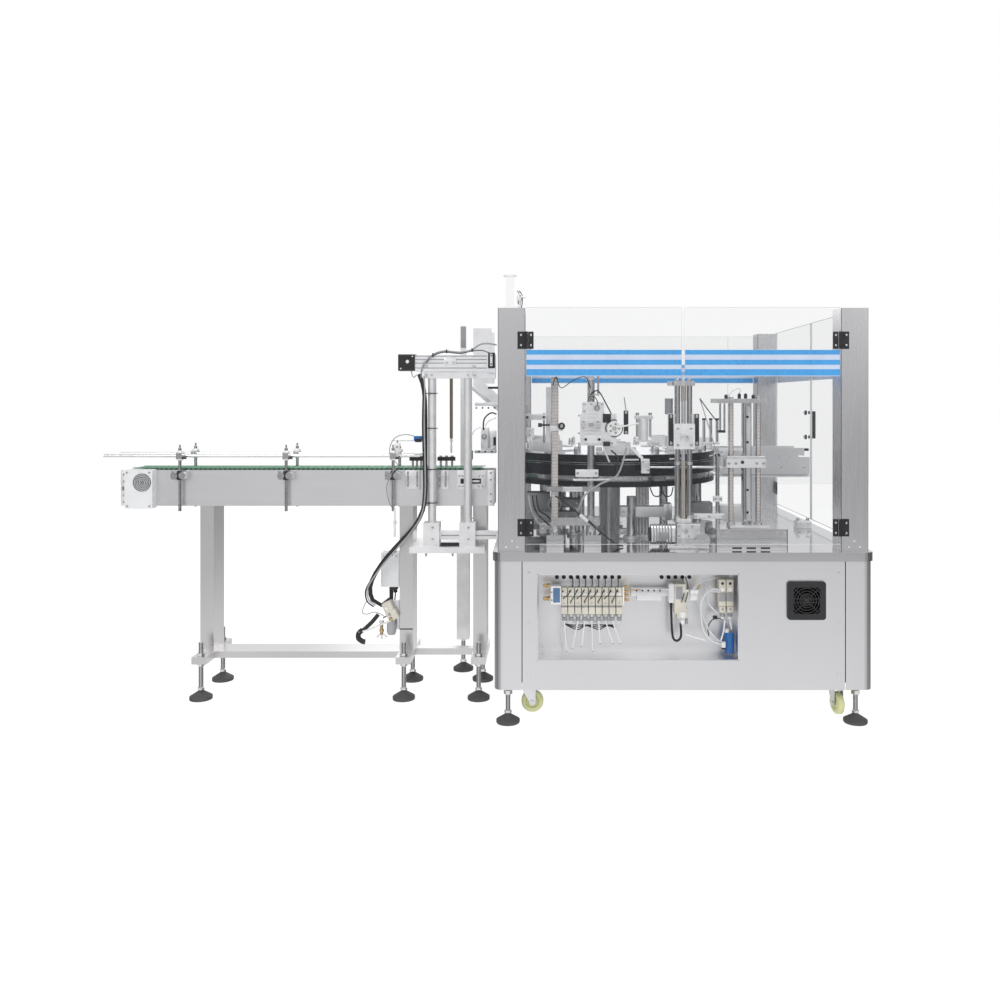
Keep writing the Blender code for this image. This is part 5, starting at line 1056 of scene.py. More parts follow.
def turret_rings():
    """The drum's silver band with its marks, the thin rings and the disc's black rim."""
    centre, low, _, rim = disc_places()
    face = DISC_FACE + SEAT
    drum_low, drum_high = plan_box("turret_drum")
    ring = Piece("drum_band")
    recess = 0.390
    marks = 24
    ring.pipe((centre.x, centre.y, 0.8005), recess + 0.0014, recess + SEAT, 0.0168, PLATED, sides=96)
    for number in range(marks):
        angle = 2 * math.pi * number / marks
        spot = Vector((recess + 0.0016, 0, 0))
        turned = Matrix.Rotation(angle, 4, "Z") @ spot
        at = Vector((centre.x, centre.y, 0.8085)) + turned
        size = Vector((0.003, 0.020 if number % 2 else 0.034, 0.011))
        ring.box(at - size / 2, at + size / 2, WHITE_ALUMINIUM, LEAF_EDGE, Matrix.Rotation(angle, 4, "Z"))
    drum = (drum_high.x - drum_low.x) / 2
    for z in (0.8190, 0.8610):
        ring.pipe((centre.x, centre.y, z - 0.0012), drum + 0.0010, drum + SEAT, 0.0014, PLATED, sides=96)
    ring.pipe(
        (centre.x, centre.y, low.z + 0.001), rim + 0.0007, rim + SEAT, 0.0265, BLACK_PLATE, sides=128
    )
    ring.pipe((centre.x, centre.y, face), rim + 0.0005, rim - 0.0055, 0.0006, BLACK_PLATE, sides=128)
    ring.done("turret")


def column_flange(piece):
    """The bolts of the column's flange."""
    column_low, column_high = plan_box("turret_column")
    centre = (column_low + column_high) / 2
    foot = (column_high.x - column_low.x) / 2
    table = plan_box("table_top")[1].z + SEAT
    flange_bolts = 6
    bolt_circle = foot - 0.008
    flange_top = table + 0.0165
    for number in range(flange_bolts):
        angle = 2 * math.pi * number / flange_bolts
        at = (
            centre.x + bolt_circle * math.cos(angle), centre.y + bolt_circle * math.sin(angle), flange_top
        )
        piece.screw(at, "Z", LIGHT_HEAD, PLATED, side=1)


def drum_rods(piece):
    """Upright rods with collars under the drum."""
    table = plan_box("table_top")[1].z + SEAT
    # X, Y, radius and height of each rod
    posts = (
        (0.487, 0.300, 0.018, 0.155),
        (0.512, 0.330, 0.0065, 0.190),
        (0.524, 0.330, 0.0065, 0.190),
        (0.536, 0.330, 0.0065, 0.190),
        (0.548, 0.330, 0.0065, 0.190),
        (0.620, 0.420, 0.016, 0.190),
        (0.276, 0.390, 0.014, 0.190),
        (0.306, 0.420, 0.014, 0.190),
        (0.170, 0.460, 0.020, 0.190),
        (0.235, 0.480, 0.016, 0.190),
        (0.700, 0.480, 0.020, 0.190),
        (0.735, 0.500, 0.012, 0.190),
        (0.770, 0.560, 0.018, 0.190),
    )
    for x, y, radius, height in posts:
        piece.rod((x, y, table), radius, height, PLATED, sides=28)
        piece.rod((x, y, table), radius * 1.7, 0.010, WHITE_ALUMINIUM, sides=28)


def drum_castings(piece):
    """Castings and blocks under the drum, each with two screws."""
    # Low corner, high corner and material of each block
    blocks = (
        ((0.445, 0.292, 0.661), (0.632, 0.330, 0.701), WHITE_ALUMINIUM),
        ((0.603, 0.284, 0.650), (0.634, 0.336, 0.712), ALUMINIUM),
        ((0.445, 0.345, 0.590), (0.700, 0.372, 0.612), WHITE_ALUMINIUM),
        ((0.130, 0.330, 0.630), (0.290, 0.390, 0.676), CASTING),
        ((0.150, 0.300, 0.600), (0.236, 0.360, 0.640), ALUMINIUM),
        ((0.236, 0.345, 0.690), (0.300, 0.420, 0.722), CASTING),
        ((0.100, 0.400, 0.600), (0.190, 0.470, 0.740), CASTING),
        ((0.690, 0.380, 0.662), (0.800, 0.430, 0.706), CASTING),
        ((0.740, 0.340, 0.590), (0.835, 0.400, 0.640), ALUMINIUM),
        ((0.835, 0.420, 0.600), (0.930, 0.480, 0.690), WHITE_ALUMINIUM),
    )
    for low, high, material in blocks:
        piece.box(low, high, material, edge=0.004)
        screws(
            piece, low[1] - SEAT, (low[0] + 0.012, high[0] - 0.012), ((low[2] + high[2]) / 2,), PANEL_HEAD
        )


def drum_motor(piece):
    """A small motor, and the wires beside it."""
    motor = (0.205, 0.300, 0.706)
    piece.rod(motor, 0.026, 0.070, CASTING, "Y", sides=32)
    piece.rod((motor[0], motor[1] - 0.010, motor[2]), 0.018, 0.012, BLACK_METAL, "Y", sides=28)
    for shift in (0.0, 0.014, 0.028):
        wire = [
            (0.110 + shift, 0.300, 0.740), (0.120 + shift, 0.280, 0.690),
            (0.150 + shift, 0.270, 0.640 + shift), (0.200 + shift, 0.290, 0.612),
            (0.240, 0.320, 0.600),
        ]
        piece.tube(wire, DRIVE_CABLE, CABLE_SHEATH if shift else TUBE_CLEAR)
    for start in (0.560, 0.600):
        loop = [
            (start, 0.360, 0.770), (start + 0.014, 0.350, 0.735), (start + 0.038, 0.350, 0.735),
            (start + 0.048, 0.360, 0.765),
        ]
        piece.tube(loop, LIGHT_CABLE, CABLE_SHEATH)


def turret_foot():
    """Flange bolts on the column and the castings and rods seen under the drum."""
    piece = Piece("under_turret")
    for add in (column_flange, drum_rods, drum_castings, drum_motor):
        add(piece)
    piece.done("machine")


# Valve bay

BAY_BACK = 0.097
VALVES = 9
VALVE_FRONT = 0.0387
VALVE_PITCH = 0.0232
FIRST_VALVE = 0.225
VALVE_WIDTH = 0.0205
WIRE = 0.0016
CABLE_HOLES_Z = 0.481

# Depths of the bay's fittings, from nearest to furthest
NEAREST = 0.036
NEAR = 0.040
INSIDE = 0.046
HALFWAY = 0.050
BAR_FRONT = 0.052


def single_valve(piece, x, top):
    """One solenoid valve: beige body with a coil, a grey foot and a push fitting."""
    left = x
    right = x + VALVE_WIDTH
    middle = (left + right) / 2
    front = VALVE_FRONT
    back = VALVE_FRONT + 0.032
    piece.box((left, front + 0.006, top - 0.030), (right, back, top), BEIGE, MOULDED_EDGE)
    piece.box((left, front + 0.001, top - 0.060), (right, back, top - 0.0305), BEIGE, MOULDED_EDGE)
    piece.rod((middle, front + 0.0008, top - 0.051), LOW_KNOB, -0.0022, BEIGE, "Y")
    piece.rod((middle, front - 0.0014, top - 0.051), 0.0026, -0.0006, COIL_GREY, "Y")
    piece.box((left, front, top - 0.064), (right, back, top - 0.0605), COIL_GREY, SHEET_EDGE)
    piece.box((left, front - 0.004, top - 0.088), (right, back, top - 0.0645), BEIGE, MOULDED_EDGE)
    piece.box(
        (left + 0.001, front - 0.001, top - 0.098), (right - 0.001, back, top - 0.0885), COIL_GREY,
        BLOCK_EDGE,
    )
    piece.rod((middle, front - 0.0012, top - 0.093), PIN, -0.0006, BEIGE, "Y")
    piece.rod((middle, front + 0.007, top - 0.099), 0.0078, -0.012, COIL_GREY)
    piece.rod((middle, front + 0.007, top - 0.104), KNOB, -0.010, WHITE_PLASTIC)
    piece.screw((middle - 0.005, front + 0.0058, top - 0.012), "Y", 0.0026, BLACK_METAL)
    label = ((left + 0.003, front + 0.0048, top - 0.026), (right - 0.003, front + 0.006, top - 0.018))
    piece.box(*label, WHITE_PLASTIC, LEAF_EDGE)


def valve_bank():
    """Nine valves on a bar, their wires, the bundle below and the white hose ends."""
    piece = Piece("valve_bank")
    low, high = plan_box("valve_manifold")
    piece.box((low.x, 0.0710, low.z), (high.x, high.y, high.z), ALUMINIUM, MOULDED_EDGE)
    top = high.z
    ends = (
        (0.243, 0.246), (0.262, 0.256), (0.293, 0.262), (0.330, 0.246), (0.356, 0.272), (0.398, 0.272),
        (0.425, 0.272),
    )
    for number in range(VALVES):
        x = FIRST_VALVE + number * VALVE_PITCH
        single_valve(piece, x, top)
        middle = x + VALVE_WIDTH / 2
        if number < VALVES - 1:
            lean = 0.012 - number * 0.001
            wire = [
                (middle + 0.018 + lean, BAY_BACK - 0.002, CABLE_HOLES_Z),
                (middle + 0.016 + lean, VALVE_FRONT + 0.018, CABLE_HOLES_Z - 0.022),
                (middle + 0.008 + lean / 2, VALVE_FRONT - 0.004, CABLE_HOLES_Z - 0.046),
                (middle - 0.001, VALVE_FRONT - 0.003, CABLE_HOLES_Z - 0.058 - 0.012 * (number % 2)),
                (middle - 0.004, VALVE_FRONT + 0.003, CABLE_HOLES_Z - 0.064 - 0.012 * (number % 2)),
            ]
            piece.tube(wire, WIRE, CABLE_SHEATH)
    outlet_z = top - 0.112
    for number, (end_x, end_z) in enumerate(ends):
        start = FIRST_VALVE + (number if number < 1 else number + 1) * VALVE_PITCH + VALVE_WIDTH / 2
        piece.tube(
            [(start, VALVE_FRONT + 0.006, outlet_z), (end_x, VALVE_FRONT - 0.012, end_z)], 0.0024,
            WHITE_PLASTIC,
        )
        piece.rod((end_x, VALVE_FRONT - 0.012, end_z), 0.0020, -0.002, BLACK_PLASTIC)
    bundle_z = outlet_z - 0.010
    for shift in (0.0, 0.006, 0.012):
        bundle = [(FIRST_VALVE + 0.010, VALVE_FRONT + 0.010, bundle_z)]
        for step in range(1, 8):
            x = FIRST_VALVE + 0.010 + 0.024 * step
            z = bundle_z - 0.006 - shift * (step % 3) / 2
            bundle.append((x, VALVE_FRONT + 0.014 - shift, z))
        piece.tube(bundle, THIN_CABLE, CABLE_SHEATH)
    piece.tube(
        [(0.226, 0.050, 0.322), (0.224, 0.060, 0.280), (0.229, 0.070, 0.235)], LIGHT_CABLE, TUBE_CLEAR
    )
    piece.done("machine", replaces=["valve_manifold"])


def cable_holes(piece):
    """Two rows of grommets in the bay's back wall."""
    wall = BAY_BACK - SEAT
    hole_pitch = 0.0238
    holes = [0.211 + hole_pitch * number for number in range(10)]
    holes += [0.571 + hole_pitch * number for number in range(5)]
    for x in holes:
        piece.pipe((x, wall, CABLE_HOLES_Z), 0.0068, 0.0042, -0.003, BLACK_PLASTIC, "Y", 20)
        piece.rod((x, wall, CABLE_HOLES_Z), 0.0044, -0.0008, BLACK_PLASTIC, "Y", 20)


def display_unit(piece):
    """The pressure display with its keys and brass elbows."""
    front = 0.030
    piece.box((0.189, front, 0.401), (0.224, 0.072, 0.463), WHITE_PLASTIC, COVER_EDGE)
    face_plate(piece, front, 0.0010, (0.1975, 0.2205), (0.408, 0.457), DISPLAY_BLUE, LEAF_EDGE)
    for z in (0.443, 0.416):
        piece.rod((0.1930, front - SEAT, z), 0.0022, -0.0008, BLACK_PLASTIC, "Y")
    for z in (0.461, 0.417):
        piece.nut((0.187, BAR_FRONT, z), 0.0085, -0.010, BRASS, "X")
        piece.rod((0.177, BAR_FRONT, z), BOSS, -0.009, BRASS, "X")
        piece.rod((0.170, 0.060, z), 0.0068, -0.014, BRASS, "Y")


def bank_end_fittings(piece):
    """The end plate of the bank and its four brass fittings."""
    bank_end = FIRST_VALVE + VALVES * VALVE_PITCH
    piece.box(
        (bank_end - 0.002, VALVE_FRONT, 0.398), (bank_end + 0.004, 0.071, 0.458), WHITE_PLASTIC,
        BLOCK_EDGE,
    )
    for z in (0.456, 0.441, 0.428, 0.413):
        piece.nut((bank_end + 0.004, HALFWAY, z), 0.0062, 0.007, BRASS, "X")
        piece.rod((bank_end + 0.011, HALFWAY, z), 0.0044, 0.010, BRASS, "X")


def regulator_bar(piece):
    """The bar between the bank and the second valve."""
    bar_left = 0.461
    bar_right = 0.590
    piece.box((bar_left, BAR_FRONT, 0.424), (bar_right, 0.072, 0.451), ALUMINIUM, ROUND_EDGE)
    piece.box(
        (bar_left + 0.020, HALFWAY, 0.410), (bar_right - 0.025, 0.068, 0.426), WHITE_ALUMINIUM, ROUND_EDGE
    )
    screws(piece, 0.0518, (0.480, 0.500, 0.520, 0.540, 0.560), (0.444,), SMALL_HEAD, BLACK_METAL)
    piece.rod((bar_left - 0.002, BAR_FRONT, 0.446), 0.0024, 0.036, BRASS, "X")
    piece.rod((bar_right - 0.030, HALFWAY, 0.448), 0.0034, 0.030, PLATED, "X")


def second_valve(piece):
    """The second valve with its solenoids and outlet fittings."""
    second = 0.588
    piece.box((second, NEAREST, 0.405), (second + 0.018, 0.074, 0.468), WHITE_PLASTIC, ROUND_EDGE)
    for z in (0.456, 0.437, 0.418):
        piece.rod((second + 0.009, 0.0358, z), 0.0070, -0.004, WHITE_ALUMINIUM, "Y")
    piece.box((second + 0.019, 0.038, 0.368), (second + 0.058, 0.076, 0.468), BEIGE, 0.0016)
    piece.box((second + 0.024, 0.0365, 0.418), (second + 0.046, 0.038, 0.460), COIL_GREY, BLOCK_EDGE)
    piece.box(
        (second + 0.060, HALFWAY, 0.410), (second + 0.100, 0.080, 0.432), WHITE_ALUMINIUM, ROUND_EDGE
    )
    for x in (second + 0.062, second + 0.080, second + 0.094):
        piece.rod((x, 0.048, 0.434), 0.0075, 0.014, WHITE_PLASTIC)
    piece.nut((second + 0.098, 0.056, 0.458), 0.009, 0.010, BRASS, "X")
    piece.box((0.615, NEAREST, 0.352), (0.652, 0.066, 0.386), BEIGE, SOFT_EDGE)
    piece.turned(
        [(0, 0), (0.009, 0.004), (0.013, 0.014), (0.012, 0.024), (0, 0.028)], (0.634, 0.034, 0.352),
        WHITE_PLASTIC,
    )
    piece.rod((0.634, NEAREST, 0.350), BOSS, -0.016, WHITE_PLASTIC)
    piece.rod((0.648, NEAR, 0.352), 0.0050, -0.018, COIL_GREY)


def bay_loop(piece):
    """The black hose loop, the white plug and two wires."""
    loop = [
        (0.598, 0.060, 0.404), (0.598, 0.050, 0.360), (0.600, 0.046, 0.310), (0.604, 0.044, 0.284),
        (0.616, 0.043, 0.276), (0.628, 0.043, 0.286), (0.630, 0.043, 0.306), (0.628, 0.043, 0.335),
    ]
    piece.tube(loop, 0.0040, BLACK_PLASTIC)
    piece.tube(
        [(0.640, 0.030, 0.302), (0.672, 0.028, 0.292), (0.708, 0.030, 0.281)], AIR_TUBE, WHITE_PLASTIC
    )
    for shift in (0.0, 0.012):
        wires = [
            (0.642 + shift, BAY_BACK - 0.002, 0.481), (0.644 + shift, 0.060, 0.455),
            (0.638 + shift, 0.034, 0.432), (0.630 + shift, 0.034, 0.408),
        ]
        piece.tube(wires, WIRE, CABLE_SHEATH)


def bay_hoses(piece):
    """Clear hoses from the second valve to the filter, and their clip."""
    hoses = (
        [
            (0.655, 0.050, 0.404), (0.672, 0.046, 0.448), (0.700, 0.050, 0.474), (0.735, 0.060, 0.484),
            (0.780, 0.080, 0.484),
        ],
        [
            (0.765, 0.040, 0.446), (0.735, 0.040, 0.450), (0.702, 0.038, 0.420), (0.696, 0.036, 0.370),
            (0.706, 0.034, 0.310), (0.735, 0.032, 0.276), (0.772, 0.032, 0.266),
        ],
        [
            (0.762, 0.044, 0.440), (0.722, 0.046, 0.440), (0.700, 0.046, 0.395), (0.712, 0.044, 0.338),
            (0.742, 0.042, 0.288), (0.772, 0.040, 0.270),
        ],
        [(0.728, 0.070, 0.462), (0.722, 0.062, 0.410), (0.748, 0.052, 0.372), (0.772, 0.046, 0.352)],
        [
            (0.772, 0.040, 0.346), (0.758, 0.044, 0.352), (0.735, 0.048, 0.344), (0.722, 0.050, 0.318),
            (0.726, 0.052, 0.290),
        ],
    )
    for route in hoses[:4]:
        piece.tube(route, 0.0036, TUBE_CLEAR)
    piece.tube(hoses[4], THIN_CABLE, CABLE_SHEATH)
    piece.box((0.738, NEAREST, 0.350), (0.752, HALFWAY, 0.360), BLACK_PLASTIC)
    piece.rod((0.772, NEAREST, 0.256), GLAND, 0.018, WHITE_PLASTIC)
    piece.rod((0.772, NEAREST, 0.250), STOUT_KNOB, 0.006, BLACK_PLASTIC)


def outlet_valves(piece):
    """Two small outlet valves with their hose ends."""
    for x in (0.7575, 0.7835):
        piece.box((x, NEAR, 0.392), (x + 0.0235, 0.078, 0.483), BEIGE, 0.0014)
        piece.box((x + 0.001, 0.0372, 0.410), (x + 0.0225, 0.0398, 0.440), COIL_GREY, BLOCK_EDGE)
        piece.box((x + 0.0015, NEAREST, 0.372), (x + 0.022, 0.074, 0.3915), BEIGE, MOULDED_EDGE)
        piece.rod((x + 0.012, 0.0358, 0.384), POST_PIN, -0.0006, COIL_GREY, "Y")
        piece.rod((x + 0.012, INSIDE, 0.372), 0.0085, -0.014, COIL_GREY)
        piece.rod((x + 0.012, INSIDE, 0.358), STOUT_KNOB, -0.010, WHITE_PLASTIC)
        piece.rod((x + 0.012, 0.0398, 0.470), 0.0046, -0.0016, BLACK_METAL, "Y")
        piece.rod((x + 0.012, 0.0396, 0.450), 0.0070, -0.0020, WHITE_PLASTIC, "Y")
    piece.tube(
        [(0.776, 0.036, 0.346), (0.771, 0.030, 0.312), (0.762, 0.030, 0.280)], CABLE, WHITE_PLASTIC
    )
    piece.tube([(0.794, 0.036, 0.346), (0.799, 0.032, 0.318)], CABLE, WHITE_PLASTIC)


def filter_bowl(piece):
    """The blue filter bowl under the outlet valves."""
    filter_x = 0.795
    piece.turned(
        [(0, 0), (0.014, 0.001), (0.0165, 0.008), (0.0165, 0.064), (0.014, 0.072), (0, 0.072)],
        (filter_x, BAR_FRONT, 0.232),
        FILTER_BLUE,
        sides=32,
    )
    piece.rod((filter_x - 0.010, INSIDE, 0.304), GLAND, 0.012, WHITE_PLASTIC)


def bay_fittings():
    """Cable holes, display, brass fittings, regulator bar, second valve, hoses and the filter."""
    piece = Piece("bay_fittings")
    for add in (
        cable_holes, display_unit, bank_end_fittings, regulator_bar, second_valve, bay_loop, bay_hoses,
        outlet_valves, filter_bowl,
    ):
        add(piece)
    piece.done("machine")


# Conveyor

CHANNEL_TOP = 0.829
PLATE_BOTTOM = 0.760


def cover_grille(piece):
    """The drive cover's round grille and corner screws."""
    cover_low, cover_high = plan_box("drive_cover")
    grille = Vector((-1.3077, cover_low.y - SEAT, 0.7875))
    for radius in (0.0325, 0.0265, 0.0205, 0.0145, 0.0085):
        piece.pipe(grille, radius, radius - 0.0022, -0.0016, BLACK_METAL, "Y", 36)
    piece.rod(grille, THIN_PIN, -0.0012, BLACK_METAL, "Y")
    screws(
        piece, cover_low.y - SEAT, (cover_low.x + 0.010, cover_high.x - 0.010),
        (cover_low.z + 0.010, cover_high.z - 0.010), TRIM_HEAD,
    )


def end_plates(piece):
    """Tensioner plates at both ends and the plate at the cabinet."""
    channel_low, channel_high = plan_box("conveyor_channel")
    front = channel_low.y - SEAT
    left_end = channel_low.x
    piece.box(
        (left_end + 0.001, front - 0.006, 0.697), (left_end + 0.028, front, CHANNEL_TOP),
        WHITE_ALUMINIUM, COVER_EDGE,
    )
    screws(piece, front - 0.006, (left_end + 0.015,), (0.712, 0.737, 0.789, 0.814), BLOCK_HEAD)
    piece.rod((left_end + 0.015, front - 0.006, 0.763), 0.009, -0.004, PLATED, "Y")
    right_end = channel_high.x
    piece.box(
        (right_end - 0.026, front - 0.005, 0.698), (right_end - 0.001, front, CHANNEL_TOP),
        WHITE_ALUMINIUM, COVER_EDGE,
    )
    screws(piece, front - 0.005, (right_end - 0.014,), (0.715, 0.742, 0.795, 0.820), PANEL_HEAD)
    piece.box(
        (-0.156, front - 0.006, PLATE_BOTTOM), (-0.049, front, CHANNEL_TOP), WHITE_ALUMINIUM, ROUND_EDGE
    )
    piece.box((-0.143, front - 0.0068, 0.780), (-0.067, front - 0.0060, 0.799), BLACK_METAL, THIN_EDGE)
    piece.box((-0.128, front - 0.0078, 0.786), (-0.072, front - 0.0068, 0.793), PLATED, THIN_EDGE)
    screws(piece, front - 0.006, (-0.147, -0.136, -0.0746, -0.060), (0.7706, 0.8091), POST_HEAD)


def slotted_plates(piece):
    """Two slotted plates that carry the gantry, with grey strips as painted shade in their slots."""
    front = plan_box("conveyor_channel")[0].y - SEAT
    for left, right in ((-0.349, -0.292), (-0.231, -0.186)):
        piece.box(
            (left, front - 0.004, PLATE_BOTTOM), (right, front, CHANNEL_TOP), ALUMINIUM, MOULDED_EDGE
        )
        # Grey strips are painted shade in the plates' slots, under their screws.
        for x in (left + 0.011, right - 0.012):
            piece.box(
                (x - 0.003, front - 0.0048, 0.768), (x + 0.003, front - 0.004, 0.826), COIL_GREY,
                THIN_EDGE,
            )
            screws(piece, front - 0.0048, (x,), (0.781, 0.808), PLATE_HEAD)


def pin_bars(piece):
    """Two bars on pins along the belt's front."""
    front = plan_box("conveyor_channel")[0].y - SEAT
    for left, right in ((-0.334, -0.279), (-0.230, -0.164)):
        piece.box((left, front + 0.004, 0.864), (right, front + 0.020, 0.8785), BLACK_METAL, BLOCK_EDGE)
        for x in (left + 0.012, (left + right) / 2, right - 0.012):
            piece.rod((x, front + 0.012, 0.830), POST_PIN, 0.034, PLATED)
            piece.nut((x, front + 0.012, 0.8785), 0.0058, 0.005)


def belt_slats(piece):
    """The belt's side strips and its slats."""
    belt_low, belt_high = plan_box("conveyor_belt")
    for y in (belt_low.y + 0.0004, belt_high.y - 0.0084):
        piece.box(
            (belt_low.x + 0.012, y, belt_high.z + SEAT),
            (belt_high.x - 0.012, y + 0.008, belt_high.z + 0.003), BELT_GREEN, SHEET_EDGE,
        )
    link_pitch = 0.0254
    belt_end = 0.015
    links = round((belt_high.x - belt_low.x - 2 * belt_end) / link_pitch)
    for number in range(links):
        x = belt_low.x + belt_end + number * link_pitch
        piece.box(
            (x, belt_low.y + 0.0088, belt_high.z + SEAT),
            (x + 0.022, belt_high.y - 0.0088, belt_high.z + 0.0016), BELT_GREEN, PLATE_EDGE,
        )


def rail_clamps(piece):
    """Clamps with knobs that hold the two guide rails."""
    for x in (-1.177, -0.785, -0.3905):
        for y, side in ((0.321, -1), (0.471, 1)):
            piece.box(
                (x - 0.009, y - 0.009, 0.795), (x + 0.009, y + 0.009, CHANNEL_TOP), BLACK_PLASTIC,
                ROUND_EDGE,
            )
            for shift in (-0.015, 0.015):
                at = (x + shift, y + side * 0.004, 0.813)
                piece.rod(at, 0.0115, side * 0.012, BLACK_PLASTIC, "Y", 24)
                piece.rod((at[0], at[1] + side * 0.0121, at[2]), KNOB, side * 0.0022, PLATED, "Y", 18)
            piece.box(
                (x - 0.010, y - 0.009, 0.868), (x + 0.010, y + 0.009, 0.903), WHITE_ALUMINIUM, ROUND_EDGE
            )
            piece.screw((x - 0.0102, y, 0.893), "X", PLATE_HEAD)
            piece.rod((x + 0.0102, y, 0.876), 0.0040, 0.013, BLACK_PLASTIC, "X")
            piece.rod((x, y, 0.9032), LOW_KNOB, 0.010, PLATED)
            piece.rod((x, y, 0.9134), 0.0030, 0.012, PLATED)


def conveyor_trim():
    """Cover grille, end plates, tensioners, bracket plates, belt edge and rail clamps."""
    piece = Piece("conveyor_trim")
    for add in (cover_grille, end_plates, slotted_plates, pin_bars, belt_slats, rail_clamps):
        add(piece)
    piece.done("machine")


def product_sensor():
    """The blue sensor on its bent arm beside the belt, with its clamp and cable."""
    piece = Piece("product_sensor")
    line_x = -0.384
    line_y = 0.318
    y = 0.330
    piece.box((-0.315, y - 0.006, 0.938), (-0.283, y + 0.006, 0.957), FILTER_BLUE, COVER_EDGE)
    piece.box((-0.310, y - 0.007, 0.934), (-0.287, y + 0.005, 0.9465), BLACK_PLASTIC, BLOCK_EDGE)
    piece.rod((-0.397, y, 0.941), 0.0030, 0.083, PLATED, "X")
    piece.rod((-0.376, y, 0.884), 0.0032, 0.057, PLATED)
    piece.box((-0.386, y - 0.007, 0.903), (-0.366, y + 0.007, 0.931), WHITE_ALUMINIUM, BLOCK_EDGE)
    piece.screw((-0.376, y - 0.0072, 0.917), "Y", CLAMP_HEAD)
    piece.box((-0.394, y - 0.007, 0.872), (-0.370, y + 0.003, 0.903), ALUMINIUM, BLOCK_EDGE)
    cable = [
        (-0.315, y, 0.955), (-0.3195, y, 0.9585), (-0.345, y - 0.003, 0.962),
        (-0.372, y - 0.005, 0.957), (-0.392, y - 0.006, 0.941), (-0.403, y - 0.010, 0.910),
        (-0.398, y - 0.014, 0.880), (-0.372, y - 0.020, 0.850), (-0.392, y - 0.024, 0.822),
        (-0.412, y - 0.022, 0.770), (-0.404, y - 0.018, 0.715), (-0.392, y - 0.010, 0.690),
    ]
    piece.tube(cable, SENSOR_WIRE, COIL_GREY)
    piece.rod((line_x, line_y, 0.690), 0.0040, -0.046, TUBE_CLEAR)
    piece.rod((line_x, line_y, 0.643), 0.0075, -0.008, WHITE_PLASTIC)
    piece.rod((line_x, line_y, 0.635), 0.0046, -0.050, TUBE_CLEAR)
    piece.done("machine")


def stand_feet():
    """The stand's swivel feet with nuts and threads, the rear leg's foot and a cable tie."""
    piece = Piece("stand_feet")
    over = SEAT
    base = [(0, over), (PAD + over, over), (PAD + 0.0005, 0.003), (PAD + 0.0005, 0.0107)]
    base += [(0.0128, 0.0284), (0.0085, 0.0286)]
    feet = [(x, y) for x in (-1.085, -0.345, -0.072) for y in (0.284, 0.508)]
    for x, y in feet + [(-0.160, 0.640)]:
        piece.turned(base, (x, y, 0.0), RUBBER, sides=36)
        piece.turned(BALL_NUT, (x, y, 0.0), PLATED, sides=6)
        piece.rod((x, y, 0.044), 0.0084, 0.074, STUD_THREAD)
    for x, y in feet:
        piece.nut((x, y, 0.1305), 0.0130, -0.0100)
        piece.nut((x, y, 0.1574), 0.0130, 0.0090)
        piece.rod((x, y, 0.1668), 0.0084, 0.0400, STUD_THREAD)
    front = 0.342
    tie = 0.2376
    face_plate(piece, front, 0.0014, (-0.3700, -0.3200), (tie, tie + 0.004), BLACK_PLASTIC, THIN_EDGE)
    piece.done("machine")


# Gantry


ACTUATOR_FRONT = 0.265 - SEAT


def actuator_slots(piece):
    """Grey strips as painted shade in the slots, the carriage plate and bolts on the actuator's front."""
    left = -0.301
    right = -0.040
    # Grey strips stand for the four slots: painted shade in the grooves.
    for z in (1.2495, 1.2366, 1.2239, 1.206):
        piece.box(
            (left, ACTUATOR_FRONT - 0.0008, z - 0.0016), (right, ACTUATOR_FRONT, z + 0.0016),
            COIL_GREY, FOIL_EDGE,
        )
    piece.box(
        (-0.196, ACTUATOR_FRONT - 0.004, 1.219), (-0.152, ACTUATOR_FRONT, 1.243), WHITE_ALUMINIUM,
        BLOCK_EDGE,
    )
    screws(piece, ACTUATOR_FRONT - 0.004, (-0.186, -0.162), (1.226,), BLOCK_HEAD)
    piece.box(
        (-0.190, ACTUATOR_FRONT - 0.006, 1.2405), (-0.158, ACTUATOR_FRONT, 1.247), WHITE_ALUMINIUM,
        BLOCK_EDGE,
    )
    for x in (-0.261, -0.0872):
        piece.rod((x, ACTUATOR_FRONT, 1.212), KNOB, -0.0030, PLATED, "Y", 20)
        piece.rod((x, ACTUATOR_FRONT, 1.1806), 0.0056, -0.0030, PLATED, "Y", 20)
    screws(piece, ACTUATOR_FRONT, (-0.2411, -0.1096), (1.1806,), CLAMP_HEAD)
    for x, wide in ((-0.260, 0.018), (-0.214, 0.046), (-0.122, 0.012), (-0.093, 0.010)):
        piece.box(
            (x, ACTUATOR_FRONT + 0.002, 1.194), (x + wide, ACTUATOR_FRONT + 0.012, 1.2015),
            BLACK_METAL, PLATE_EDGE,
        )


def motor_face(piece):
    """Studs and joint lines on the gantry motor's face."""
    motor_low, motor_high = plan_box("gantry_motor")
    middle = (motor_low + motor_high) / 2
    face = motor_low.y - SEAT
    piece.rod((middle.x + 0.004, face, middle.z + 0.003), KNOB, -0.0022, WHITE_PLASTIC, "Y", 22)
    for x, z in (
        (motor_low.x + 0.010, motor_low.z + 0.008), (motor_high.x - 0.008, motor_high.z - 0.008)
    ):
        piece.rod((x, face, z), 0.0026, -0.0010, WHITE_PLASTIC, "Y", 16)
    for z in (motor_low.z + 0.014, motor_high.z - 0.014):
        piece.box(
            (motor_low.x + 0.002, face - 0.0006, z), (motor_high.x - 0.002, face, z + 0.0012),
            BLACK_PLATE, MARK_EDGE,
        )


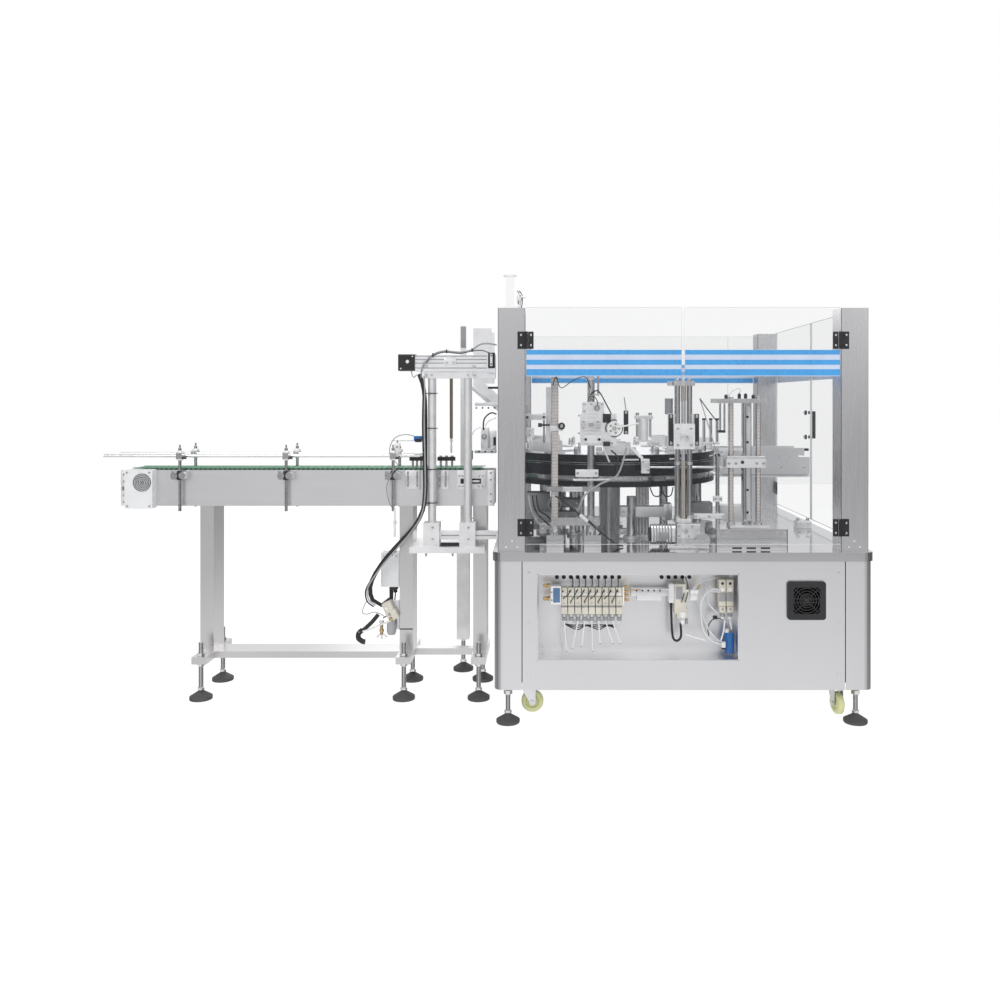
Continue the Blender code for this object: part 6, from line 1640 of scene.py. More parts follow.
def actuator_end(piece):
    """The black block on the actuator's right end."""
    piece.box(
        (-0.0365, ACTUATOR_FRONT - 0.006, 1.205), (-0.011, ACTUATOR_FRONT, 1.262), BLACK_METAL, ROUND_EDGE
    )
    piece.box(
        (-0.0290, ACTUATOR_FRONT - 0.0076, 1.213), (-0.0200, ACTUATOR_FRONT - 0.006, 1.257),
        WHITE_PLASTIC, BLOCK_EDGE,
    )
    screws(piece, ACTUATOR_FRONT - 0.0076, (-0.0245,), (1.220, 1.251), 0.0028, BLACK_METAL)


def gantry_base_trim(piece):
    """Clamp screws, grey strips as painted shade in the slots, ties and covers on the lower profiles."""
    clamp_front = 0.26 - SEAT
    screws(piece, clamp_front, (-0.2368, -0.1075), (0.5865, 0.6282), PLATE_HEAD)
    for x in (-0.2628, -0.1663):
        piece.rod((x, 0.276, 0.5367), THIN_PIN, -0.016, PLATED)
        piece.nut((x, 0.276, 0.5367), 0.0070, -0.006)
    bar_low = -0.2075
    bar_high = -0.1405
    # Thin grey strips are painted shade in the profiles' slots.
    piece.box((bar_low, 0.2742, 0.5952), (bar_high, 0.2747, 0.5992), COIL_GREY, MARK_EDGE)
    piece.box((-0.0850, 0.2742, 0.5952), (-0.008, 0.2747, 0.5992), COIL_GREY, MARK_EDGE)
    piece.box((bar_low - 0.002, 0.262, 0.5600), (bar_high, 0.272, 0.5725), BLACK_METAL, BLOCK_EDGE)
    for z in (0.650, 0.700, 0.760):
        piece.box((-0.1200, 0.3412, z), (-0.0960, 0.3440, z + 0.003), BLACK_METAL, LEAF_EDGE)
    piece.box((-0.1700, 0.628, 1.300), (-0.1490, 0.6285, 1.3867), COIL_GREY, MARK_EDGE)
    piece.rod((-0.186, 0.420, 0.9415), 0.0050, -0.006, WHITE_PLASTIC)


def gantry_trim():
    """Actuator ribs, painted shade strips in its slots, end block, cross bar and clamp bolts, motor face,
    extra profiles.
    """
    piece = Piece("gantry_trim")
    for add in (actuator_slots, motor_face, actuator_end, gantry_base_trim):
        add(piece)
    piece.done("machine")


def pick_tip():
    """The suction tip below the pick rod."""
    tip = Piece("pick_tip")
    pick_low, pick_high = plan_box("pick_rod")
    at = ((pick_low.x + pick_high.x) / 2, (pick_low.y + pick_high.y) / 2, pick_low.z - SEAT)
    tip.turned([(0, 0), (0.0052, 0), (0.0052, -0.010), (0.0026, -0.014), (0, -0.014)], at, WHITE_PLASTIC)
    tip.rod((at[0], at[1], at[2] - 0.014), 0.0016, -0.004, BLACK_PLASTIC)
    tip.turned(
        [(0, 0), (0.0030, 0), (0.0042, -0.012), (0.0034, -0.034), (0, -0.036)],
        (at[0], at[1], at[2] - 0.018), WHITE_PLASTIC,
    )
    tip.done("pick")


BUNDLE_Y = 0.276
GLAND_Y = 0.366


def actuator_cables(piece):
    """The flexible arc over the actuator, its cables and ties."""
    arc_route = [
        (-0.279, 0.272, 1.172), (-0.2765, 0.262, 1.203), (-0.2595, 0.256, 1.2317),
        (-0.2360, 0.262, 1.254), (-0.2108, 0.270, 1.2655), (-0.1879, 0.275, 1.268),
        (-0.1600, 0.275, 1.265), (-0.1323, 0.275, 1.2643), (-0.0952, 0.275, 1.2728),
        (-0.0673, 0.275, 1.2913), (-0.0396, 0.275, 1.2956), (-0.0060, 0.270, 1.2902),
    ]
    piece.tube(arc_route, AIR_TUBE, COIL_GREY)
    second = [(x, depth + 0.008, z - 0.004) for x, depth, z in arc_route[2:9]]
    second += [(-0.060, 0.282, 1.271), (-0.034, 0.276, 1.262)]
    piece.tube(second, THIN_CABLE, CABLE_SHEATH)
    for number in (3, 5, 8):
        x, depth, z = arc_route[number]
        piece.box(
            (x - 0.0018, depth - 0.008, z - 0.008), (x + 0.0018, depth + 0.012, z + 0.006),
            BLACK_PLASTIC, BLOCK_EDGE,
        )
    piece.tube(
        [(-0.316, 0.270, 1.198), (-0.312, 0.268, 1.180), (-0.306, 0.268, 1.172), (-0.296, 0.270, 1.182)],
        THIN_CABLE, COIL_GREY,
    )


def column_ties(piece):
    """Ties that hold the bundle to the column."""
    for z in (1.1127, 0.9855, 0.8356, 0.7135):
        piece.pipe((-0.2425, 0.290, z), 0.0172, 0.0152, 0.003, BLACK_PLASTIC, sides=24)
        piece.box((-0.2650, 0.2705, z), (-0.2440, 0.2725, z + 0.003), BLACK_PLASTIC, THIN_EDGE)
        piece.rod((-0.2270, 0.281, z + 0.0015), 0.0012, 0.008, BLACK_PLASTIC, "X", 8)


def bundle_cables(piece):
    """Two thin cables beside the bundle."""
    y = BUNDLE_Y
    beside = [
        (-0.276, y - 0.012, 1.170), (-0.272, y - 0.013, 1.120), (-0.2740, y - 0.013, 1.000),
        (-0.2710, y - 0.013, 0.860), (-0.2710, y - 0.013, 0.740), (-0.285, y - 0.014, 0.665),
        (-0.322, y - 0.014, 0.606), (-0.370, y - 0.012, 0.550), (-0.422, y - 0.008, 0.490),
        (-0.466, y, 0.430), (-0.484, y + 0.004, 0.392), (-0.478, y + 0.006, 0.355),
        (-0.455, y + 0.010, 0.335),
    ]
    for number, shift in enumerate((0.0, 0.0065)):
        route = [(x + shift, depth - shift * 0.4, z + shift * 0.8) for x, depth, z in beside]
        piece.tube(route, CABLE, GREY_SHEATH if number else CABLE_SHEATH)


def box_gland(piece):
    """A ring on the bundle, and the control box's gland and cable."""
    piece.pipe((-0.391, 0.300, 0.534), 0.0145, 0.0122, 0.003, BLACK_PLASTIC, "X", 24)
    piece.rod((-0.3890, GLAND_Y, 0.3968), 0.0110, -0.012, BLACK_PLASTIC)
    piece.rod((-0.3890, GLAND_Y, 0.3848), COLLAR, -0.014, BLACK_PLASTIC)
    drop = [
        (-0.389, 0.366, 0.371), (-0.391, 0.362, 0.345), (-0.396, 0.352, 0.318), (-0.410, 0.336, 0.296),
        (-0.428, 0.322, 0.285),
    ]
    piece.tube(drop, LIGHT_CABLE, CABLE_SHEATH)


def lower_hoses(piece):
    """The elbow, white hose and wire below the small valve."""
    elbow = [
        (-0.444, 0.316, 0.300), (-0.464, 0.310, 0.276), (-0.486, 0.305, 0.255), (-0.504, 0.302, 0.240)
    ]
    piece.tube(elbow, 0.0075, BLACK_PLASTIC)
    bend = [
        (-0.500, 0.302, 0.246), (-0.513, 0.302, 0.234), (-0.514, 0.302, 0.216), (-0.500, 0.302, 0.205),
        (-0.490, 0.302, 0.203),
    ]
    piece.tube(bend, 0.0095, BLACK_PLASTIC)
    piece.tube(
        [(-0.512, 0.296, 0.240), (-0.478, 0.300, 0.247), (-0.440, 0.308, 0.262), (-0.384, 0.324, 0.280)],
        0.0034, WHITE_PLASTIC,
    )
    loop = [
        (-0.482, 0.284, 0.355), (-0.493, 0.288, 0.332), (-0.498, 0.292, 0.312),
        (-0.482, 0.296, 0.306), (-0.456, 0.302, 0.312), (-0.436, 0.312, 0.303),
        (-0.424, 0.320, 0.292),
    ]
    piece.tube(loop, SENSOR_WIRE, COIL_GREY)


def gantry_lines():
    """Thin cables beside the held bundle, its ties, the flexible arc and the air fittings."""
    piece = Piece("gantry_lines")
    for add in (actuator_cables, column_ties, bundle_cables, box_gland, lower_hoses):
        add(piece)
    piece.done("machine")


def air_unit():
    """The small valve, gauge and silencer below the control box."""
    piece = Piece("air_unit")
    fitting_x = -0.432
    fitting_y = 0.318
    silencer_x = -0.397
    silencer_y = 0.326
    lean = Matrix.Rotation(math.radians(-24), 4, "Y")
    piece.box((-0.424, fitting_y, 0.288), (-0.388, 0.352, 0.345), BEIGE, SOFT_EDGE, lean)
    piece.box((-0.398, 0.314, 0.282), (-0.374, 0.346, 0.318), BEIGE, SOFT_EDGE, lean)
    piece.rod((-0.4140, 0.3170, 0.322), BOSS, -0.003, WHITE_PLASTIC, "Y")
    piece.rod((-0.4030, 0.3170, 0.300), 0.0048, -0.003, COIL_GREY, "Y")
    piece.turned(
        [(0, 0), (0.013, 0.002), (0.0175, 0.012), (0.0175, 0.040), (0.012, 0.052), (0, 0.054)],
        (silencer_x, silencer_y, 0.222),
        GREY_SHEATH,
        sides=28,
    )
    piece.nut((silencer_x, silencer_y, 0.276), 0.0105, 0.010, BRASS)
    piece.rod((fitting_x, fitting_y, 0.226), LOW_KNOB, 0.050, BRASS)
    piece.nut((fitting_x, fitting_y, 0.236), 0.0085, 0.010, BRASS)
    piece.nut((fitting_x, fitting_y, 0.268), 0.0085, 0.010, PLATED)
    for turn, length in ((0.0, 0.022), (0.9, 0.026), (-0.8, 0.024)):
        direction = Vector((math.sin(turn), 0, -math.cos(turn)))
        start = Vector((-0.432, 0.318, 0.232))
        piece.tube([start, start + direction * length], 0.0032, WHITE_ALUMINIUM)
    piece.box((-0.400, 0.352, 0.235), (-0.3722, 0.372, 0.345), ALUMINIUM, BLOCK_EDGE)
    piece.done("machine")


def control_box_trim():
    """The control box's lid, gland plate, screws and stud."""
    box_low, box_high = plan_box("control_box")
    trim = Piece("control_box_trim")
    face = box_low.y - SEAT
    trim.box(
        (box_low.x + 0.003, face - 0.0012, box_low.z + 0.004),
        (box_high.x - 0.003, face, box_high.z - 0.004), WHITE_COVER, SHEET_EDGE,
    )
    trim.box(
        (box_low.x + 0.030, box_low.y + 0.006, box_low.z - 0.014),
        (box_high.x - 0.012, box_low.y + 0.030, box_low.z - SEAT), BLACK_PLASTIC, ROUND_EDGE,
    )
    screws(
        trim, face - 0.0014, (box_low.x + 0.010, box_high.x - 0.010), (box_high.z - 0.010,), SMALL_HEAD
    )
    trim.rod((box_high.x - 0.020, box_low.y + 0.020, box_high.z + SEAT), STOUT_KNOB, 0.012, PLATED)
    trim.done("machine")


def chute_trim():
    """Slots, bolts, guide devices and lines on the carton magazine beside the guard."""
    piece = Piece("chute_trim")
    y = 0.640 - SEAT
    lean = Matrix.Rotation(math.radians(41), 4, "Y")
    piece.box((-0.150, y - 0.003, 1.108), (-0.040, y, 1.126), ALUMINIUM, BLOCK_EDGE, lean)
    piece.box((-0.060, y - 0.005, 1.135), (-0.020, y - 0.002, 1.144), BLACK_METAL, BLOCK_EDGE)
    for x in (-0.1075, -0.0826, -0.0585, -0.0335):
        piece.rod((x, y, 1.058), PIN, -0.003, BLACK_METAL, "Y")
        piece.rod((x, 0.446, 0.893), 0.0034, -0.003, BLACK_METAL, "Y")
    piece.box((-0.114, y - 0.004, 1.066), (-0.012, y - 0.001, 1.080), WHITE_ALUMINIUM, BLOCK_EDGE)
    piece.box((-0.1000, 0.448, 0.886), (-0.018, 0.500, 0.900), ALUMINIUM, BLOCK_EDGE)
    piece.box((-0.076, 0.452, 0.9005), (-0.046, 0.492, 0.984), WHITE_ALUMINIUM, ROUND_EDGE)
    piece.rod((-0.0631, 0.4518, 0.950), 0.0105, -0.006, COIL_GREY, "Y")
    piece.rod((-0.0631, 0.4458, 0.950), BOSS, -0.002, PLATED, "Y")
    piece.box((-0.044, 0.456, 0.9005), (-0.018, 0.490, 0.972), ALUMINIUM, ROUND_EDGE)
    piece.rod((-0.030, 0.4558, 0.925), GLAND, -0.004, WHITE_PLASTIC, "Y")
    piece.box((-0.028, 0.450, 0.916), (-0.018, 0.456, 0.948), BLACK_METAL, BLOCK_EDGE)
    piece.tube(
        [
            (-0.0657, 0.452, 0.975), (-0.0660, 0.446, 1.000), (-0.0585, 0.444, 1.0237),
            (-0.0362, 0.446, 1.0406), (-0.0160, 0.450, 1.0356),
        ],
        DRIVE_CABLE, CABLE_SHEATH,
    )
    piece.tube(
        [(-0.060, 0.446, 0.990), (-0.044, 0.444, 1.010), (-0.016, 0.446, 1.022)], 0.0020, TUBE_CLEAR
    )
    piece.tube(
        [(-0.113, 0.500, 0.955), (-0.100, 0.490, 0.975), (-0.078, 0.480, 0.985)], SENSOR_WIRE, TUBE_CLEAR
    )
    piece.box((-0.118, 0.380, 0.866), (-0.102, 0.400, 0.896), BLACK_METAL, ROUND_EDGE)
    piece.done("machine")


# Stations on the table


def scale_strip(piece, x, y, radius, low, high):
    """A ruler's marks on the front of a round column, thin enough for the carriage to pass."""
    outline = arc((x, y), radius + 0.0002, -130, -50, 8) + arc((x, y), radius + 0.0001, -50, -130, 8)
    piece.plate(outline, "Z", low, high, RULER, edge=0)


RULE_FRONT = 0.130
RAIL_FRONT = 0.134
COLUMN_Y = 0.150
FOLDER_BASE_TOP = 0.6328
BRACKET_TOP = 0.9405


def folder_ruler(piece):
    """The ruler with its clamp, knob and pointer."""
    piece.box((0.1945, 0.1345, 0.640), (0.2150, 0.1368, 1.165), RULER, THIN_EDGE)
    piece.box((0.1735, 0.158, 0.9395), (0.1900, 0.168, 1.1355), WHITE_ALUMINIUM, BLOCK_EDGE)
    piece.box((0.187, RULE_FRONT, 0.982), (0.233, 0.1365, 1.000), WHITE_ALUMINIUM, BLOCK_EDGE)
    piece.rod((0.2275, 0.130 - SEAT, 0.9995), 0.0125, -0.012, BLACK_PLASTIC, "Y")
    piece.rod((0.2275, 0.1178, 0.9995), 0.0055, -0.002, PLATED, "Y")
    piece.rod((0.146, RAIL_FRONT, 1.003), THIN_PIN, 0.041, BLACK_METAL, "X")
    piece.rod((0.146, RAIL_FRONT, 1.003), COLLAR, 0.013, BLACK_METAL, "X")


def folder_posts(piece):
    """Small posts and blocks beside the ruler."""
    piece.rod((0.104, COLUMN_Y, BRACKET_TOP), POST_PIN, 0.1355, PLATED)
    piece.rod((0.1665, COLUMN_Y, BRACKET_TOP), PIN, 0.1045, PLATED)
    piece.box((0.104, 0.140, 0.958), (0.132, 0.158, 0.993), WHITE_ALUMINIUM, BLOCK_EDGE)
    piece.box((0.097, 0.142, 1.020), (0.177, 0.158, 1.041), ALUMINIUM, BLOCK_EDGE)
    bolts(piece, 0.142, ((0.108, 1.030), (0.166, 1.030)), PLATE_HEAD, BLACK_METAL)
    bolts(piece, 0.140, ((0.118, 0.967), (0.118, 0.984)), TRIM_HEAD)
    piece.rod((0.082, COLUMN_Y, BRACKET_TOP), 0.0030, 0.062, PLATED)
    piece.box((0.060, 0.144, 0.952), (0.100, 0.156, 0.962), BLACK_METAL, BLOCK_EDGE)


def folder_cables(piece):
    """Looped cables over the mast, and the rod that holds them."""
    loop = [
        (0.198, 0.134, 1.1425), (0.2085, 0.130, 1.1705), (0.226, 0.130, 1.132),
        (0.268, 0.128, 1.158), (0.310, 0.130, 1.1705), (0.3275, 0.134, 1.132),
    ]
    piece.tube(loop, 0.0015, CABLE_SHEATH)
    piece.box((0.314, 0.139, 1.1602), (0.341, 0.161, 1.1775), ALUMINIUM, ROUND_EDGE)
    piece.rod((0.3555, 0.138, 1.104), THIN_PIN, 0.0735, PLATED)
    piece.box((0.3400, RAIL_FRONT, 1.106), (0.3600, 0.146, 1.113), ALUMINIUM, PLATE_EDGE)
    piece.tube(
        [(0.3555, 0.138, 1.1775), (0.350, 0.136, 1.190), (0.3585, 0.134, 1.194), (0.362, 0.134, 1.182)],
        0.0013, CABLE_SHEATH,
    )
    sweep = [
        (0.327, 0.131, 1.107), (0.347, 0.130, 1.122), (0.362, 0.130, 1.114), (0.388, 0.130, 1.066),
        (0.407, 0.130, 1.030), (0.425, 0.131, 1.006),
    ]
    piece.tube(sweep, LIGHT_CABLE, CABLE_SHEATH)


def folder_link(piece):
    """The link's lower plate, its pin and two hoses."""
    piece.box((0.276, RAIL_FRONT, 0.822), (0.356, 0.1365, 0.848), WHITE_ALUMINIUM, PLATE_EDGE)
    piece.rod((0.267, 0.136, 0.812), RAIL_PIN, 0.132, PLATED, "X")
    bolts(piece, 0.134, ((0.284, 0.835), (0.348, 0.835)), PLATE_HEAD)
    piece.tube(
        [
            (0.454, 0.133, 0.924), (0.423, 0.133, 0.830), (0.361, 0.123, 0.798), (0.309, 0.122, 0.760),
            (0.284, 0.128, 0.702),
        ],
        0.0034, GREY_SHEATH,
    )
    piece.tube(
        [(0.400, 0.134, 0.915), (0.423, 0.134, 0.889), (0.420, 0.134, 0.840)], DRIVE_CABLE, CABLE_SHEATH
    )


def folder_lever(piece):
    """Screws, plate and cables of the lower lever."""
    front = 0.125
    bolts(piece, front, ((0.190, 0.7805), (0.345, 0.7805), (0.345, 0.668)), BLOCK_HEAD)
    face_plate(piece, front, 0.002, (0.232, 0.300), (0.772, 0.788), ALUMINIUM, SHEET_EDGE)
    piece.tube([(0.205, 0.102, 0.760), (0.248, 0.102, 0.730), (0.291, 0.102, 0.694)], CABLE, CABLE_SHEATH)
    piece.tube(
        [(0.318, 0.102, 0.672), (0.372, 0.102, 0.626), (0.415, 0.102, 0.594), (0.440, 0.104, 0.586)],
        CABLE, CABLE_SHEATH,
    )
    lean = Matrix.Rotation(math.radians(40), 4, "Y")
    piece.box((0.286, 0.096, 0.677), (0.322, 0.108, 0.689), WHITE_PLASTIC, ROUND_EDGE, lean)


def folder_base(piece):
    """Bolts, scribed lines, collars and knobs of the base."""
    base = 0.045
    for x in (0.204, 0.331):
        bolts(piece, base, ((x - 0.019, 0.604), (x + 0.019, 0.604)), BASE_HEAD)
        face_plate(piece, base, 0.0012, (x - 0.029, x + 0.029), (0.6145, 0.6155), COIL_GREY, MARK_EDGE)
        piece.pipe((x, COLUMN_Y, FOLDER_BASE_TOP), 0.0185, 0.0133, 0.018, ALUMINIUM)
        piece.screw((x - 0.010, 0.1315, 0.6418), "Y", LIGHT_HEAD)
    piece.rod((0.204, 0.090, FOLDER_BASE_TOP), GLAND, 0.006, PLATED)
    piece.rod((0.331, 0.090, FOLDER_BASE_TOP), GLAND, 0.006, PLATED)


def folder_station():
    """Ruler, clamps, small sensor stand, cables and base of the folding station."""
    piece = Piece("folder_station")
    for add in (folder_ruler, folder_posts, folder_cables, folder_link, folder_lever, folder_base):
        add(piece)
    piece.done("machine")


HEAD_FACE = 0.115


def head_top_plate(piece):
    """The top plate with its knob and screws."""
    piece.box((0.299, 0.1155, 1.0428), (0.375, 0.1255, 1.084), WHITE_ALUMINIUM, BLOCK_EDGE)
    piece.rod((0.350, 0.1155, 1.062), 0.0105, -0.0050, COIL_GREY, "Y")
    piece.rod((0.350, 0.1105, 1.062), 0.0055, -0.0024, PLATED, "Y")
    bolts(piece, 0.1155, ((0.306, 1.076), (0.306, 1.051), (0.368, 1.076), (0.330, 1.076)), COVER_HEAD)


def head_plates(piece):
    """Stacked plates with their screws, and two black clamps."""
    face_plate(piece, HEAD_FACE, 0.009, (0.295, 0.361), (0.986, 1.024), ALUMINIUM, BLOCK_EDGE)
    bolts(
        piece, HEAD_FACE - 0.009,
        ((0.303, 1.016), (0.303, 0.994), (0.353, 1.016), (0.353, 0.994)), PANEL_HEAD,
    )
    piece.rod((0.329, HEAD_FACE - 0.009, 1.005), 0.0085, -0.006, PLATED, "Y")
    face_plate(piece, HEAD_FACE, 0.012, (0.302, 0.365), (0.9405, 0.968), WHITE_ALUMINIUM, MOULDED_EDGE)
    bolts(piece, HEAD_FACE - 0.012, ((0.310, 0.954), (0.357, 0.954)), BRACKET_HEAD, BLACK_METAL)
    bolts(
        piece, HEAD_FACE,
        ((0.2875, 1.036), (0.2875, 0.975), (0.2875, 0.940), (0.374, 1.036), (0.402, 0.940)), TRIM_HEAD,
    )
    face_plate(piece, HEAD_FACE, 0.012, (0.371, 0.395), (0.9305, 0.9460), BLACK_METAL, ROUND_EDGE)
    face_plate(piece, HEAD_FACE, 0.004, (0.370, 0.398), (1.012, 1.0425), BLACK_PLATE, BLOCK_EDGE)


def head_roller(piece):
    """Wire guards round the roller, and the head's tubes."""
    hub = (0.409, 0.1005, 0.992)
    for start, end in ((70, 205), (250, 385)):
        ring = arc((hub[0], hub[2]), 0.0292, start, end, 10)
        piece.tube([(a, 0.1085, b) for a, b in ring], SENSOR_WIRE, BLACK_METAL, steps=2)
    piece.tube(
        [(0.422, 0.099, 0.996), (0.458, 0.0985, 1.003), (0.492, 0.0985, 1.010)], AIR_TUBE, WHITE_PLASTIC
    )
    piece.tube([(0.371, 0.108, 0.934), (0.381, 0.107, 0.904), (0.392, 0.107, 0.876)], 0.0032, TUBE_CLEAR)
    piece.tube(
        [
            (0.318, 0.112, 1.084), (0.322, 0.108, 1.100), (0.340, 0.106, 1.102), (0.352, 0.109, 1.082),
            (0.352, 0.110, 1.072),
        ],
        0.0015, CABLE_SHEATH,
    )


def folder_head_detail():
    """Plates, screws, rollers and tubes that move with the folding head."""
    piece = Piece("folder_head_detail")
    for add in (head_top_plate, head_plates, head_roller):
        add(piece)
    piece.done("head")


def feed_wheel_look():
    """Hub of the feed wheel, and grey discs as painted shade in its five holes."""
    wheel = Piece("feed_wheel_look")
    low, high = plan_box("feed_wheel")
    middle = ((low.x + high.x) / 2, low.y - SEAT, (low.z + high.z) / 2)
    wheel.pipe(middle, 0.0070, 0.0032, -0.0016, PLATED, "Y")
    # Grey discs are painted shade in the wheel's five holes.
    for number in range(5):
        angle = 2 * math.pi * number / 5
        at = (middle[0] + 0.0155 * math.cos(angle), 0.1027 - SEAT, middle[2] + 0.0155 * math.sin(angle))
        wheel.rod(at, POST_PIN, -0.0008, COIL_GREY, "Y", sides=20)
    wheel.done("feeder")


PUSHER_X = 0.6496
PUSHER_Y = 0.120
COLUMN_SPREAD = 0.0209
SENSOR_Y = 0.169


def pusher_columns(piece):
    """Thread, sleeves, and the cap with its nuts."""
    for low, high in ((0.6705, 0.876), (1.086, 1.1385)):
        piece.rod((PUSHER_X, PUSHER_Y, low), 0.0086, high - low, SCREW_THREAD, sides=28)
    for low, high in ((0.6705, 0.690), (0.866, 0.876)):
        for shift in (-COLUMN_SPREAD, COLUMN_SPREAD):
            piece.pipe((PUSHER_X + shift, PUSHER_Y, low), 0.0118, 0.0102, high - low, ALUMINIUM)
    for shift in (-COLUMN_SPREAD, 0.0, COLUMN_SPREAD):
        piece.rod((PUSHER_X + shift, PUSHER_Y, 1.1563), KNOB, 0.0050, PLATED)
        piece.nut((PUSHER_X + shift, PUSHER_Y, 1.1613), 0.0044, 0.0045)
    bolts(piece, 0.100, [(PUSHER_X + shift, 1.1475) for shift in (-0.030, 0.030, 0.0)], COVER_HEAD)
    piece.box((0.595, 0.108, 1.139), (0.6122, 0.132, 1.154), ALUMINIUM, BLOCK_EDGE)


def pusher_base(piece):
    """Plates and screws of the base."""
    face = 0.070
    face_plate(piece, face, 0.004, (0.620, 0.699), (0.619, 0.667), ALUMINIUM, MOULDED_EDGE)
    bolts(
        piece, face - 0.004, ((0.626, 0.660), (0.626, 0.626), (0.672, 0.660), (0.660, 0.626)), BLOCK_HEAD
    )
    piece.rod((0.648, face - 0.004, 0.643), 0.0090, -0.0030, PLATED, "Y")
    face_plate(piece, face, 0.003, (0.595, 0.7300), (0.5828, 0.5930), ALUMINIUM, PLATE_EDGE)
    bolts(piece, face - 0.003, ((0.604, 0.588), (0.662, 0.588), (0.722, 0.588)), TRIM_HEAD)
    top = 0.6696 + SEAT
    for left, deep in ((0.622, 0.080), (0.706, 0.080), (0.622, 0.160), (0.706, 0.160)):
        piece.screw((left, deep, top), "Z", BLOCK_HEAD, side=1)
    piece.box((0.624, 0.100, top), (0.675, 0.140, top + 0.010), WHITE_ALUMINIUM, BLOCK_EDGE)


def pusher_motor(piece):
    """Ribs, shaft end and box of the small motor."""
    for number in range(7):
        start = 0.5420 + number * 0.0100
        piece.pipe((start, PUSHER_Y, 0.6246), 0.0362, 0.0341, 0.0042, CASTING, "X", 40)
    piece.rod((0.5355, PUSHER_Y, 0.6246), 0.0240, -0.006, BLACK_METAL, "X", 32)
    piece.box((0.560, 0.078, 0.612), (0.590, 0.0845, 0.637), CASTING, ROUND_EDGE)


def pusher_arm(piece):
    """The cross bar's clamp, strut and rod end."""
    piece.rod((0.527, 0.148, 0.8545), 0.0034, 0.173, PLATED, "X")
    piece.box((0.505, 0.136, 0.834), (0.535, 0.156, 0.884), ALUMINIUM, COVER_EDGE)
    bolts(piece, 0.136, ((0.512, 0.874), (0.528, 0.845)), PANEL_HEAD)
    piece.tube(
        [(0.468, 0.142, 0.924), (0.489, 0.142, 0.905), (0.510, 0.142, 0.8855)], 0.0058, WHITE_ALUMINIUM
    )
    piece.box((0.4456, 0.150, 0.970), (0.4620, 0.158, 1.053), BLACK_METAL, BLOCK_EDGE)
    bolts(piece, 0.150, ((0.4538, 1.046), (0.4538, 0.976)), BRACKET_HEAD)
    piece.tube([(0.4538, 0.154, 1.053), (0.450, 0.152, 1.078), (0.447, 0.150, 1.100)], 0.0020, PLATED)


def pusher_cylinder(piece):
    """A cylinder between two plates, and two cables."""
    piece.box((0.486, 0.158, 1.023), (0.549, 0.180, 1.036), ALUMINIUM, BLOCK_EDGE)
    for place in (0.495, 0.540):
        piece.rod((place, SENSOR_Y, 1.036), KNOB, 0.010, PLATED)
        piece.rod((place, SENSOR_Y, 0.960), 0.0048, 0.063, PLATED)
    piece.rod((0.516, SENSOR_Y, 0.950), 0.0170, 0.073, WHITE_ALUMINIUM, sides=30)
    piece.box((0.486, 0.156, 0.9425), (0.549, 0.182, 0.9500), ALUMINIUM, BLOCK_EDGE)
    piece.tube(
        [(0.706, 0.112, 1.095), (0.730, 0.110, 1.060), (0.763, 0.110, 1.017)], THIN_CABLE, CABLE_SHEATH
    )
    piece.tube(
        [(0.706, 0.116, 1.095), (0.742, 0.114, 0.980), (0.770, 0.112, 0.882)], THIN_CABLE, GREY_SHEATH
    )


def pusher_station():
    """Threads, cap, brackets and side motor ribs of the pusher station."""
    piece = Piece("pusher_station")
    for add in (pusher_columns, pusher_base, pusher_motor, pusher_arm, pusher_cylinder):
        add(piece)
    piece.done("machine")


def pusher_carriage_look():
    """Side plates, front plates and the ribbed cylinder that move with the pusher."""
    x = PUSHER_X
    y = PUSHER_Y
    moving = Piece("pusher_carriage_look")
    front = y - 0.010
    body = y - 0.025
    for left, right in ((x - 0.0530, x - 0.0362), (x + 0.0362, x + 0.0530)):
        face_plate(moving, front, 0.0010, (left, right), (0.932, 1.041), BLACK_METAL, LEAF_EDGE)
        moving.box(
            (left + 0.006, front - 0.0016, 0.955), (right - 0.006, front - 0.0010, 1.018), BLACK_PLATE,
            FOIL_EDGE,
        )
        bolts(
            moving, front - 0.001, (((left + right) / 2, 1.0335), ((left + right) / 2, 0.941)), BASE_HEAD
        )
    face_plate(moving, body, 0.0015, (x - 0.030, x + 0.030), (0.928, 0.999), WHITE_ALUMINIUM, SHEET_EDGE)
    bolts(
        moving, body - 0.0015,
        ((x - 0.023, 0.992), (x + 0.023, 0.992), (x - 0.023, 0.935), (x + 0.023, 0.935)), PLATE_HEAD,
    )
    moving.box(
        (x - 0.014, body - 0.0090, 0.950), (x + 0.014, body - 0.0015, 0.978), ALUMINIUM, BLOCK_EDGE
    )
    bolts(moving, body - 0.0090, ((x - 0.008, 0.964), (x + 0.008, 0.964)), LIGHT_HEAD)
    moving.rod((0.603, 0.146, 1.040), 0.0135, 0.055, GREY_SHEATH, sides=30)
    for number in range(8):
        moving.pipe((0.603, 0.146, 1.042 + number * 0.0072), 0.0148, 0.0136, 0.0030, COIL_GREY)
    moving.done("pusher")


def handwheel_look():
    """The handwheel's ring, hub cap and screw."""
    wheel = Piece("handwheel_look")
    hub = (0.706, 0.0597 - SEAT, 0.612)
    wheel.pipe(hub, 0.0256, 0.0205, -0.0014, PLATED, "Y", 40)
    wheel.rod(hub, COLLAR, -0.0030, PLATED, "Y")
    wheel.screw((hub[0], hub[1] - 0.0030, hub[2]), "Y", POST_HEAD)
    wheel.done("handwheel")


PRESS_Y = 0.150
RODS_Y = 0.160
CAP_FRONT = 0.132
CAP_TOP = 1.0948
PRESS_BASE_TOP = 0.6528


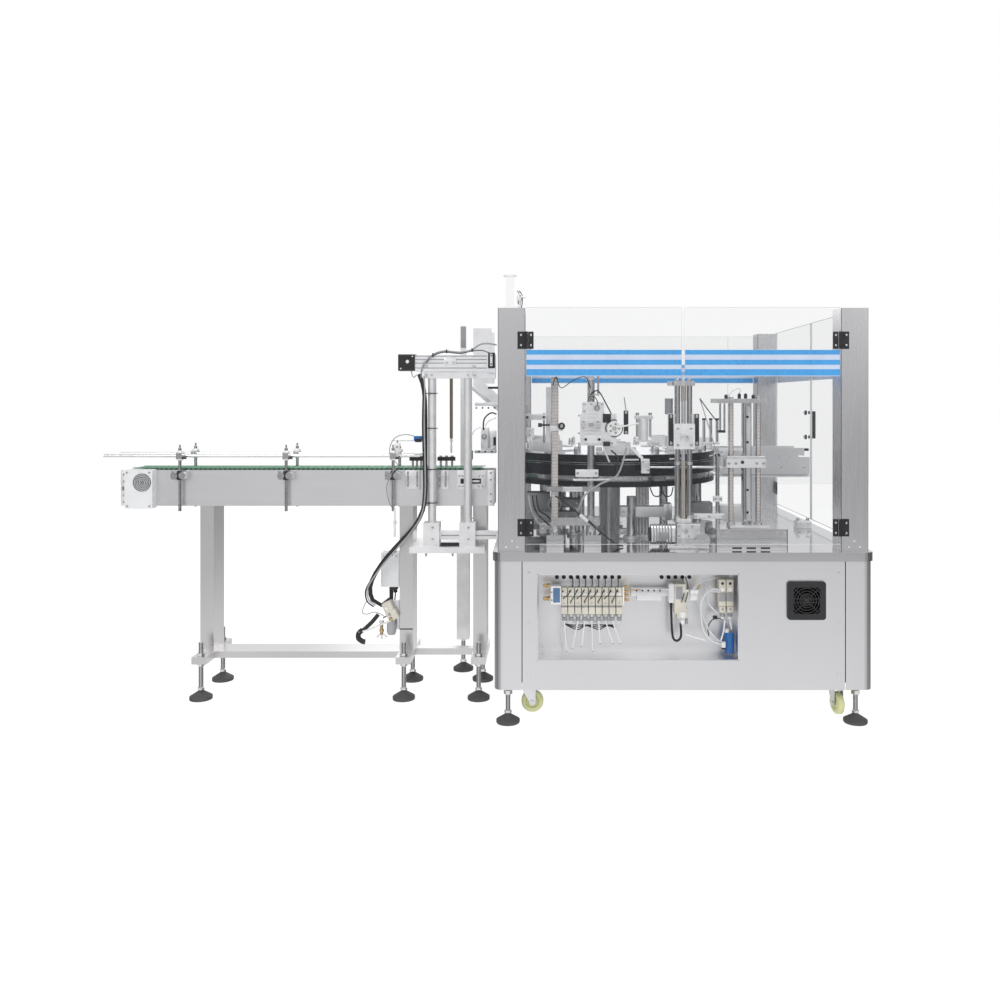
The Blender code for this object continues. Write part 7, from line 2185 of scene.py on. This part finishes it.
def press_columns(piece):
    """Rulers, collars and nuts of the columns, and the cap's knobs."""
    for x in (0.8205, 0.9155):
        scale_strip(piece, x, PRESS_Y, 0.009, 0.664, 1.079)
        piece.pipe((x, PRESS_Y, 0.6530), 0.0150, 0.0093, 0.010, ALUMINIUM)
        piece.nut((x, PRESS_Y, CAP_TOP), 0.0082, 0.007)
    for x, tall in ((0.800, 0.012), (0.846, 0.016), (0.868, 0.016), (0.8945, 0.012)):
        piece.rod((x, CAP_FRONT, CAP_TOP), LOW_KNOB, tall, BLACK_PLASTIC)
        piece.rod((x, CAP_FRONT, CAP_TOP + tall), 0.0032, 0.004, PLATED)
    piece.tube(
        [
            (0.846, 0.132, 1.112), (0.850, 0.128, 1.125), (0.836, 0.126, 1.128), (0.812, 0.128, 1.110),
            (0.804, 0.131, 1.080),
        ],
        THIN_CABLE, TUBE_CLEAR,
    )
    cap = 0.120
    bolts(piece, cap, ((0.775, 1.087), (0.823, 1.087), (0.913, 1.087), (0.935, 1.087)), PANEL_HEAD)


def press_guides(piece):
    """Hanging rods, the pillar's rail, side clamp and three pins."""
    for x in (0.781, 0.796):
        piece.rod((x, 0.140, 0.985), PIN, 0.0940, PLATED)
    piece.box((0.774, 0.134, 0.976), (0.7990, 0.148, 0.9848), BLACK_METAL, BLOCK_EDGE)
    pillar = 0.203
    face_plate(piece, pillar, 0.0022, (0.8790, 0.9010), (0.660, 1.070), WHITE_ALUMINIUM, LEAF_EDGE)
    for z in (0.690, 0.770, 0.940, 1.030):
        bolts(piece, pillar - 0.0022, ((0.890, z),), PANEL_HEAD, BLACK_METAL)
    piece.box((0.7560, 0.134, 0.7355), (0.7875, 0.1425, 0.7550), ALUMINIUM, BLOCK_EDGE)
    bolts(piece, 0.134, ((0.7635, 0.7455), (0.7815, 0.7455)), CLAMP_HEAD)
    piece.rod((0.674, 0.166, 0.854), RAIL_PIN, 0.120, PLATED, "X")
    piece.box((0.687, 0.126, 0.6775), (0.795, 0.1395, 0.6950), WHITE_ALUMINIUM, BLOCK_EDGE)
    bolts(piece, 0.126, ((0.694, 0.686), (0.740, 0.686), (0.788, 0.686)), PANEL_HEAD)
    for x in (0.728, 0.752, 0.774):
        piece.rod((x, RODS_Y, 0.9425), 0.0050, 0.0775, PLATED)
        piece.rod((x, RODS_Y, 1.0200), 0.0066, 0.006, BLACK_METAL)
    piece.box((0.720, 0.152, 0.9340), (0.782, 0.168, 0.9425), ALUMINIUM, BLOCK_EDGE)


def press_base(piece):
    """Scribed line, bolts, black plates as painted shade in the slots, and the raised plate."""
    face = 0.045
    line = 0.620
    face_plate(piece, face, 0.0010, (0.748, 0.992), (line, line + 0.0012), COIL_GREY, MARK_EDGE)
    for x in (0.7570, 0.7870, 0.9570, 0.9830):
        bolts(piece, face, ((x, 0.638), (x, 0.602)), 0.0056)
    # Black plates on the face are painted shade in the base's slots; collars stand on the top.
    for x in (0.820, 0.868, 0.916):
        face_plate(piece, face, 0.0010, (x - 0.016, x + 0.016), (0.5860, 0.5915), BLACK_METAL, FOIL_EDGE)
        piece.rod((x, 0.080, PRESS_BASE_TOP), COLLAR, 0.0050, PLATED)
    piece.box((0.800, 0.062, PRESS_BASE_TOP), (0.936, 0.098, 0.6600), ALUMINIUM, BLOCK_EDGE)


def press_arm(piece):
    """The knob and arm behind the carriage."""
    piece.rod((0.7735, PRESS_Y, 0.8942), 0.0095, 0.008, BLACK_PLASTIC)
    piece.box((0.786, 0.184, 0.895), (0.8785, 0.2047, 0.917), WHITE_ALUMINIUM, BLOCK_EDGE)
    bolts(piece, 0.184, ((0.794, 0.906), (0.836, 0.906)), CLAMP_HEAD)


def press_station():
    """Scales, clamps, rails, base slots and bolts of the press station."""
    piece = Piece("press_station")
    for add in (press_columns, press_guides, press_base, press_arm):
        add(piece)
    piece.done("machine")


def press_carriage_look():
    """Screws and the top bar that move with the press."""
    moving = Piece("press_carriage_look")
    low, high = plan_box("press_carriage")
    front = low.y - SEAT
    moving.rod((0.8550, front, 0.8740), BOSS, -0.0016, BLACK_METAL, "Y")
    for x in (0.808, 0.832, 0.904, 0.928):
        bolts(moving, low.y, ((x, 0.8700),), LATCH_HEAD)
    moving.box(
        (0.802, low.y + 0.002, high.z + SEAT), (0.934, low.y + 0.014, 0.8950), ALUMINIUM, BLOCK_EDGE
    )
    moving.done("press")


def outfeed_trim():
    """Rails, end caps and screws of the outfeed trough."""
    piece = Piece("outfeed_trim")
    low, high = plan_box("outfeed_trough")
    front = low.y - SEAT
    screws(piece, front, (0.900, 1.000, 1.100, 1.190), (0.8250,), BLOCK_HEAD)
    piece.box(
        (high.x - 0.020, low.y + 0.003, high.z - 0.012),
        (high.x - 0.002, low.y + 0.015, high.z - 0.002), BLACK_PLASTIC, ROUND_EDGE,
    )
    piece.box((0.870, front - 0.0012, 0.7920), (1.205, front, 0.7960), COIL_GREY, FOIL_EDGE)
    piece.done("machine")


# Stage, light and camera


def build_stage():
    """A white floor that metal doesn't mirror."""
    floor_size = 14.0
    shape = bmesh.new()
    bmesh.ops.create_grid(shape, x_segments=8, y_segments=8, size=floor_size / 2)
    data = bpy.data.meshes.new("studio_floor")
    shape.to_mesh(data)
    shape.free()
    floor = bpy.data.objects.new("studio_floor", data)
    floor.location = (0, 1.0, -0.0006)
    bpy.context.scene.collection.objects.link(floor)
    surface = Surface("studio_white", (0.16, 0.16, 0.16), 0.9)
    surface.vary_colour(surface.noise((2, 2, 2)), 0.01)
    surface.shader.inputs["Emission Color"].default_value = (1.0, 1.0, 1.0, 1.0)
    surface.shader.inputs["Emission Strength"].default_value = 0.93
    data.materials.append(surface.material)
    floor.visible_glossy = False


def build_world():
    """White to the camera, and a soft grey gradient in reflections so that metal has tone."""
    world = bpy.data.worlds.new("studio")
    bpy.context.scene.world = world
    world.use_nodes = True
    tree = world.node_tree
    tree.nodes.clear()
    output = tree.nodes.new("ShaderNodeOutputWorld")
    mix = tree.nodes.new("ShaderNodeMixShader")
    seen = tree.nodes.new("ShaderNodeBackground")
    seen.inputs["Color"].default_value = (1, 1, 1, 1)
    seen.inputs["Strength"].default_value = 1.0
    around = tree.nodes.new("ShaderNodeBackground")
    ramp = tree.nodes.new("ShaderNodeValToRGB")
    ramp.color_ramp.elements[0].position = 0.10
    ramp.color_ramp.elements[0].color = (0.95, 0.95, 0.95, 1)
    ramp.color_ramp.elements[1].position = 0.80
    ramp.color_ramp.elements[1].color = (1.0, 1.0, 1.0, 1)
    for place, grey in ((0.37, 1.0), (0.45, 0.30), (0.56, 0.88)):
        middle = ramp.color_ramp.elements.new(place)
        middle.color = (grey, grey, grey * 1.02, 1)
    place = tree.nodes.new("ShaderNodeTexCoord")
    split = tree.nodes.new("ShaderNodeSeparateXYZ")
    span = tree.nodes.new("ShaderNodeMapRange")
    span.inputs["From Min"].default_value = -1.0
    span.inputs["From Max"].default_value = 1.0
    rays = tree.nodes.new("ShaderNodeLightPath")
    tree.links.new(place.outputs["Generated"], split.inputs["Vector"])
    tree.links.new(split.outputs["Z"], span.inputs["Value"])
    tree.links.new(span.outputs["Result"], ramp.inputs["Fac"])
    tree.links.new(ramp.outputs["Color"], around.inputs["Color"])
    aside = tree.nodes.new("ShaderNodeMath")
    aside.operation = "ABSOLUTE"
    walls = tree.nodes.new("ShaderNodeMapRange")
    walls.inputs["From Min"].default_value = 0.30
    walls.inputs["From Max"].default_value = 0.92
    walls.inputs["To Min"].default_value = 0.92
    walls.inputs["To Max"].default_value = 0.22
    tree.links.new(split.outputs["X"], aside.inputs[0])
    tree.links.new(aside.outputs["Value"], walls.inputs["Value"])
    tree.links.new(walls.outputs["Result"], around.inputs["Strength"])
    tree.links.new(rays.outputs["Is Camera Ray"], mix.inputs["Fac"])
    tree.links.new(around.outputs["Background"], mix.inputs[1])
    tree.links.new(seen.outputs["Background"], mix.inputs[2])
    tree.links.new(mix.outputs["Shader"], output.inputs["Surface"])


def area_light(name, place, aim, size, power):
    """A soft rectangular light that points at a place."""
    light = bpy.data.lights.new(name, "AREA")
    light.shape = "RECTANGLE"
    light.size = size[0]
    light.size_y = size[1]
    light.energy = power
    obj = bpy.data.objects.new(name, light)
    obj.location = place
    direction = Vector(aim) - Vector(place)
    obj.rotation_euler = direction.to_track_quat("-Z", "Y").to_euler()
    bpy.context.scene.collection.objects.link(obj)


def build_lights():
    """Four soft lights: from the left, the right, above and behind."""
    area_light("key", (-2.2, -3.6, 3.6), (0.2, 0.0, 0.7), (2.6, 2.2), 42)
    area_light("fill", (3.4, -2.8, 2.6), (0.4, 0.0, 0.7), (2.2, 2.6), 22)
    area_light("top", (0.3, 0.2, 4.2), (0.3, 0.0, 0.0), (3.6, 2.8), 40)
    area_light("back", (0.2, 4.2, 2.8), (0.2, 0.0, 0.9), (3.6, 2.0), 26)


def build_camera():
    """The photograph's view, level and square on to the machine's front."""
    camera = bpy.data.cameras.new("photo_view")
    camera.sensor_width = 36.0
    camera.lens = 32.4
    camera.shift_x = -0.045
    camera.shift_y = -0.10
    camera.clip_end = 60
    obj = bpy.data.objects.new("photo_view", camera)
    distance = 3.0
    height = 1.09
    axis_in_plan = 0.17
    obj.location = (PLAN.x + axis_in_plan, PLAN.y - distance, height)
    obj.rotation_euler = (math.radians(90), 0, 0)
    bpy.context.scene.collection.objects.link(obj)
    bpy.context.scene.camera = obj
    bpy.context.scene.view_settings.view_transform = "Standard"


finish_nodes()
cabinet_trim()
fan_face()
front_door("front_left_door", "left_door", ("left_lower_hinge", "left_upper_hinge"), 1)
front_door("front_right_door", "right_door", ("right_lower_hinge", "right_upper_hinge"), -1)
side_door("side_front_door", "side_front")
side_door("side_rear_door", "side_rear")
guard_trim()
latch_and_beacon()
for foot in ("front_left_foot", "front_right_foot", "back_left_foot", "back_right_foot"):
    levelling_foot(foot)
for wheel in CASTERS:
    caster_wheel(wheel)
caster_fork("front_left_wheel", "front_left_fork", "left_swivel")
caster_fork("front_right_wheel", "front_right_fork", "right_swivel")
turret_look()
turret_rings()
turret_foot()
valve_bank()
bay_fittings()
conveyor_trim()
product_sensor()
stand_feet()
gantry_trim()
pick_tip()
gantry_lines()
air_unit()
control_box_trim()
chute_trim()
folder_station()
folder_head_detail()
feed_wheel_look()
pusher_station()
pusher_carriage_look()
handwheel_look()
press_station()
press_carriage_look()
outfeed_trim()
build_stage()
build_world()
build_lights()
build_camera()
